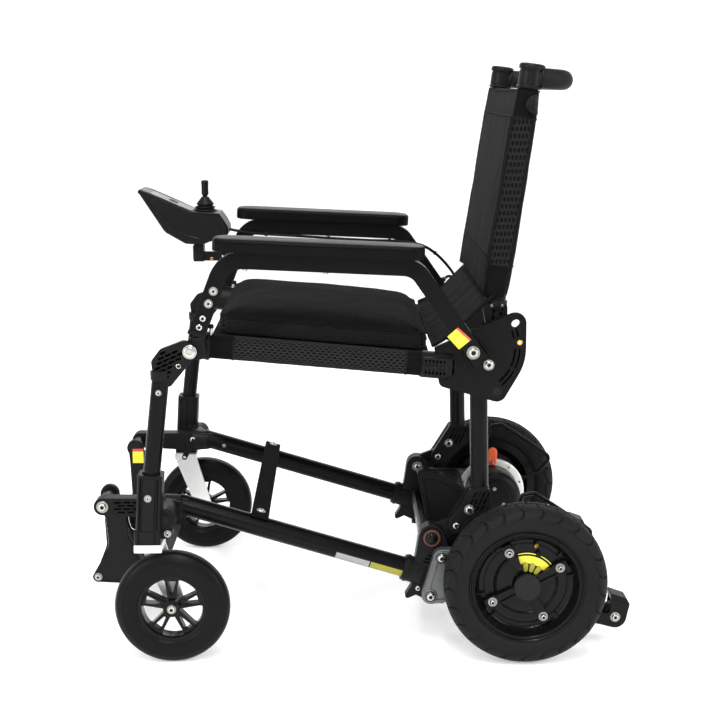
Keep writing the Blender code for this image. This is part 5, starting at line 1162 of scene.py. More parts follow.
def build_motor(side, mark):
    """Geared motor: enamelled can with a ribbed end, machined flange and its screws."""
    work = Piece("motor_unit_" + mark, side)
    face = BRACKET_X - GAP
    inner = FRAME_HALF - 0.050
    can = [(inner, 0), (inner, 0.0300), (inner + 0.0010, 0.0310), (inner + 0.0010, 0.0400),
           (inner + 0.0030, 0.0440), (inner + 0.0080, 0.0485), (inner + 0.0110, 0.0500),
           (face - 0.0180, 0.0500), (face - 0.0175, 0.0490), (face - 0.0150, 0.0490), (face - 0.0145, 0.0500),
           (face - 0.0080, 0.0500), (face - 0.0080, 0)]
    place = Matrix.Translation((0, *AXLE)) @ across(0)
    spin(work, can, place, "motor_enamel", 96)
    flange = [(face - 0.0085, 0), (face - 0.0085, 0.0605), (face - 0.0075, 0.0618), (face - 0.0010, 0.0620),
              (face, 0.0612), (face, 0)]
    spin(work, flange, place, "machined_flange", 96)
    peg(work, AXLE, face - 0.002, WHEEL_X + 0.024, 0.0085, "zinc_steel")
    for k in range(10):
        spot = polar(AXLE, 0.0560, 18 + 36 * k)
        side_screw(work, spot, face - 0.0085, 0.0024, -0.0016)
    for k in range(3):
        peg(work, polar(AXLE, 0.020, 90 + 120 * k), inner - 0.0006, inner + 0.002, 0.0035, "zinc_steel",
            0.0004, 16)
    peg(work, LEVER_PIVOT, face - 0.019, face - 0.004, 0.003, "zinc_steel", 0.0005, 16)
    work.finish("chassis", ["motor_" + mark])


def build_lever(side, mark, word):
    """Ribbed grip that frees the motor from its wheel."""
    work = Piece("release_lever_grip_" + mark, side)
    x_out = BRACKET_X - GAP - 0.0083
    top = shift(LEVER_PIVOT, 0.001, 0.0200)
    outline = belt([*rounds(LEVER_PIVOT, (-0.0028, -0.0010, 0.0045), (0.0042, -0.0010, 0.0045)),
                    (*top, 0.0085)])
    plate(work, [outline, ring_of(LEVER_PIVOT, 0.0033)], x_out - 0.0065, x_out, "orange_nylon", 0.0018, 3)
    for y in (-0.0030, 0.0010, 0.0050):
        rib = belt([(*shift(LEVER_PIVOT, y, 0.008), 0.0009), (*shift(LEVER_PIVOT, y, 0.0205), 0.0009)])
        plate(work, [rib], x_out - 0.0076, x_out - 0.0055, "orange_nylon", 0.0004)
    work.finish("release_lever_" + word, ["release_lever_" + mark])


def build_anti_tip(side, mark, word):
    """Round arm under the motor, wedge-topped fork and roller."""
    work = Piece("anti_tip_fork_" + mark, side)
    start = along_line(TIP_ROOT, TIP_END, 0.0063)
    bar(work, TIP_X, start, TIP_END, 0.0085, "powder_tube", 0.0006, sides=40)
    outline = belt([(*shift(TIP_AXLE, -0.034, -0.0050), 0.0050), (*TIP_AXLE, 0.0182),
                    *rounds(TIP_AXLE, (0.0205, 0.0190, 0.0020), (-0.0050, 0.0275, 0.0020),
                            (-0.0140, 0.0110, -0.0050), (-0.0340, 0.0020, 0.0040))], 8)
    for low, high in ((-0.0160, -0.0106), (0.0106, 0.0160)):
        plate(work, [outline], TIP_X + low, TIP_X + high, "textured_abs", 0.0012, 3)
    roof = belt(rounds(TIP_AXLE, (-0.0060, 0.0295, 0.0018), (0.0215, 0.0205, 0.0016),
                       (0.0165, 0.0290, 0.0020), (-0.0060, 0.0370, 0.0020)))
    plate(work, [roof], TIP_X - 0.0155, TIP_X + 0.0155, "textured_abs", 0.0010)
    lid = belt(rounds(TIP_AXLE, (-0.0020, 0.0290, 0.0012), (0.0200, 0.0218, 0.0012)))
    plate(work, [lid], TIP_X - 0.0163, TIP_X + 0.0163, "smooth_abs", 0.0006)
    neck = belt(rounds(TIP_AXLE, (-0.0330, 0.000, 0.0095), (-0.0240, 0.0020, 0.0050)))
    plate(work, [neck], TIP_X - 0.0155, TIP_X + 0.0155, "textured_abs", 0.0010)
    peg(work, TIP_AXLE, TIP_X - 0.0150, TIP_X + 0.0150, 0.004, "zinc_steel")
    for x, way in ((TIP_X + 0.0157, 1), (TIP_X - 0.0157, -1)):
        side_screw(work, TIP_AXLE, x, 0.0056, 0.0026 * way, 0.0080)
    work.finish("chassis", ["anti_tip_arm_" + mark])
    roller = Piece("anti_tip_roller_" + mark, side)
    spin(roller, [(-0.009, 0.0045), (-0.009, 0.0165), (-0.0085, 0.0185), (-0.0065, 0.0207), (-0.004, 0.0214),
                  (0.004, 0.0214), (0.0065, 0.0207), (0.0085, 0.0185), (0.009, 0.0165), (0.009, 0.0045)],
         across(TIP_X, TIP_AXLE), "caster_tread", 64, loop=True)
    roller.finish("anti_tip_wheel_" + word, ["anti_tip_wheel_" + mark])


def build_tray():
    """The battery tray and its beam keep their CAD shape, with softened edges and a sprayed finish."""
    tray = bpy.data.objects["rear_frame"]
    for slot in tray.material_slots:
        slot.link = "OBJECT"
        slot.material = paint_named("powder_tube")
    rims = tray.modifiers.new("soft_edges", "BEVEL")
    rims.width = 0.0009
    rims.segments = 2
    rims.limit_method = "ANGLE"


# Front legs

SOCKET_TOP = shift(FRONT_PIVOT, -0.019, 0.071)
LEG_TOP = shift(FRONT_TOP, -0.0475, -0.060)
LEG_FOOT = (STEM_Y + 0.0015, CROWN_Z + 0.075)
LINK_IN = 0.0597
LINK_OUT = 0.0715


def fluted(half_x, half_y, corner, notches, depth=0.0011, width=0.0009):
    """A rounded rectangle with upright grooves: notches are (face, place) pairs, face "x+" or "y-"."""
    points = belt([(half_x - corner, -half_y + corner, corner), (half_x - corner, half_y - corner, corner),
                   (-half_x + corner, half_y - corner, corner), (-half_x + corner, -half_y + corner, corner)],
                  20)
    run = []
    for a, b in zip(points, points[1:] + points[:1]):
        run.append(a)
        if math.dist(a, b) < 0.006:
            continue
        along = Vector(b) - Vector(a)
        unit = along.normalized()
        inward = Vector((-unit.y, unit.x))
        face = ("x" if abs(unit.y) > 0.5 else "y") + ("-" if inward.x + inward.y > 0 else "+")
        middle = along.length / 2
        for place in sorted(place for name, place in notches if name == face):
            at = Vector(a) + unit * (middle + place)
            run += [tuple(at - unit * width), tuple(at - unit * width * 0.5 + inward * depth),
                    tuple(at + unit * width * 0.5 + inward * depth), tuple(at + unit * width)]
    return run


def build_socket(side, mark):
    """Fluted sleeve of the front leg, its clamp block, knuckle cover and ear."""
    work = Piece("leg_socket_casting_" + mark, side)
    bottom = CROWN_Z + 0.012 + GAP
    low, top = (LEG_X, STEM_Y + 0.0005, bottom + 0.020), (LEG_X, *SOCKET_TOP)
    notches = [("x+", p) for p in (-0.0150, -0.0105, 0.0100, 0.0148)]
    notches += [("x-", p) for p in (-0.012, 0.0, 0.012)]
    notches += [("y-", p) for p in (-0.008, 0.008)] + [("y+", p) for p in (-0.008, 0.008)]
    length = (Vector(top) - Vector(low)).length
    lean = Matrix.Translation(low) @ Matrix.Rotation(-math.atan2(top[1] - low[1], top[2] - low[2]), 4, "X")
    outline = fluted(0.0186, 0.0190, 0.0065, notches)
    bore = ring_of((0, 0), 0.01345, 40)
    slab(work, [outline], length - 0.004, lean, "powder_casting", 0.0)
    crown = fluted(0.0186, 0.0190, 0.0065, [])
    slab(work, [crown, bore], 0.005, lean @ Matrix.Translation((0, 0, length - 0.0045)), "powder_casting",
         0.0010)
    # Clamp block with upright bands
    bands = [("x+", p) for p in (-0.0135, -0.0125, 0.0110, 0.0120)] + [("y-", 0.0), ("y+", 0.0)]
    block = Matrix.Translation((LEG_X, STEM_Y - 0.0005, bottom))
    slab(work, [fluted(0.0198, 0.0200, 0.0050, bands, 0.0009, 0.0008)], 0.0205, block, "powder_casting", 0.0)
    lid = Matrix.Translation((LEG_X, STEM_Y - 0.0005, bottom + 0.0203))
    slab(work, [fluted(0.0190, 0.0192, 0.0050, [])], 0.0022, lid, "powder_casting", 0.0008)
    panel = belt([(STEM_Y - 0.0070, bottom + 0.030, 0.0016), (STEM_Y + 0.0075, bottom + 0.030, 0.0016),
                  (SOCKET_TOP[0] + 0.0080, SOCKET_TOP[1] - 0.005, 0.0016),
                  (SOCKET_TOP[0] - 0.0070, SOCKET_TOP[1] - 0.005, 0.0016)])
    plate(work, [panel], LEG_X + 0.0150, LEG_X + 0.0195, "powder_casting", 0.0006)
    side_screw(work, shift(SOCKET_TOP, -0.0035, -0.034), LEG_X + 0.0195, 0.0030, 0.0014, 0.0056)
    cover = belt([(*FRONT_PIVOT, 0.0165), (STEM_Y + 0.010, FRONT_PIVOT[1] + 0.010, 0.006),
                  (STEM_Y + 0.006, FRONT_PIVOT[1] - 0.010, 0.006)])
    plate(work, [cover], LEG_X - 0.019, LEG_X + 0.0080, "powder_casting", 0.0022, 4)
    ridge = arc_slot(FRONT_PIVOT, 0.0132, -75, 78, 0.0010)
    plate(work, [ridge], LEG_X + 0.006, LEG_X + 0.0092, "powder_casting", 0.0006)
    for x in (-0.012, -0.006, 0.0, 0.005):
        plate(work, [arc_slot(FRONT_PIVOT, 0.0160, -85, 80, 0.0010)], LEG_X + x - 0.0010, LEG_X + x + 0.0010,
              "powder_casting", 0.0004)
    peg(work, FRONT_PIVOT, LEG_X + 0.006, LEG_X + 0.0105, 0.0085, "powder_casting", 0.0012)
    ear = belt([(*shift(FRONT_PIVOT, 0.004, -0.0235), 0.0075), (STEM_Y + 0.010, bottom + 0.012, 0.009)])
    plate(work, [ear], LEG_X - 0.012, LEG_X + 0.006, "powder_casting", 0.0016, 3)
    side_screw(work, shift(FRONT_PIVOT, 0.004, -0.0235), LEG_X + 0.0055, 0.0040, 0.0026, 0.0058)
    work.finish("front_legs", ["leg_socket_" + mark])


def build_front_leg(side, mark):
    """Leg tube with its cap and the brick-slotted knee link."""
    work = Piece("front_leg_tube_" + mark, side)
    foot = along_line(LEG_FOOT, LEG_TOP, GAP)
    bar(work, LEG_X, foot, along_line(LEG_TOP, LEG_FOOT, -0.022), 0.013, "powder_tube", 0.0006, sides=48)
    bar(work, LEG_X, along_line(LEG_TOP, LEG_FOOT, -0.0165), shift(LEG_TOP, 0.0015, 0.031), 0.0146,
        "powder_casting", 0.0014, sides=48)
    x_in, x_out = FRAME_HALF + LINK_IN, FRAME_HALF + LINK_OUT
    outline = belt([(*FRONT_TOP, 0.0105), *rounds(FRONT_TOP, (-0.009, 0.006, 0.0105),
                                                  (-0.039, -0.004, 0.0090), (-0.050, -0.016, 0.0075),
                                                  (-0.0485, -0.030, 0.0075), (-0.032, -0.047, 0.0055))])
    slope = math.radians(24)
    face = belt(rounds(FRONT_TOP, (-0.0170, 0.0020, 0.0050), (-0.039, -0.004, 0.0035),
                       (-0.049, -0.016, 0.0025), (-0.0475, -0.029, 0.0025), (-0.036, -0.039, 0.0015),
                       (-0.0200, -0.0135, 0.0025)))
    slots = bricks(shift(FRONT_TOP, -0.0560, -0.0480), slope, 9, 6, 0.0092, 0.0036, 0.0112, 0.0060,
                   within(face))
    slotted(work, [outline], slots, x_in, x_out, 0.0042, "powder_casting", 0.0014)
    hole = shift(FRONT_TOP, -0.0170, -0.0215)
    spin(work, [(-0.002, 0), (-0.002, 0.0036), (0.0006, 0.0036), (0.0009, 0.0030), (0.0002, 0.0022),
                (-0.0010, 0.0020), (-0.0010, 0)], across(x_out, hole), "zinc_steel", 24)
    side_screw(work, shift(LEG_TOP, 0.0, -0.0015), LEG_X + 0.0124, 0.0032, 0.0016, 0.0046)
    work.finish("front_legs", ["front_leg_" + mark])


# Rear legs

SHOE_HALF = 0.016
TUBE_LOW = shift(REAR_PIVOT, 0.0375, 0.038)
TUBE_HIGH = shift(REAR_TOP, -0.0130, -0.008)


def build_rear_leg(side, mark):
    """Leg tube, the shoe with its long slanted slots, and the upper eye."""
    work = Piece("rear_leg_tube_" + mark, side)
    bar(work, FRAME_HALF, TUBE_LOW, TUBE_HIGH, 0.014, "powder_tube", 0.0006, sides=48)
    outline = belt([(*REAR_PIVOT, 0.0125), (*shift(REAR_PIVOT, 0.012, 0.004), 0.0125),
                    *rounds(TUBE_LOW, (0.008, -0.006, 0.010), (0.0120, 0.018, 0.003),
                            (-0.0145, 0.018, 0.003))])
    lean = math.radians(62)
    slots = []
    for row, length in ((0, 0.0100), (1, 0.0100), (2, 0.0085)):
        for column in range(4):
            y = TUBE_LOW[0] - 0.0125 + 0.0068 * column + 0.0046 * (row - 1) - 0.0005
            z = TUBE_LOW[1] + 0.0020 + 0.0112 * (row - 1) - 0.001
            if row == 0 and column == 0:
                continue
            slots.append(stadium((y, z), lean, length, 0.0026, 0.0008))
    face = FRAME_HALF + SHOE_HALF
    for x_from, x_to in ((FRAME_HALF + TONGUE_HALF + GAP, face),
                         (FRAME_HALF - TONGUE_HALF - GAP, FRAME_HALF - SHOE_HALF)):
        slotted(work, [outline], slots, x_from, x_to, 0.0030, "powder_casting", 0.0010)
    core = belt(rounds(TUBE_LOW, (-0.006, -0.004, 0.004), (0.008, -0.006, 0.0095), (0.0118, 0.018, 0.003),
                       (-0.0142, 0.018, 0.003)))
    plate(work, [core], FRAME_HALF - TONGUE_HALF - 0.001, FRAME_HALF + TONGUE_HALF + 0.001, "powder_casting",
          0.0)
    side_screw(work, shift(REAR_PIVOT, 0.020, 0.026), face, 0.0062, 0.0030, 0.0080)
    side_screw(work, shift(REAR_PIVOT, 0.020, 0.026), FRAME_HALF - SHOE_HALF, 0.0062, -0.0030, 0.0080)
    lip = shift(TUBE_LOW, -0.0012, 0.0195)
    bar(work, FRAME_HALF, lip, along_line(lip, TUBE_HIGH, 0.004), 0.0158, "powder_casting", 0.0010, sides=48)
    eye = belt([(*REAR_TOP, 0.0125), (*shift(TUBE_HIGH, -0.001, -0.018), 0.010)])
    plate(work, [eye, ring_of(REAR_TOP, 0.0070)], FRAME_HALF, SEAT_X - 0.004 - GAP, "powder_casting", 0.0014,
          3)
    bar(work, FRAME_HALF, along_line(TUBE_HIGH, TUBE_LOW, 0.030), along_line(TUBE_HIGH, TUBE_LOW, -0.003),
        0.0156, "powder_casting", 0.0010, sides=48)
    work.finish("rear_legs", ["rear_leg_" + mark])


# Soft goods


def soft_box(counts, shape_at, paint_at):
    """The skin of a grid box bent by shape_at(u, v, w), from -1 to 1; paint_at names each face's look."""
    part = bmesh.new()
    layer = part.loops.layers.uv.new(UV)
    verts = {}
    paints = []

    def vert(place):
        if place not in verts:
            verts[place] = part.verts.new(shape_at(*(2 * p / n - 1 for p, n in zip(place, counts))))
        return verts[place]

    for axis in range(3):
        first, second = (a for a in range(3) if a != axis)
        for end in (0, counts[axis]):
            for i in range(counts[first]):
                for j in range(counts[second]):
                    corners = []
                    for a, b in ((0, 0), (1, 0), (1, 1), (0, 1)):
                        place = [0, 0, 0]
                        place[axis], place[first], place[second] = end, i + a, j + b
                        corners.append(tuple(place))
                    face = part.faces.new([vert(c) for c in corners])
                    middle = [sum(c[k] for c in corners) / 2 / counts[k] - 1 for k in range(3)]
                    paint = paint_at(axis, 1 if end else -1, *middle)
                    if paint not in paints:
                        paints.append(paint)
                    face.material_index = paints.index(paint)
                    for corner in face.loops:
                        corner[layer].uv = (corner.vert.co[first], corner.vert.co[second])
    part.verts.index_update()
    bmesh.ops.recalc_face_normals(part, faces=part.faces)
    return part, paints, {place: v.index for place, v in verts.items()}


def round_grid(counts):
    """The (i, j) places round the outside of one level of a grid box."""
    wide, deep = counts[:2]
    line = [(i, 0) for i in range(wide)] + [(wide, j) for j in range(deep)]
    return line + [(i, deep) for i in range(wide, 0, -1)] + [(0, j) for j in range(deep, 0, -1)]


def points_of(obj):
    flat = np.empty(len(obj.data.vertices) * 3)
    obj.data.vertices.foreach_get("co", flat)
    return flat.reshape(-1, 3)


def set_points(obj, points):
    obj.data.vertices.foreach_set("co", points.ravel())
    obj.data.update()


def inflate(obj, cap, pressure=4.0, weight=None):
    """Swells a closed cover by Cloth pressure; no point moves further than cap, times its own weight."""
    rest = points_of(obj)
    cloth = obj.modifiers.new("swell", "CLOTH")
    cloth.settings.use_pressure = True
    cloth.settings.uniform_pressure_force = pressure
    cloth.settings.effector_weights.gravity = 0
    cloth.point_cache.frame_start = 1
    cloth.point_cache.frame_end = 20
    for step in range(1, 21):
        bpy.context.scene.frame_set(step)
    swollen = obj.evaluated_get(bpy.context.evaluated_depsgraph_get())
    mesh = swollen.to_mesh()
    flat = np.empty(len(mesh.vertices) * 3)
    mesh.vertices.foreach_get("co", flat)
    swollen.to_mesh_clear()
    obj.modifiers.remove(cloth)
    bpy.context.scene.frame_set(1)
    move = flat.reshape(-1, 3) - rest
    reach = np.linalg.norm(move, axis=1)
    move *= (cap / np.maximum(reach, cap))[:, None]
    if weight is not None:
        move *= weight(rest)[:, None]
    set_points(obj, rest + move)


def ruffle(obj, depth, size, weight=None):
    """Moves each point along its normal by a smooth random height, as handled fabric lies."""
    points = points_of(obj)
    normals = np.array([v.normal for v in obj.data.vertices])
    rises = [noise.noise(Vector(p) / size) + 0.5 * noise.noise(Vector(p) * 2.3 / size) for p in points]
    rises = np.array(rises)
    if weight is not None:
        rises = rises * weight(points)
    set_points(obj, points + normals * (rises * depth)[:, None])


def finer(obj):
    """One step of subdivision, kept as a modifier."""
    smooth = obj.modifiers.new("smooth", "SUBSURF")
    smooth.levels = 1
    smooth.render_levels = 1


def piped(name, runs, radius, body, paint="piping"):
    """Corded seams along closed runs of points."""
    work = Piece(name)
    for run in runs:
        sweep(work, run, radius, paint, 8, closed=True)
    return work.finish(body, crisp=False)


def stack(work, half_x, half_y, corner, levels, place, paint, degrees=10):
    """A closed form of rounded rectangles, each (height, inset), one on another."""
    part = bmesh.new()
    layer = part.loops.layers.uv.new(UV)
    rings = []
    for height, inset in levels:
        hx, hy = half_x - inset, half_y - inset
        r = max(0.0004, min(corner - inset * 0.6, hx - 1e-5, hy - 1e-5))
        cx, cy = hx - r, hy - r
        steps = round(90 / degrees)
        points = []
        for quarter, (sx, sy) in enumerate(((1, 1), (-1, 1), (-1, -1), (1, -1))):
            for k in range(steps + 1):
                turn = math.radians(90 * quarter + 90 * k / steps)
                points.append((sx * cx + r * math.cos(turn), sy * cy + r * math.sin(turn)))
        rings.append([part.verts.new((x, y, height)) for x, y in points])
    close_rings(part, rings)
    for face in part.faces:
        for corner_loop in face.loops:
            spot = corner_loop.vert.co
            flat = abs(face.normal.z) > 0.7
            corner_loop[layer].uv = (spot.x, spot.y) if flat else (spot.x + spot.y, spot.z)
    part.transform(place)
    work.take(part, paint)


# Seat frame

SEAT_FRONT_Y = FRONT_TOP[0] + 0.008
SEAT_REAR_Y = BACK_PIVOT[0] - 0.050
SEAT_TUBE_R = 0.018
CLAMP_FROM = BACK_PIVOT[0] - 0.076
CLAMP_TO = BACK_PIVOT[0] - 0.030
SEAT_SLOPE = -0.029 / 0.327
ARM_HALF = 0.0128
ARM_W = 0.023
ARM_REAR_KNEE = shift(BACK_PIVOT, -0.087, 0.1275)
ARM_FRONT_KNEE = shift(FRONT_TOP, 0.0525, 0.1355)
ARM_FOOT = shift(FRONT_TOP, 0.0105, 0.0270)
ARM_TAIL = shift(BACK_PIVOT, 0.0135, -0.0165)


def seat_line(y):
    """Height of the seat tubes' centre line."""
    return FRONT_TOP[1] + 0.0025 + (y - FRONT_TOP[0]) * SEAT_SLOPE


def seat_spot(x, y):
    return (x, y, seat_line(y))


def from_axle(y_mm, z_mm):
    """A spot in the side view given from under the rear axle, in millimetres."""
    return (AXLE[0] + y_mm / 1000, z_mm / 1000)


def sleeve_on(name, side, start, end, radius, bands, body):
    """A thin fabric sleeve stretched on a tube; bands are (share of length, look)."""
    start, end = Vector(start), Vector(end)
    length = (end - start).length
    place = upright(start, end)
    part = bmesh.new()
    layer = part.loops.layers.uv.new(UV)
    sides, rows = 48, 90
    rings = []
    for k in range(rows + 1):
        z = length * k / rows
        ring = []
        for i in range(sides):
            turn = math.tau * i / sides
            spot = Vector((math.cos(turn) * 1.5, math.sin(turn) * 1.5, z * 60))
            reach = radius + 0.0003 * noise.noise(spot)
            ring.append(part.verts.new(place @ Vector((reach * math.cos(turn), reach * math.sin(turn), z))))
        rings.append(ring)
    paints = [look for _, look in bands]
    for k in range(rows):
        index = next(i for i, (share, _) in enumerate(bands) if (k + 0.5) / rows <= share)
        for i in range(sides):
            after = (i + 1) % sides
            face = part.faces.new((rings[k][i], rings[k][after], rings[k + 1][after], rings[k + 1][i]))
            face.material_index = index
            for corner, (u, v) in zip(face.loops, ((i, k), (i + 1, k), (i + 1, k + 1), (i, k + 1))):
                corner[layer].uv = (v * length / rows, u * math.tau * radius / sides)
    bmesh.ops.recalc_face_normals(part, faces=part.faces)
    work = Piece(name, side)
    work.take(part, paints)
    sleeve = work.finish(body, crisp=False)
    return sleeve


def build_seat_tube(side, mark):
    """The seat's side tube and the fabric sleeve round it."""
    work = Piece("seat_tube_core_" + mark, side)
    rod(work, seat_spot(SEAT_X, SEAT_FRONT_Y), seat_spot(SEAT_X, SEAT_REAR_Y), SEAT_TUBE_R - 0.0008,
        "powder_tube", 0.0006, sides=48)
    work.finish("seat_frame", ["seat_tube_" + mark])
    start, end = SEAT_FRONT_Y + 0.0182, CLAMP_FROM - 0.0004
    bands = [(0.11, "flat_weave"), (0.93, "slotted_mesh"), (1.0, "flat_weave")]
    sleeve_on("seat_sleeve_" + mark, side, seat_spot(SEAT_X, start), seat_spot(SEAT_X, end),
              SEAT_TUBE_R + 0.0004, bands, "seat_frame")
    seams = Piece("seat_sleeve_seams_" + mark, side)
    for share in (0.0, 0.11, 0.93, 1.0):
        y = start + (end - start) * share
        rod(seams, seat_spot(SEAT_X, y - 0.0011), seat_spot(SEAT_X, y + 0.0011), SEAT_TUBE_R + 0.0014,
            "piping", 0.0006, sides=48)
    seams.finish("seat_frame")


def build_front_bracket(side, mark):
    """Corner casting of the seat: sleeve, knee lug, the armrest's seat, and the latch pin."""
    work = Piece("seat_corner_casting_" + mark, side)
    low, high = FRONT_TOP[0] - 0.006, SEAT_FRONT_Y + 0.018
    length = math.dist((low, seat_line(low)), (high, seat_line(high)))
    r = SEAT_TUBE_R + 0.003
    profile = [(0, 0), (0, r - 0.0060), (0.0006, r - 0.0052), (0.0006, r - 0.0015), (0.0020, r),
               (length - 0.0052, r), (length - 0.0048, r + 0.0008), (length - 0.0008, r + 0.0008),
               (length, r), (length, SEAT_TUBE_R + 0.0005), (length - 0.010, SEAT_TUBE_R - 0.001),
               (length - 0.010, 0)]
    spin(work, profile, upright(seat_spot(SEAT_X, low), seat_spot(SEAT_X, high)), "powder_casting", 56)
    slope = math.atan(SEAT_SLOPE)
    pad_at = (low + 0.026, seat_line(low + 0.026))
    slots = [stadium(shift(pad_at, 0.0, 0.0052 * k), slope, 0.0085, 0.0024) for k in (-1, 0, 1)]
    pad = [stadium(pad_at, slope, 0.0150, 0.0210, 0.003)]
    slotted(work, pad, slots, SEAT_X + 0.012, SEAT_X + 0.0222, 0.002, "powder_casting", 0.0008)
    x_in, x_out = SEAT_X - 0.006, FRAME_HALF + LINK_IN - GAP
    lug = belt(rounds(FRONT_TOP, (0.000, -0.002, 0.0125), (0.012, -0.004, 0.0105), (0.0175, 0.0145, 0.004),
                      (0.0005, 0.0145, 0.004)))
    plate(work, [lug], x_in, x_out, "powder_casting", 0.0014, 3)
    peg(work, FRONT_TOP, x_in + 0.003, FRAME_HALF + LINK_OUT + 0.001, 0.0055, "zinc_steel")
    ring = [(0, 0), (0, 0.0106), (0.0012, 0.0106), (0.0016, 0.0102), (0.0016, 0.0088), (0.0034, 0.0086),
            (0.0042, 0.0078), (0.0048, 0.0060), (0.0048, 0.0040), (0.0026, 0.0038), (0.0024, 0)]
    spin(work, ring, across(FRAME_HALF + LINK_OUT + GAP, FRONT_TOP), "zinc_steel", 48, hexed=(9, 8))
    strut = heading(ARM_FRONT_KNEE, ARM_FOOT)
    rest = []
    for depth, way in ((GAP, -1), (0.0070, -1), (0.0070, 1), (GAP, 1)):
        spot = along_line(ARM_FOOT, ARM_FRONT_KNEE, -depth)
        rest.append(shift(spot, -way * (ARM_HALF + 0.001) * math.sin(strut),
                          way * (ARM_HALF + 0.001) * math.cos(strut)))
    plate(work, [rest], SEAT_X - 0.004, ARM_X + ARM_W / 2, "powder_casting", 0.0010)
    web = belt([*rounds(FRONT_TOP, (0.002, 0.012, 0.004), (0.016, 0.012, 0.004)),
                (*shift(ARM_FOOT, 0.004, -0.006), 0.007)])
    plate(work, [web], SEAT_X + 0.004, ARM_X + 0.006, "powder_casting", 0.0012)
    latch = from_axle(-479.7, 506.0)
    rod(work, (SEAT_X + 0.004, *latch), (SEAT_X + 0.004, latch[0] + 0.001, latch[1] + 0.0125), 0.0026,
        "zinc_steel", 0.0006, sides=20)
    knob = [(0, 0), (0, 0.0034), (0.0016, 0.0042), (0.0046, 0.0042), (0.0062, 0.0034), (0.0066, 0)]
    spin(work, knob, Matrix.Translation((SEAT_X + 0.004, latch[0] + 0.001, latch[1] + 0.0120)), "soft_rubber",
         24)
    work.finish("seat_frame", ["front_bracket_" + mark])


def build_side_plate(side, mark):
    """Lobed locking plate with its arc slots, the ribbed clamp on the seat tube and the back's pin."""
    work = Piece("locking_plate_" + mark, side)
    x_in, x_out = SEAT_X - 0.004, SEAT_X + 0.004
    low_lobe = shift(BACK_PIVOT, 0.040, -0.067)
    top_lobe = shift(BACK_PIVOT, 0.0665, 0.039)
    gold = shift(BACK_PIVOT, 0.0733, 0.0098)
    outline = belt([(*shift(BACK_PIVOT, -0.039, -0.050), 0.010), (*low_lobe, 0.0155), (*BACK_PIVOT, 0.0835),
                    (*top_lobe, 0.0165), (*shift(BACK_PIVOT, -0.052, 0.000), 0.004)], 4)
    window = stadium(top_lobe, math.radians(35), 0.0132, 0.0110)
    holes = [outline, window, ring_of(gold, 0.0036, 20)]
    slots = []
    for radius in (0.0665, 0.0735):
        for start, end in ((25, 14), (0, -24), (-27.5, -50)):
            slots.append(arc_slot(BACK_PIVOT, radius, start, end, 0.0012))
    slope = math.atan(SEAT_SLOPE)
    ribs_at = shift(BACK_PIVOT, -0.0405, -0.0270)
    for row in (-0.5, 0.5):
        for column in range(4):
            spot = shift(ribs_at, 0.0054 * column - 0.003, 0.0128 * row - 0.0054 * column * 0.0887)
            slots.append(stadium(spot, slope + math.pi / 2, 0.0095, 0.0028, 0.0009))
    slotted(work, holes, slots, x_in, x_out, 0.0024, "powder_tube", 0.0010)
    rod(work, seat_spot(SEAT_X, CLAMP_FROM), seat_spot(SEAT_X, CLAMP_TO), SEAT_TUBE_R + 0.0026,
        "powder_casting", 0.0012, sides=56)
    middle = ((CLAMP_FROM + CLAMP_TO) / 2 - 0.003, seat_line((CLAMP_FROM + CLAMP_TO) / 2 - 0.003))
    ribs = []
    for row in (-0.5, 0.5):
        for column in range(6):
            run = 0.0056 * (column - 2.5)
            ribs.append(stadium(shift(middle, run, 0.0128 * row + run * SEAT_SLOPE), slope + math.pi / 2,
                                0.0098, 0.0030, 0.0009))
    slotted(work, [stadium(middle, slope, 0.0390, 0.0290, 0.004)], ribs, SEAT_X + 0.010, SEAT_X + 0.0218,
            0.0026, "powder_casting", 0.0012)
    pin_end = ARM_X + ARM_W / 2
    peg(work, BACK_PIVOT, POST_X + 0.004, pin_end + 0.001, 0.0055, "zinc_steel")
    side_screw(work, BACK_PIVOT, pin_end + 0.0010, 0.0074, 0.0034, 0.0100)
    peg(work, REAR_TOP, SEAT_X - 0.017, SEAT_X, 0.0055, "zinc_steel")
    side_screw(work, REAR_TOP, SEAT_X - 0.0165, 0.0070, -0.0030)
    side_screw(work, REAR_TOP, x_out - 0.0004, 0.0062, 0.0024, 0.0084)
    spin(work, [(-0.001, 0), (-0.001, 0.0086), (0.0010, 0.0086), (0.0016, 0.0078), (0.0016, 0.0066),
                (0.0008, 0.0064), (0.0008, 0)], across(x_out, low_lobe), "powder_casting", 40)
    side_screw(work, low_lobe, x_out + 0.0006, 0.0056, 0.0022, 0.0, "hub_cap")
    spin(work, [(-0.0004, 0.0020), (-0.0004, 0.0040), (0.0008, 0.0040), (0.0012, 0.0034), (0.0012, 0.0024),
                (0.0006, 0.0020)], across(x_out, gold), "turned_brass", 32, loop=True)
    # Lips that stop the armrest's end
    strut = heading(ARM_REAR_KNEE, ARM_TAIL)
    for way in (-1, 1):
        base = shift(ARM_TAIL, -way * (ARM_HALF + 0.0042) * math.sin(strut),
                     way * (ARM_HALF + 0.0042) * math.cos(strut))
        lip = belt([(*along_line(base, ARM_REAR_KNEE, -0.002), 0.0022),
                    (*along_line(base, ARM_REAR_KNEE, 0.022), 0.0022)])
        plate(work, [lip], x_out - 0.001, x_out + 0.0046, "powder_tube", 0.0008)
    work.finish("seat_frame", ["side_plate_" + mark])


# The sling lies this far over the seat tubes' centre line, and is this thick each way from its middle
SLING_RISE = 0.0109
SLING_HALF = 0.0007


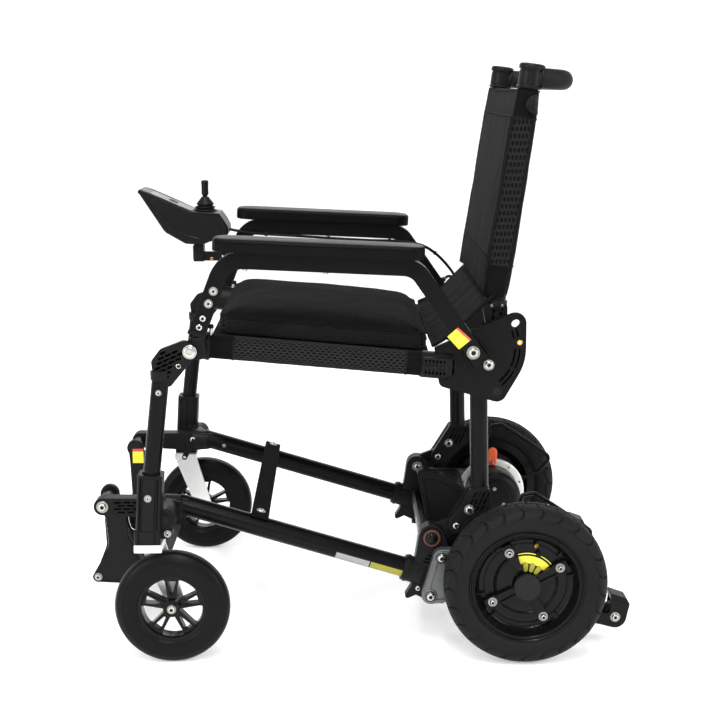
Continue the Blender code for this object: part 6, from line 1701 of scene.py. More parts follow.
def build_sling():
    """Fabric stretched between the two sleeves, on the crossbars and under the cushion."""
    front, back = FRONT_TOP[0] + 0.026, BACK_PIVOT[0] - 0.062
    half = SEAT_X - 0.0146

    def shape_at(u, v, w):
        y = (front + back) / 2 + v * (back - front) / 2
        return Vector((u * half, y, seat_line(y) + SLING_RISE + SLING_HALF * w))

    part, paints, _ = soft_box((40, 30, 2), shape_at, lambda axis, end, u, v, w: "flat_weave")
    work = Piece("seat_sling")
    work.take(part, paints)
    sling = work.finish("seat_frame", crisp=False)
    ruffle(sling, 0.0002, 0.060)


def build_crossbars():
    """Round bars under the cushion with their end collars."""
    half = SEAT_X - SEAT_TUBE_R - GAP
    for name, y in (("front", FRONT_TOP[0] + 0.052), ("rear", BACK_PIVOT[0] - 0.090)):
        work = Piece("seat_crossbar_tube_" + name)
        rod(work, seat_spot(-half, y), seat_spot(half, y), 0.010, "powder_tube", 0.0006, sides=36)
        for way in (-1, 1):
            rod(work, seat_spot(way * (half - 0.014), y), seat_spot(way * half, y), 0.0122, "powder_casting",
                0.0010, sides=36)
        work.finish("seat_frame", ["seat_crossbar_" + name])


# Cushion

SEAM_LEVEL = 7
ROUND_FROM = 0.84


def cushion_paint(axis, end, u, v, w):
    """Plain weave on top and round the upper edge, open spacer mesh on the sides."""
    if axis == 2:
        return "flat_weave"
    return "spacer_mesh" if w < 0.55 else "flat_weave"


def build_cushion():
    """Sewn foam cushion: crowned top, rounded edges, one corded seam and a flat underside on the sling."""
    front, back = FRONT_TOP[0] + 0.030, BACK_PIVOT[0] - 0.060
    half = POST_X + 0.006
    swell = sizes().cushion_swell

    def shape_at(u, v, w):
        y = (front + back) / 2 + v * (back - front) / 2
        edge = max(abs(u), abs(v)) ** 8
        near_u, near_v = (min(1, max(0, (abs(a) - ROUND_FROM) / 0.16)) for a in (u, v))
        round_off = (near_u * near_v) ** 2
        height = 0.0355 + 0.0110 * (1 - u * u) * (1 - v * v)
        base = seat_line(y) + 0.0119 + GAP
        rise = height * (w + 1) / 2 - 0.0075 * edge * max(w, 0) ** 2 + 0.0015 * edge * max(-w, 0)
        inset = 0.0015 + 0.0085 * max(w, 0) ** 4 + 0.0030 * max(-w, 0) ** 2 + 0.012 * round_off
        return Vector((u * half - math.copysign(inset * abs(u) ** 8, u),
                       y - math.copysign(inset * abs(v) ** 8, v), base + rise))

    counts = (46, 40, 9)
    work = Piece("seat_cushion_cover")
    part, paints, index = soft_box(counts, shape_at, cushion_paint)
    work.take(part, paints)
    cover = work.finish("seat_frame", ["seat_cushion"], crisp=False)

    def free(points):
        floor = np.array([seat_line(p[1]) + 0.0122 for p in points])
        return np.clip((points[:, 2] - floor) / 0.020, 0.0, 1.0)

    inflate(cover, swell, 4.0, free)
    ruffle(cover, 0.0011, 0.055, free)
    points = points_of(cover)
    run = [Vector(points[index[(i, j, SEAM_LEVEL)]]) for i, j in round_grid(counts)]
    seam = [(a + b * 2 + c) / 4 for a, b, c in zip(run[-1:] + run[:-1], run, run[1:] + run[:1])]
    finer(cover)
    piped("seat_cushion_piping", [seam], 0.0011, "seat_frame")
    pull = Piece("seat_cushion_zip")
    y = back - 0.004
    z = seat_line(y) + 0.020
    box(pull, (0.240, 0.0016, 0.0060), (0, y + 0.0025, z), "piping", 0.0, 0.0006)
    pull.finish("seat_frame")


# Back

BACK_LENGTH = 0.360
BACK_LEAN = math.radians(7.6)
POST_R = 0.0145
HANDLE_REACH = 0.0535
COVER_HALF = POST_X + 0.0215
# Share of the cover's height where its top band is sewn on
TOP_BAND = 0.86


def back_point(along, ahead, x=0.0):
    """A point on the back: distance up the posts from their foot, and ahead of them."""
    foot = shift(BACK_PIVOT, 0.041, 0.067)
    y = foot[0] + along * math.sin(BACK_LEAN) - ahead * math.cos(BACK_LEAN)
    z = foot[1] + along * math.cos(BACK_LEAN) + ahead * math.sin(BACK_LEAN)
    return (x, y, z)


def build_back_post(side, mark):
    """Round post with its slotted foot casting that turns on the side plate's pin."""
    work = Piece("back_post_tube_" + mark, side)
    rod(work, back_point(-0.012, 0, POST_X), back_point(BACK_LENGTH - 0.022, 0, POST_X), POST_R,
        "powder_tube", 0.0006, sides=48)
    top = back_point(-0.004, 0)[1:]
    outline = belt([(*BACK_PIVOT, 0.0125), (*shift(BACK_PIVOT, 0.049, 0.030), 0.009),
                    *rounds(top, (0.009, -0.005, 0.008), (-0.012, -0.005, 0.008)),
                    *rounds(BACK_PIVOT, (0.010, 0.035, -0.014), (-0.012, 0.016, 0.006))])
    lean = math.pi / 2 - BACK_LEAN
    slots = []
    for k in range(5):
        slots.append(stadium(shift(top, 0.0080 - 0.0009 * k, -0.0080 - 0.0070 * k), lean, 0.0044, 0.0044,
                             0.0008))
    for k in range(3):
        slots.append(stadium(shift(top, -0.0040 - 0.0009 * k, -0.0100 - 0.0105 * k), lean, 0.0080, 0.0032,
                             0.0010))
    for k in range(4):
        slots.append(stadium(shift(BACK_PIVOT, 0.012 + 0.0062 * k, 0.0175 + 0.0046 * k), math.radians(118),
                             0.0080, 0.0022, 0.0008))
    for x_from, x_to in ((POST_X, POST_X + 0.0125), (POST_X, POST_X - 0.0125)):
        slotted(work, [outline], slots, x_from, x_to, 0.0028, "powder_casting", 0.0013)
    peg(work, BACK_PIVOT, POST_X, SEAT_X - 0.0043, 0.0120, "powder_casting", 0.0010)
    rod(work, back_point(-0.006, 0, POST_X), back_point(0.003, 0, POST_X), POST_R + 0.0030, "powder_casting",
        0.0010, sides=48)
    for dy in (-0.0075, 0.0075):
        side_screw(work, shift(top, dy, -0.001), POST_X + 0.0150, 0.0024, 0.0012)
    work.finish("backrest", ["back_post_" + mark])


def build_push_handle():
    """Foam-covered push bar between the two turned post caps, with its catches."""
    work = Piece("push_bar")
    centre = back_point(BACK_LENGTH - 0.019, 0)
    y, z = centre[1], centre[2]
    bend = 0.036
    end = z - 0.0055
    half_run = [(POST_X, y + 0.006, z - 0.0015), (POST_X, y + HANDLE_REACH - bend, z - 0.0028)]
    for k in range(1, 10):
        turn = math.radians(10 * k)
        drop = z - 0.0028 - 0.0027 * math.sin(turn)
        half_run.append((POST_X - bend * (1 - math.cos(turn)),
                         y + HANDLE_REACH - bend + bend * math.sin(turn), drop))
    middle = [(x, y + HANDLE_REACH, end) for x in np.linspace(POST_X - bend - 0.012, 0.0, 12)[:-1]]
    run = half_run + middle + [(0.0, y + HANDLE_REACH, end)]
    run += [(-px, py, pz) for px, py, pz in run[-2::-1]]
    sweep(work, run, 0.0150, "eva_foam", 32)
    for way in (1, -1):
        low = Vector(back_point(BACK_LENGTH - 0.037, 0, way * POST_X))
        high = Vector(back_point(BACK_LENGTH, 0, way * POST_X))
        profile = [(0, POST_R - 0.002), (0, 0.0180), (0.0008, 0.0188), (0.0026, 0.0192), (0.0034, 0.0186),
                   (0.0036, 0.0178), (0.0052, 0.0174), (0.0058, 0.0180), (0.0250, 0.0180), (0.0256, 0.0172),
                   (0.0276, 0.0172), (0.0282, 0.0190), (0.0296, 0.0196), (0.0330, 0.0196), (0.0352, 0.0188),
                   (0.0364, 0.0168), (0.0370, 0.0120), (0.0370, 0)]
        spin(work, profile, upright(low, high), "textured_abs", 56)
        # Half-round catch let into the cover's side
        catch = from_axle(9.6, 848.8)
        arc = [shift(catch, 0.0180 * math.cos(math.radians(t)),
                     0.0147 * math.sin(math.radians(t))) for t in range(90, 271, 12)]
        plate(work, [arc], way * (POST_X + 0.010), way * (COVER_HALF + 0.0022), "textured_abs", 0.0010, 3)
        bar = belt(rounds(catch, (-0.0028, -0.0115, 0.0020), (-0.0028, 0.0115, 0.0020)))
        plate(work, [bar], way * (POST_X + 0.012), way * (COVER_HALF + 0.0036), "hub_cap", 0.0009, 3)
        cuff = [(way * POST_X, y + 0.0150, z - 0.0018), (way * POST_X, y + 0.0190, z - 0.0021)]
        rod(work, cuff[0], cuff[1], 0.0162, "textured_abs", 0.0010, sides=40)
    work.finish("backrest", ["push_handle"], crisp=False)


def cover_paint(axis, end, u, v, w):
    """The back cover's panels: plain bands above and below, a ribbed front and open cells on the sides."""
    along = (w + 1) / 2
    if axis == 2 or along > TOP_BAND:
        return "flat_weave"
    if axis == 0:
        return "cell_mesh" if along > 0.16 else "flat_weave"
    if end < 0:
        return "ribbed_mesh" if abs(u) < 0.93 and along > 0.205 else "flat_weave"
    return "spacer_mesh" if abs(u) < 0.62 and along > 0.16 else "flat_weave"


def build_back_cover():
    """Padded cover over both posts: flat ribbed front, hollow back and piped seams; then the flap."""
    length, low = BACK_LENGTH - 0.037 + 0.001, 0.004
    steps = (0.0, 0.070, 0.150, 0.215, 0.275, 0.324)
    ahead = (0.0220, 0.0212, 0.0195, 0.0185, 0.0170, 0.0150)
    behind = (0.0100, 0.0106, 0.0114, 0.0118, 0.0124, 0.0148)

    def shape_at(u, v, w):
        along = low + (w + 1) / 2 * (length - low)
        middle = 1 - min(1.0, abs(u) / 0.82) ** 4
        front = float(np.interp(along, steps, ahead)) + 0.0010 * middle
        # Over the posts the cover is as deep as they are, and it narrows outside them
        outside = min(1.0, max(0.0, (abs(u) - 0.95) / 0.05)) ** 2
        full = float(np.interp(along, (0.0, 0.29), (0.0160, 0.0175)))
        rear = -full + (full - float(np.interp(along, steps, behind))) * outside + 0.018 * middle
        share = (1 + v) / 2
        corner = 0.0050 * (abs(u) ** 14) * (abs(v) ** 10)
        out = math.copysign(COVER_HALF - 0.0010 - corner - 0.0030 * abs(w) ** 18, u) * abs(u)
        return Vector(back_point(along - math.copysign(0.003 * abs(v) ** 8 * abs(w) ** 8, w),
                                 front + (rear - front) * share, out))

    counts = (56, 8, 44)
    work = Piece("back_cover_panels")
    part, paints, index = soft_box(counts, shape_at, cover_paint)
    work.take(part, paints)
    cover = work.finish("backrest", ["back_upholstery"], crisp=False)
    inflate(cover, sizes().back_swell, 3.0)
    ruffle(cover, 0.0009, 0.060)
    points = points_of(cover)

    def loop_at(level, front):
        return [Vector(points[index[(i, j, front if j == 0 else level)]]) for i, j in round_grid(counts)]

    top_seam = round(counts[2] * TOP_BAND)
    runs = [loop_at(7, 9), loop_at(top_seam, top_seam), loop_at(counts[2], counts[2])]
    piped("back_cover_seams", runs, 0.0012, "backrest")
    edges = Piece("back_cover_piping")
    for side_at in (0, counts[0]):
        for column in (0, counts[1]):
            run = [Vector(points[index[(side_at, column, k)]]) for k in range(counts[2] + 1)]
            sweep(edges, run, 0.0012, "piping", 8)
    for share in (0.04, 0.96):
        run = [Vector(points[index[(round(counts[0] * share), 0, k)]]) for k in range(4, 39)]
        sweep(edges, run, 0.0012, "piping", 8)
    edges.finish("backrest", crisp=False)
    finer(cover)
    build_flap()


def build_flap():
    """Ribbed flap from the cover's foot down to the cushion's rear edge, with a rolled hem."""
    fall = ((-40, 574), (-50, 563), (-66, 548), (-83, 531), (-100, 514), (-113, 502), (-128, 490.5),
            (-141, 483))
    spine = smooth_run([(*from_axle(y, z), 0.0) for y, z in fall], 4)
    count = len(spine) - 1

    def shape_at(u, v, w):
        place = (w + 1) / 2 * count
        low = min(int(place), count - 1)
        spot = spine[low].lerp(spine[low + 1], place - low)
        slope = heading(spine[low], spine[low + 1])
        half = COVER_HALF - 0.0030 - 0.0130 * (w + 1) / 2
        rolled = 0.0006 * max(0.0, (abs(u) - 0.95) / 0.05)
        thick = (0.0022 + rolled) * v + 0.0006 * math.cos(u * half / 0.0110) * (1 - abs(u)) * (v > 0)
        return Vector((u * half, spot.x + thick * math.sin(slope), spot.y - thick * math.cos(slope)))

    def paint_at(axis, end, u, v, w):
        return "ribbed_mesh" if abs(u) < 0.95 else "flat_weave"

    columns, rows = 72, 28
    work = Piece("back_cover_flap")
    part, paints, index = soft_box((columns, 2, rows), shape_at, paint_at)
    work.take(part, paints)
    flap = work.finish("backrest", crisp=False)
    ruffle(flap, 0.0008, 0.050)
    points = points_of(flap)
    hems = Piece("back_cover_flap_hems")
    for column in (0, columns):
        sweep(hems, [Vector(points[index[(column, 1, k)]]) for k in range(4, rows + 1)], 0.0026, "piping", 10)
    sweep(hems, [Vector(points[index[(k, 1, rows)]]) for k in range(columns + 1)], 0.0026, "piping", 10)
    hems.finish("backrest", crisp=False)
    finer(flap)


# Armrests


def build_armrest(side, mark, word):
    """Flat-sided bent tube with its raised borders, welds and screws."""
    work = Piece("armrest_bar_" + mark, side)
    path = [ARM_TAIL, ARM_REAR_KNEE, ARM_FRONT_KNEE, ARM_FOOT]
    outline = ribbon(path, [0.034, 0.040], ARM_HALF, 4)
    inner = [along_line(ARM_REAR_KNEE, ARM_TAIL, 0.045), along_line(ARM_REAR_KNEE, ARM_TAIL, 0.118)]
    front = [along_line(ARM_FRONT_KNEE, ARM_FOOT, 0.030), along_line(ARM_FRONT_KNEE, ARM_FOOT, 0.104)]
    channels = []
    for a, b in (inner, front):
        centre = ((a[0] + b[0]) / 2, (a[1] + b[1]) / 2)
        channels.append(stadium(centre, heading(a, b), math.dist(a, b), 0.0178, 0.003))
    x_in, x_out = ARM_X - ARM_W / 2, ARM_X + ARM_W / 2
    hole = ring_of(BACK_PIVOT, 0.0060, 20)
    slotted(work, [outline, hole], channels, ARM_X, x_out, 0.0008, "powder_tube", 0.0022)
    slotted(work, [outline, hole], channels, ARM_X, x_in, 0.0008, "powder_tube", 0.0022)
    for knee, before, after, radius in ((ARM_REAR_KNEE, ARM_TAIL, ARM_FRONT_KNEE, 0.034),
                                        (ARM_FRONT_KNEE, ARM_REAR_KNEE, ARM_FOOT, 0.040)):
        bisect = Vector((math.cos(heading(knee, before)) + math.cos(heading(knee, after)),
                         math.sin(heading(knee, before)) + math.sin(heading(knee, after))))
        bisect.normalize()
        turn = math.pi - abs(heading(knee, before) - heading(knee, after))
        inward = radius * (1 / math.cos(turn / 2) - 1)
        spot = shift(knee, bisect.x * inward, bisect.y * inward)
        box(work, (ARM_W + 0.0008, 0.0014, 2 * ARM_HALF + 0.0002), (ARM_X, *spot), "powder_tube",
            math.atan2(bisect.y, bisect.x) - math.pi / 2, 0.0005)
    for spot, washer in (((-471.3, 578.5), 0.0066), ((-479.1, 559.9), 0.0066), ((-488.1, 537.6), 0.0),
                         ((-493.7, 524.2), 0.0)):
        side_screw(work, from_axle(*spot), x_out - 0.0002, 0.0044 if washer else 0.0046, 0.0018, washer)
    slope = heading(ARM_FRONT_KNEE, ARM_REAR_KNEE)
    for distance in (0.030, 0.150):
        seat = along_line(ARM_FRONT_KNEE, ARM_REAR_KNEE, distance)
        base = Vector((ARM_X, seat[0] + ARM_HALF * math.sin(slope), seat[1] - ARM_HALF * math.cos(slope)))
        screw(work, upright(base, base + Vector((0, math.sin(slope), -math.cos(slope)))), 0.0042, 0.0024,
              0.0058)
    if side > 0:
        strip_films(work, x_out)
    else:
        turn = heading(ARM_REAR_KNEE, ARM_TAIL)
        root = along_line(ARM_REAR_KNEE, ARM_TAIL, GLAND_RUN)
        out = Vector((0, -math.sin(turn), math.cos(turn)))
        start = Vector((ARM_X, *root)) + out * (ARM_HALF - 0.001)
        gland = [(0, 0), (0, 0.0052), (0.0022, 0.0052), (0.0026, 0.0046), (0.0050, 0.0042), (0.0068, 0.0034),
                 (0.0070, 0.0)]
        spin(work, gland, upright(start, start + out), "soft_rubber", 28)
    work.finish("armrest_" + word, ["armrest_tube_" + mark])


def strip_films(work, x):
    """Blank yellow film with a red-orange strip on the rear strut."""
    quad = [from_axle(*spot) for spot in STRUT_FILM_MM]
    plate(work, [quad], x - 0.0014, x + 0.0002, "yellow_film", 0.0)
    a, b = quad[1], quad[2]
    away = Vector((quad[1][0] - quad[0][0], quad[1][1] - quad[0][1])).normalized() * 0.0035
    strip = [a, b, shift(b, -away.x, -away.y), shift(a, -away.x, -away.y)]
    plate(work, [strip], x - 0.0014, x + 0.0003, "orange_film", 0.0)


def build_arm_pad(side, mark, word):
    """Integral-skin foam rest on the armrest: crowned, with rounded ends and its moulding seam."""
    slope = heading(ARM_FRONT_KNEE, ARM_REAR_KNEE)
    middle = ((ARM_FRONT_KNEE[0] + ARM_REAR_KNEE[0]) / 2 - 0.003, (ARM_FRONT_KNEE[1] + ARM_REAR_KNEE[1]) / 2)
    lift = ARM_HALF + GAP
    centre = (PAD_X, middle[0] - lift * math.sin(slope), middle[1] + lift * math.cos(slope))
    place = Matrix.Translation(centre) @ Matrix.Rotation(slope, 4, "X")
    work = Piece("armrest_pad_foam_" + mark, side)
    levels = [(0.0, 0.0040), (0.0, 0.0012), (0.0010, 0.0002), (0.0030, 0.0), (0.0135, 0.0), (0.0139, 0.0007),
              (0.0145, 0.0007), (0.0149, 0.0), (0.0165, 0.0003), (0.0182, 0.0016), (0.0193, 0.0038),
              (0.0200, 0.0070), (0.0207, 0.0130), (0.0212, 0.0200), (0.0214, 0.0270), (0.0215, 0.0305)]
    stack(work, 0.0315, 0.1570, 0.024, levels, place, "pad_skin", 6)
    pad = work.finish("armrest_" + word, ["armrest_pad_" + mark], crisp=False)


# Controller

STRUT_FILM_MM = ((-124.0, 509.5), (-108.6, 523.4), (-88.2, 505.3), (-106.5, 490.2))
CONTROL_X = -ARM_X
CONTROL_W = 0.072
PANEL_SLOPE = math.radians(-23.44)
CABLE_R = 0.0026
GLAND_RUN = 0.119


def near_stick(dy, dz):
    return shift(STICK_PIVOT, dy, dz)


def build_control_case():
    """Case with its raised rims, panel, belly and the ring round the button."""
    work = Piece("controller_case")
    x_out, x_in = CONTROL_X - CONTROL_W / 2, CONTROL_X + CONTROL_W / 2
    circles = [(-0.1130, 0.0390, 0.0042), (-0.0570, -0.0190, 0.0200), (-0.0300, -0.0415, 0.0140),
               (-0.0045, -0.0505, 0.0062), (0.0380, -0.0345, 0.0060), (0.0380, -0.0260, 0.0055),
               (0.0250, -0.0042, 0.0050), (-0.0135, 0.0310, -0.0300)]
    pillow(work, [(*near_stick(y, z), r) for y, z, r in circles], x_out, x_in, 0.0036, "textured_abs")
    def line(spots, steps):
        return smooth_run([(0.0, *near_stick(y, z)) for y, z in spots], steps)

    top = line([(-0.1148, 0.0360), (-0.1110, 0.0402), (-0.0700, 0.0235), (-0.0260, 0.0035),
                (-0.0180, 0.0012), (0.0020, 0.0000), (0.0250, -0.0018)], 5)
    belly = line([(-0.1100, 0.0330), (-0.0740, -0.0060), (-0.0420, -0.0350), (-0.0080, -0.0460)], 5)
    heel = line([(0.0265, -0.0045), (0.0340, -0.0150), (0.0405, -0.0280)], 4)
    for x, way in ((x_in, 1), (x_out, -1)):
        for run, radius, depth, look in ((top, 0.0024, 0.0016, "smooth_abs"),
                                         (belly, 0.0012, 0.0002, "smooth_abs"),
                                         (heel, 0.0036, 0.0026, "textured_abs")):
            sweep(work, [(x - way * depth, p.y, p.z) for p in run], radius, look, 16)
    bump = near_stick(-0.0210, -0.0520)
    plate(work, [belt([(*bump, 0.0040), (*shift(bump, 0.009, 0.004), 0.0040)])], CONTROL_X - 0.012,
          CONTROL_X + 0.012, "textured_abs", 0.0012, 3)
    seat = Vector((CONTROL_X, *near_stick(-0.0577, 0.0191)))
    place = Matrix.Translation(seat) @ Matrix.Rotation(PANEL_SLOPE, 4, "X")
    stack(work, 0.0285, 0.0410, 0.006, [(-0.002, 0.0), (0.0002, 0.0), (0.0006, 0.0004), (0.0006, 0.002)],
          place @ Matrix.Translation((0, -0.002, 0)), "smooth_abs")
    ring = [(-0.0010, 0.0074), (-0.0010, 0.0096), (0.0010, 0.0096), (0.0014, 0.0090), (0.0014, 0.0080),
            (0.0008, 0.0074)]
    spin(work, ring, place, "textured_abs", 48, loop=True)
    collar = [(-0.006, 0.0180), (-0.006, 0.0250), (0.0006, 0.0250), (0.0014, 0.0240), (0.0014, 0.0222),
              (0.0002, 0.0180)]
    spin(work, collar, Matrix.Translation((CONTROL_X, *near_stick(0, 0.0006))), "textured_abs", 64, loop=True)
    for x in (-0.026, 0.026):
        spot = Vector((CONTROL_X + x, *near_stick(-0.0200, -0.0478)))
        screw(work, upright(spot, spot + Vector((0, -0.5, -1))), 0.0026, 0.0012)
    work.finish("armrest_right", ["controller_body"])
    button = Piece("power_button_cap")
    dome = [(-0.0030, 0), (-0.0030, 0.0066), (0.0008, 0.0066), (0.0012, 0.0062), (0.0012, 0.0054),
            (0.0007, 0.0050), (0.0005, 0.0030), (0.0004, 0)]
    spin(button, dome, place, "smooth_abs", 40)
    button.finish("power_button", ["power_button"])


def build_stick():
    """Bellows boot that tips with the stick, and the barrelled knob."""
    place = Matrix.Translation((CONTROL_X, *STICK_PIVOT))
    boot = Piece("joystick_bellows")
    profile = [(-0.0117, 0), (-0.0098, 0.0064), (-0.0050, 0.0106), (0.0, 0.0125), (0.0018, 0.0190),
               (0.0026, 0.0208), (0.0034, 0.0212), (0.0044, 0.0206), (0.0062, 0.0160), (0.0068, 0.0158),
               (0.0082, 0.0184), (0.0090, 0.0190), (0.0098, 0.0186), (0.0116, 0.0136), (0.0122, 0.0134),
               (0.0136, 0.0156), (0.0144, 0.0162), (0.0152, 0.0158), (0.0180, 0.0138), (0.0215, 0.0108),
               (0.0250, 0.0082), (0.0272, 0.0066), (0.0280, 0.0050), (0.0281, 0)]
    spin(boot, profile, place, "soft_rubber", 72)
    boot.finish("joystick_pitch", ["joystick_boot"])
    knob = Piece("joystick_knob")
    profile = [(0.0284, 0), (0.0284, 0.0040), (0.0300, 0.0050), (0.0312, 0.0054), (0.0318, 0.0058),
               (0.0324, 0.0066), (0.0350, 0.0064), (0.0400, 0.0062), (0.0450, 0.0062), (0.0500, 0.0064),
               (0.0540, 0.0066), (0.0556, 0.0064), (0.0568, 0.0056), (0.0574, 0.0044), (0.0572, 0.0030),
               (0.0570, 0)]
    spin(knob, profile, place, "soft_rubber", 56)
    knob.finish("joystick_roll", ["joystick_stick"])


def build_control_bracket():
    """Perforated flat bar from the armrest's strut and the two-part block under the case."""
    work = Piece("controller_mount")
    x_from = -(ARM_X - ARM_W / 2) + GAP
    x_to = x_from + 0.0055
    strut = along_line(ARM_FRONT_KNEE, ARM_FOOT, 0.060)
    front = near_stick(-0.012, -0.0795)
    bar = belt([(*front, 0.0085), (*strut, 0.0085)])
    holes = [ring_of(along_line(strut, front, 0.0095 + 0.0068 * k), 0.0021, 4) for k in range(3)]
    plate(work, [bar] + holes, x_from, x_to, "powder_casting", 0.0007)
    top = near_stick(0, -0.0572)[1] - GAP
    low = front[1] - 0.010
    x = x_to - 0.0135
    box(work, (0.030, 0.0195, (top - low) * 0.52), (x, front[0], low + (top - low) * 0.26), "powder_casting",
        0, 0.0012, 3)
    box(work, (0.028, 0.0180, (top - low) * 0.47), (x, front[0], top - (top - low) * 0.235), "textured_abs",
        0, 0.0012, 3)
    box(work, (0.012, 0.0016, (top - low) * 0.80), (x_to - 0.0045, front[0] - 0.0100, (top + low) / 2),
        "cast_aluminium", 0, 0.0005)
    side_screw(work, from_axle(-518.6, 565), x_to - 0.0002, 0.0034, 0.0022, 0.0, "turned_brass")
    side_screw(work, strut, x_to - 0.0002, 0.0040, 0.0024, 0.0058)
    work.finish("armrest_right", ["controller_bracket"])


def cable_route():
    """Centre line of the lead: from the controller, along the right armrest, bowed into the strut's gland."""
    x = -(ARM_X - ARM_W / 2 - CABLE_R - GAP)
    turn = heading(ARM_REAR_KNEE, ARM_TAIL)
    out = (-math.sin(turn), math.cos(turn))
    face = shift(along_line(ARM_REAR_KNEE, ARM_TAIL, GLAND_RUN), (ARM_HALF + 0.006) * out[0],
                 (ARM_HALF + 0.006) * out[1])
    route = [
        (x, *near_stick(0.0446, -0.0305)),
        (x, *shift(ARM_FRONT_KNEE, 0.012, -0.014)),
        (x, *shift(ARM_FRONT_KNEE, 0.090, -0.019)),
        (x, *shift(ARM_FRONT_KNEE, 0.165, -0.024)),
        (x, *shift(ARM_REAR_KNEE, -0.055, -0.0145)),
        (x, *shift(ARM_REAR_KNEE, -0.005, -0.016)),
        (x + 0.002, *shift(ARM_REAR_KNEE, 0.040, -0.024)),
        (x - 0.003, *shift(ARM_REAR_KNEE, 0.073, -0.047)),
        (x - 0.012, face[0] + out[0] * 0.016 + 0.004, face[1] + out[1] * 0.016 - 0.004),
        (-ARM_X, face[0] + out[0] * 0.007, face[1] + out[1] * 0.007),
        (-ARM_X, face[0] + out[0] * GAP, face[1] + out[1] * GAP),
    ]
    return smooth_run(route, 3)


def build_cable():
    """The controller's lead, in a soft jacket, with the clips that hold it on the armrest."""
    route = cable_route()
    line = bpy.data.curves.new("controller_lead", "CURVE")
    line.dimensions = "3D"
    line.bevel_depth = CABLE_R
    line.bevel_resolution = 5
    line.use_fill_caps = True
    run = line.splines.new("POLY")
    run.points.add(len(route) - 1)
    for point, spot in zip(run.points, route):
        point.co = (*spot, 1.0)
    run.use_smooth = True
    line.materials.append(paint_named("cable_jacket"))
    lead = placed("controller_lead", line)
    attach(lead, "armrest_right")
    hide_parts("controller_cable")
    clips = Piece("controller_lead_clips")
    for share in (0.13, 0.45, 0.66):
        at = route[round(share * (len(route) - 1))]
        slope = heading(ARM_FRONT_KNEE, ARM_REAR_KNEE)
        box(clips, (0.0066, 0.0060, 0.0072), (at.x - 0.0003, at.y, at.z), "textured_abs", slope, 0.0016, 3)
    clips.finish("armrest_right")


# Footrest

# Leaves the casters room to swivel
HANGER_HALF = LEG_X - 0.033 - 0.089 - 0.002
FOOT_BOTTOM = FOOT_PIVOT[1] - 0.149


def build_foot_hanger():
    """Stubs in the front arms and the two curved side plates that carry the board."""
    work = Piece("foot_hanger_plates")
    half = FRAME_HALF - 0.012 - GAP
    for way in (1, -1):
        peg(work, FOOT_PIVOT, *sorted((way * (HANGER_HALF - 0.003), way * half)), 0.0095, "powder_tube",
            0.0006, 40)
        peg(work, FOOT_PIVOT, *sorted((way * HANGER_HALF, way * (FRAME_HALF + 0.0135))), 0.0055, "zinc_steel")
    y = FOOT_PIVOT[0]
    circles = [(*FOOT_PIVOT, 0.0125), (y - 0.044, FOOT_PIVOT[1] - 0.082, -0.038), (*PLATE_PIVOT, 0.0085),
               (y + 0.052, FOOT_BOTTOM + 0.0045, 0.0105), (y + 0.070, FOOT_BOTTOM + 0.085, -0.044),
               (y + 0.016, FOOT_BOTTOM + 0.131, 0.006)]
    outline = belt(circles, 6)
    border = belt([(a, b, r + 0.0028 if r < 0 else max(r - 0.0028, 0.001)) for a, b, r in circles], 6)
    for way in (1, -1):
        x_in, x_out = way * (HANGER_HALF - 0.005), way * HANGER_HALF
        plate(work, [outline], x_in, x_out, "smooth_abs", 0.0010, 3)
        plate(work, [outline, border], x_out - way * 0.001, x_out + way * 0.0014, "smooth_abs", 0.0006)
        place = across(x_out, FOOT_PIVOT) @ Matrix.Diagonal((1, 1, way, 1))
        spin(work, [(-0.004, 0), (-0.004, 0.0150), (0.0050, 0.0150), (0.0062, 0.0140), (0.0062, 0.0)], place,
             "powder_casting", 40)
        for spot in (PLATE_PIVOT, (y + 0.052, FOOT_BOTTOM + 0.0060)):
            side_screw(work, spot, x_out + way * 0.0002, 0.0048, way * 0.0024, 0.0068)
        side_screw(work, FOOT_PIVOT, way * (FRAME_HALF + 0.0123), 0.0066, way * 0.0030, 0.0093)
    patch = [from_axle(*spot) for spot in ((-661.0, 204.5), (-641.5, 204.5), (-641.5, 226.0),
                                           (-661.0, 226.0))]
    face = -(HANGER_HALF - 0.005)
    plate(work, [patch], face - 0.0004, face + 0.0004, "yellow_film", 0.0)
    strip = [patch[3], patch[2], shift(patch[2], 0, 0.0050), shift(patch[3], 0, 0.0050)]
    plate(work, [strip], face - 0.0004, face + 0.0005, "orange_film", 0.0)
    reach = HANGER_HALF - 0.002
    peg(work, (y + 0.052, PLATE_PIVOT[1] - 0.0101), -reach, reach, 0.0040, "zinc_steel", 0.0005, 24)
    peg(work, PLATE_PIVOT, -HANGER_HALF - 0.002, HANGER_HALF + 0.002, 0.0035, "zinc_steel", 0.0005, 24)
    work.finish("foot_hanger", ["foot_hanger"])


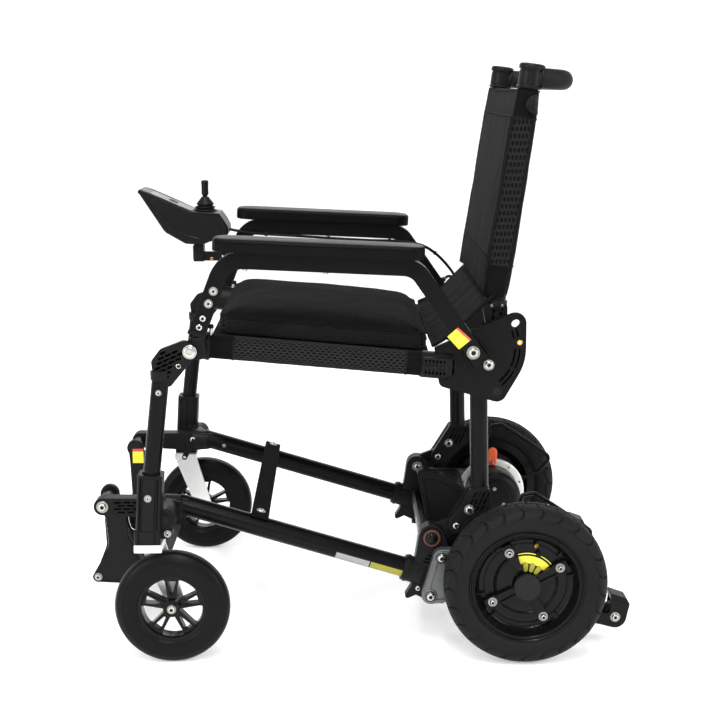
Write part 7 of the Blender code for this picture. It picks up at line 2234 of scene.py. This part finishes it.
def build_footplate():
    """Moulded board with grip ribs across it, edge rails and its hinge barrels."""
    work = Piece("footplate_board")
    half = HANGER_HALF - 0.0056
    y, z = PLATE_PIVOT
    place = Matrix.Translation((0, y + 0.054, z - 0.00575))
    stack(work, half, 0.050, 0.005, [(0.0, 0.0012), (0.0008, 0.0002), (0.0042, 0.0), (0.0048, 0.0004),
                                     (0.0050, 0.0012)], place, "textured_abs")
    for k in range(12):
        spot = Matrix.Translation((0, y + 0.0150 + 0.0070 * k, z - 0.0009))
        stack(work, half - 0.010, 0.0014, 0.0013, [(0.0, 0.0), (0.0008, 0.0003), (0.0010, 0.0009)], spot,
              "textured_abs", 30)
    for way in (1, -1):
        place = Matrix.Translation((way * (half - 0.004), y + 0.054, z - 0.0012))
        stack(work, 0.0030, 0.047, 0.0025, [(0.0, 0.0), (0.0012, 0.0002), (0.0016, 0.0010)], place,
              "textured_abs", 30)
    count = 5
    for k in range(count):
        span = 2 * half / count
        x = -half + span * (k + 0.5)
        peg(work, PLATE_PIVOT, x - span / 2 + 0.0015, x + span / 2 - 0.0015, 0.0070, "textured_abs", 0.0010,
            32)
    work.finish("footplate", ["footplate"])


# Battery


def build_battery():
    """Pack on the tray: low shell, one fan-shaped end with ribs, vents and a carrying handle."""
    work = Piece("battery_pack_shell")
    half = 0.148
    wall = 0.022

    def around(spots):
        return [(*from_axle(a, b), r / 1000) for a, b, r in spots]

    tall = around([(-130.0, 146.0, 7.5), (-73.5, 150.5, 12), (-78.0, 213.0, 12), (-98.5, 238.0, 10),
                   (-126.0, 254.0, 10), (-154.0, 264.5, 6.5)])
    flat = around([(-130.0, 146.0, 7.5), (-73.5, 150.5, 12), (-76.0, 176.0, 12), (-131.5, 180.0, 8)])
    panel = around([(-128.5, 151.0, 4), (-79.0, 155.5, 9), (-84.0, 210.0, 9), (-101.5, 230.5, 8),
                    (-126.5, 245.0, 8), (-145.5, 252.5, 4)])
    plate(work, [belt(flat, 5)], -half, half - wall + 0.002, "battery_shell", 0.0030, 4)
    plate(work, [belt(tall, 5)], half - wall, half - 0.0020, "battery_shell", 0.0030, 4, "inner")
    plate(work, [belt(tall, 5), belt(panel, 5)], half - 0.0020, half, "battery_shell", 0.0010, 3, "outer")
    # Ribs over the end's curved edge, and the vents of the low part
    crest = ((-150.0, 270.6), (-126.0, 263.8), (-95.0, 246.8), (-71.0, 222.0))
    for turn in range(3):
        spots = [(*from_axle(a, b + 0.6), 0.0) for a, b in crest]
        x = half - wall + 0.005 + 0.006 * turn
        sweep(work, [(x, p.x, p.y) for p in smooth_run(spots, 6)], 0.0009, "battery_shell", 8)
    for k in range(5):
        line = stadium(from_axle(-118.0 + 9.0 * k, 176.0), math.radians(90), 0.014, 0.0018)
        plate(work, [line], -half + 0.001, -half - 0.0008, "battery_shell", 0.0004)
    for k in range(9):
        rib = stadium((-0.122 + 0.026 * k, 0.0), 0, 0.016, 0.0024)
        place = Matrix.Translation((0, *from_axle(-120.0, 187.6)))
        slab(work, [rib], 0.0018, place, "battery_shell", 0.0004)
    points = [(-0.055, -0.010), (-0.053, 0.002), (-0.045, 0.0085), (-0.020, 0.0105), (0.0, 0.0110),
              (0.020, 0.0105), (0.045, 0.0085), (0.053, 0.002), (0.055, -0.010)]
    at, top = from_axle(-98.0, 190.0)
    run = smooth_run([(x, at, top + rise) for x, rise in points], 4)
    sweep(work, run, 0.0044, "soft_rubber", 18)
    for way in (1, -1):
        rod(work, (way * 0.055, at, top - 0.006), (way * 0.055, at, top + 0.001), 0.0078, "battery_shell",
            0.0012)
    work.finish("battery", ["battery"])


# Stage

EYE = (2.2214, -0.03175, 0.8782)
EYE_PITCH = math.radians(11.616)
EYE_YAW = math.radians(0.8752)
EYE_LENS = 67.04


def soft_light(name, at, aim, width, height, power):
    lamp = bpy.data.lights.new(name, "AREA")
    lamp.shape = "RECTANGLE"
    lamp.size = width
    lamp.size_y = height
    lamp.energy = power
    obj = placed(name, lamp)
    obj.location = at
    obj.rotation_euler = (Vector(aim) - Vector(at)).to_track_quat("-Z", "Y").to_euler()


def floor_material():
    """Matt painted studio floor with a barely seen mottle."""
    material, tree, shader = new_material("studio_floor_paint", 0.75, 0.0, 0.3)
    spot = add_node(tree, "ShaderNodeTexCoord").outputs["Object"]
    cloud = mottle(tree, spot, 3.0, 4.0)
    tree.links.new(shaded(tree, linear(colours().floor_grey), cloud, 0.98, 1.02), shader.inputs["Base Color"])
    # A faint glow of its own keeps the far wall as pale as the floor
    shader.inputs["Emission Color"].default_value = (1.0, 1.0, 1.0, 1.0)
    shader.inputs["Emission Strength"].default_value = 0.30
    return material


def build_stage():
    """Pale floor that curves up all round, soft overhead and side lights, and the camera."""
    part = bmesh.new()
    rings = []
    profile = [(3.0, 0.0), (4.5, 0.0), (5.2, 0.05), (5.8, 0.25), (6.2, 0.65), (6.4, 1.25), (6.45, 2.2),
               (6.45, 4.5)]
    for reach, height in profile:
        rings.append([part.verts.new((reach * math.cos(math.tau * k / 96),
                                      reach * math.sin(math.tau * k / 96), height)) for k in range(96)])
    part.faces.new(rings[0])
    for low, high in zip(rings, rings[1:]):
        for k in range(96):
            part.faces.new((low[k], low[(k + 1) % 96], high[(k + 1) % 96], high[k])).smooth = True
    mesh = bpy.data.meshes.new("studio_floor")
    part.to_mesh(mesh)
    part.free()
    mesh.materials.append(floor_material())
    floor = placed("studio_floor", mesh)
    floor.location.z = -0.0002

    soft_light("overhead_light", (0.6, -0.3, 3.2), (0.1, 0.0, 0.4), 2.6, 2.6, 60)
    soft_light("overhead_strip", (1.7, 0.0, 2.7), (0.2, 0.0, 0.4), 0.20, 3.4, 80)
    soft_light("front_strip", (1.9, -2.3, 1.5), (0.0, -0.1, 0.45), 0.26, 2.2, 44)
    soft_light("rear_strip", (1.5, 2.4, 1.3), (0.0, 0.1, 0.5), 0.26, 2.2, 38)
    soft_light("far_light", (-2.8, 0.2, 2.2), (0.0, 0.0, 0.5), 2.0, 2.0, 30)

    world = bpy.data.worlds.new("studio_air")
    world.use_nodes = True
    world.node_tree.nodes["Background"].inputs["Color"].default_value = (0.90, 0.93, 1.0, 1.0)
    world.node_tree.nodes["Background"].inputs["Strength"].default_value = 0.30
    scene = bpy.context.scene
    scene.world = world
    scene.view_settings.view_transform = "Standard"
    scene.view_settings.look = "None"
    scene.view_settings.exposure = 0.0
    scene.view_settings.gamma = 1.0

    lens = bpy.data.cameras.new("side_camera")
    lens.lens = EYE_LENS
    lens.sensor_width = 36.0
    camera = placed("side_camera", lens)
    camera.location = EYE
    look = Vector((-math.cos(EYE_YAW) * math.cos(EYE_PITCH), math.sin(EYE_YAW) * math.cos(EYE_PITCH),
                   -math.sin(EYE_PITCH)))
    camera.rotation_euler = look.to_track_quat("-Z", "Y").to_euler()
    scene.camera = camera


def finish_leftovers():
    """Gives every CAD node that still shows a real finish."""
    for node in frame["nodes"].values():
        if node.hide_render:
            continue
        for slot in node.material_slots:
            if slot.material is None or slot.material.name not in PAINTS:
                slot.link = "OBJECT"
                slot.material = paint_named("powder_casting")


# Settings


def shade(name, description, code):
    return FloatVectorProperty(name=name, description=description, default=hex_to_linear(code), min=0.0,
                               max=1.0, size=3, subtype="COLOR")


class WheelchairSizes(bpy.types.PropertyGroup):
    """Sizes that only the looks use; the frame's own sizes stay with the CAD model."""

    tread_depth: FloatProperty(
        name="Tread depth", description="Height of the rear tyres' shoulder blocks", default=0.0027,
        min=0.0005, max=0.005, unit="LENGTH",
    )
    cushion_swell: FloatProperty(
        name="Cushion swell", description="Furthest that the seat cover swells out", default=0.005,
        min=0.0, max=0.03, unit="LENGTH",
    )
    back_swell: FloatProperty(
        name="Back swell", description="Furthest that the back cover swells out", default=0.003,
        min=0.0, max=0.02, unit="LENGTH",
    )


class WheelchairColours(bpy.types.PropertyGroup):
    """Colours that a user would change."""

    frame_black: shade("Frame", "Powder coat on the tubes", "#0b0b0c")
    casting_black: shade("Castings", "Powder coat on the cast joints", "#121213")
    fabric_black: shade("Fabric", "Woven cover of the seat and back", "#0a0a0b")
    lever_orange: shade("Levers", "Free-wheel levers on the motors", "#d4552e")
    film_yellow: shade("Films", "Blank patches on the rail and the strut", "#cfc52e")
    floor_grey: shade("Floor", "Studio floor", "#f2f2f0")


# Operators


class WHEELCHAIR_OT_lower_frame(bpy.types.Operator):
    """Rails, front arms, cross strap, rear knuckles and the battery tray"""

    bl_idname = "wheelchair.lower_frame"
    bl_label = "Lower frame"

    def execute(self, context):
        for side, mark, _ in SIDES:
            build_rail(side, mark)
            build_front_arm(side, mark)
            build_knuckle(side, mark)
        build_strap()
        build_tray()
        return {"FINISHED"}


class WHEELCHAIR_OT_drives(bpy.types.Operator):
    """Motors, their brackets and guards, and the free-wheel levers"""

    bl_idname = "wheelchair.drives"
    bl_label = "Drives"

    def execute(self, context):
        for side, mark, word in SIDES:
            build_bracket(side, mark)
            build_motor(side, mark)
            build_lever(side, mark, word)
        return {"FINISHED"}


class WHEELCHAIR_OT_anti_tips(bpy.types.Operator):
    """Anti-tip arms and rollers behind the drives"""

    bl_idname = "wheelchair.anti_tips"
    bl_label = "Anti-tip arms"

    def execute(self, context):
        for side, mark, word in SIDES:
            build_anti_tip(side, mark, word)
        return {"FINISHED"}


class WHEELCHAIR_OT_rear_wheels(bpy.types.Operator):
    """Rear rims with their hubs, and the treaded tyres"""

    bl_idname = "wheelchair.rear_wheels"
    bl_label = "Rear wheels"

    def execute(self, context):
        for side, mark, word in SIDES:
            build_rear_wheel(side, mark, word, sizes().tread_depth)
        return {"FINISHED"}


class WHEELCHAIR_OT_casters(bpy.types.Operator):
    """Caster wheels and their one-sided forks"""

    bl_idname = "wheelchair.casters"
    bl_label = "Casters"

    def execute(self, context):
        for side, mark, word in SIDES:
            build_caster(side, mark, word)
            build_fork(side, mark, word)
        return {"FINISHED"}


class WHEELCHAIR_OT_legs(bpy.types.Operator):
    """Front legs in their fluted sockets, and the rear legs"""

    bl_idname = "wheelchair.legs"
    bl_label = "Legs"

    def execute(self, context):
        for side, mark, _ in SIDES:
            build_socket(side, mark)
            build_front_leg(side, mark)
            build_rear_leg(side, mark)
        return {"FINISHED"}


class WHEELCHAIR_OT_seat_frame(bpy.types.Operator):
    """Seat tubes with their sleeves, corner castings, locking plates, crossbars and sling"""

    bl_idname = "wheelchair.seat_frame"
    bl_label = "Seat frame"

    def execute(self, context):
        for side, mark, _ in SIDES:
            build_seat_tube(side, mark)
            build_front_bracket(side, mark)
            build_side_plate(side, mark)
        build_crossbars()
        build_sling()
        return {"FINISHED"}


class WHEELCHAIR_OT_cushion(bpy.types.Operator):
    """Seat cushion with its piping"""

    bl_idname = "wheelchair.cushion"
    bl_label = "Seat cushion"

    def execute(self, context):
        build_cushion()
        return {"FINISHED"}


class WHEELCHAIR_OT_back(bpy.types.Operator):
    """Back posts, push bar and the padded cover with its flap"""

    bl_idname = "wheelchair.back"
    bl_label = "Back"

    def execute(self, context):
        for side, mark, _ in SIDES:
            build_back_post(side, mark)
        build_push_handle()
        build_back_cover()
        return {"FINISHED"}


class WHEELCHAIR_OT_armrests(bpy.types.Operator):
    """Armrest bars and their pads"""

    bl_idname = "wheelchair.armrests"
    bl_label = "Armrests"

    def execute(self, context):
        for side, mark, word in SIDES:
            build_armrest(side, mark, word)
            build_arm_pad(side, mark, word)
        return {"FINISHED"}


class WHEELCHAIR_OT_controller(bpy.types.Operator):
    """Drive controller, its mount, button and stick"""

    bl_idname = "wheelchair.controller"
    bl_label = "Controller"

    def execute(self, context):
        build_control_case()
        build_stick()
        build_control_bracket()
        return {"FINISHED"}


class WHEELCHAIR_OT_cable(bpy.types.Operator):
    """The controller's lead and its clips"""

    bl_idname = "wheelchair.cable"
    bl_label = "Controller lead"

    def execute(self, context):
        build_cable()
        return {"FINISHED"}


class WHEELCHAIR_OT_footrest(bpy.types.Operator):
    """Foot hanger and its board"""

    bl_idname = "wheelchair.footrest"
    bl_label = "Footrest"

    def execute(self, context):
        build_foot_hanger()
        build_footplate()
        return {"FINISHED"}


class WHEELCHAIR_OT_battery(bpy.types.Operator):
    """Battery pack with its handle"""

    bl_idname = "wheelchair.battery"
    bl_label = "Battery"

    def execute(self, context):
        build_battery()
        return {"FINISHED"}


class WHEELCHAIR_OT_stage(bpy.types.Operator):
    """Floor, lights and camera"""

    bl_idname = "wheelchair.stage"
    bl_label = "Stage"

    def execute(self, context):
        build_stage()
        finish_leftovers()
        return {"FINISHED"}


OPERATORS = (
    WHEELCHAIR_OT_cable,
    WHEELCHAIR_OT_lower_frame,
    WHEELCHAIR_OT_drives,
    WHEELCHAIR_OT_anti_tips,
    WHEELCHAIR_OT_rear_wheels,
    WHEELCHAIR_OT_casters,
    WHEELCHAIR_OT_legs,
    WHEELCHAIR_OT_seat_frame,
    WHEELCHAIR_OT_cushion,
    WHEELCHAIR_OT_back,
    WHEELCHAIR_OT_armrests,
    WHEELCHAIR_OT_controller,
    WHEELCHAIR_OT_footrest,
    WHEELCHAIR_OT_battery,
    WHEELCHAIR_OT_stage,
)


class WHEELCHAIR_PT_panel(bpy.types.Panel):
    """Lists the wheelchair's sizes, colours and builders"""

    bl_idname = "WHEELCHAIR_PT_panel"
    bl_label = "Wheelchair"
    bl_space_type = "VIEW_3D"
    bl_region_type = "UI"
    bl_category = "Wheelchair"

    def draw(self, context):
        column = self.layout.column(align=True)
        for group in (context.scene.wheelchair_sizes, context.scene.wheelchair_colours):
            for name in group.__annotations__:
                column.prop(group, name)
        for operator in OPERATORS:
            column.operator(operator.bl_idname)


CLASSES = (WheelchairSizes, WheelchairColours, *OPERATORS, WHEELCHAIR_PT_panel)


def register():
    for item in CLASSES:
        bpy.utils.register_class(item)
    bpy.types.Scene.wheelchair_sizes = PointerProperty(type=WheelchairSizes)
    bpy.types.Scene.wheelchair_colours = PointerProperty(type=WheelchairColours)


def unregister():
    del bpy.types.Scene.wheelchair_colours
    del bpy.types.Scene.wheelchair_sizes
    for item in reversed(CLASSES):
        bpy.utils.unregister_class(item)


def main():
    register()
    for operator in OPERATORS:
        group, name = operator.bl_idname.split(".")
        getattr(getattr(bpy.ops, group), name)()


if __name__ == "__main__":
    main()
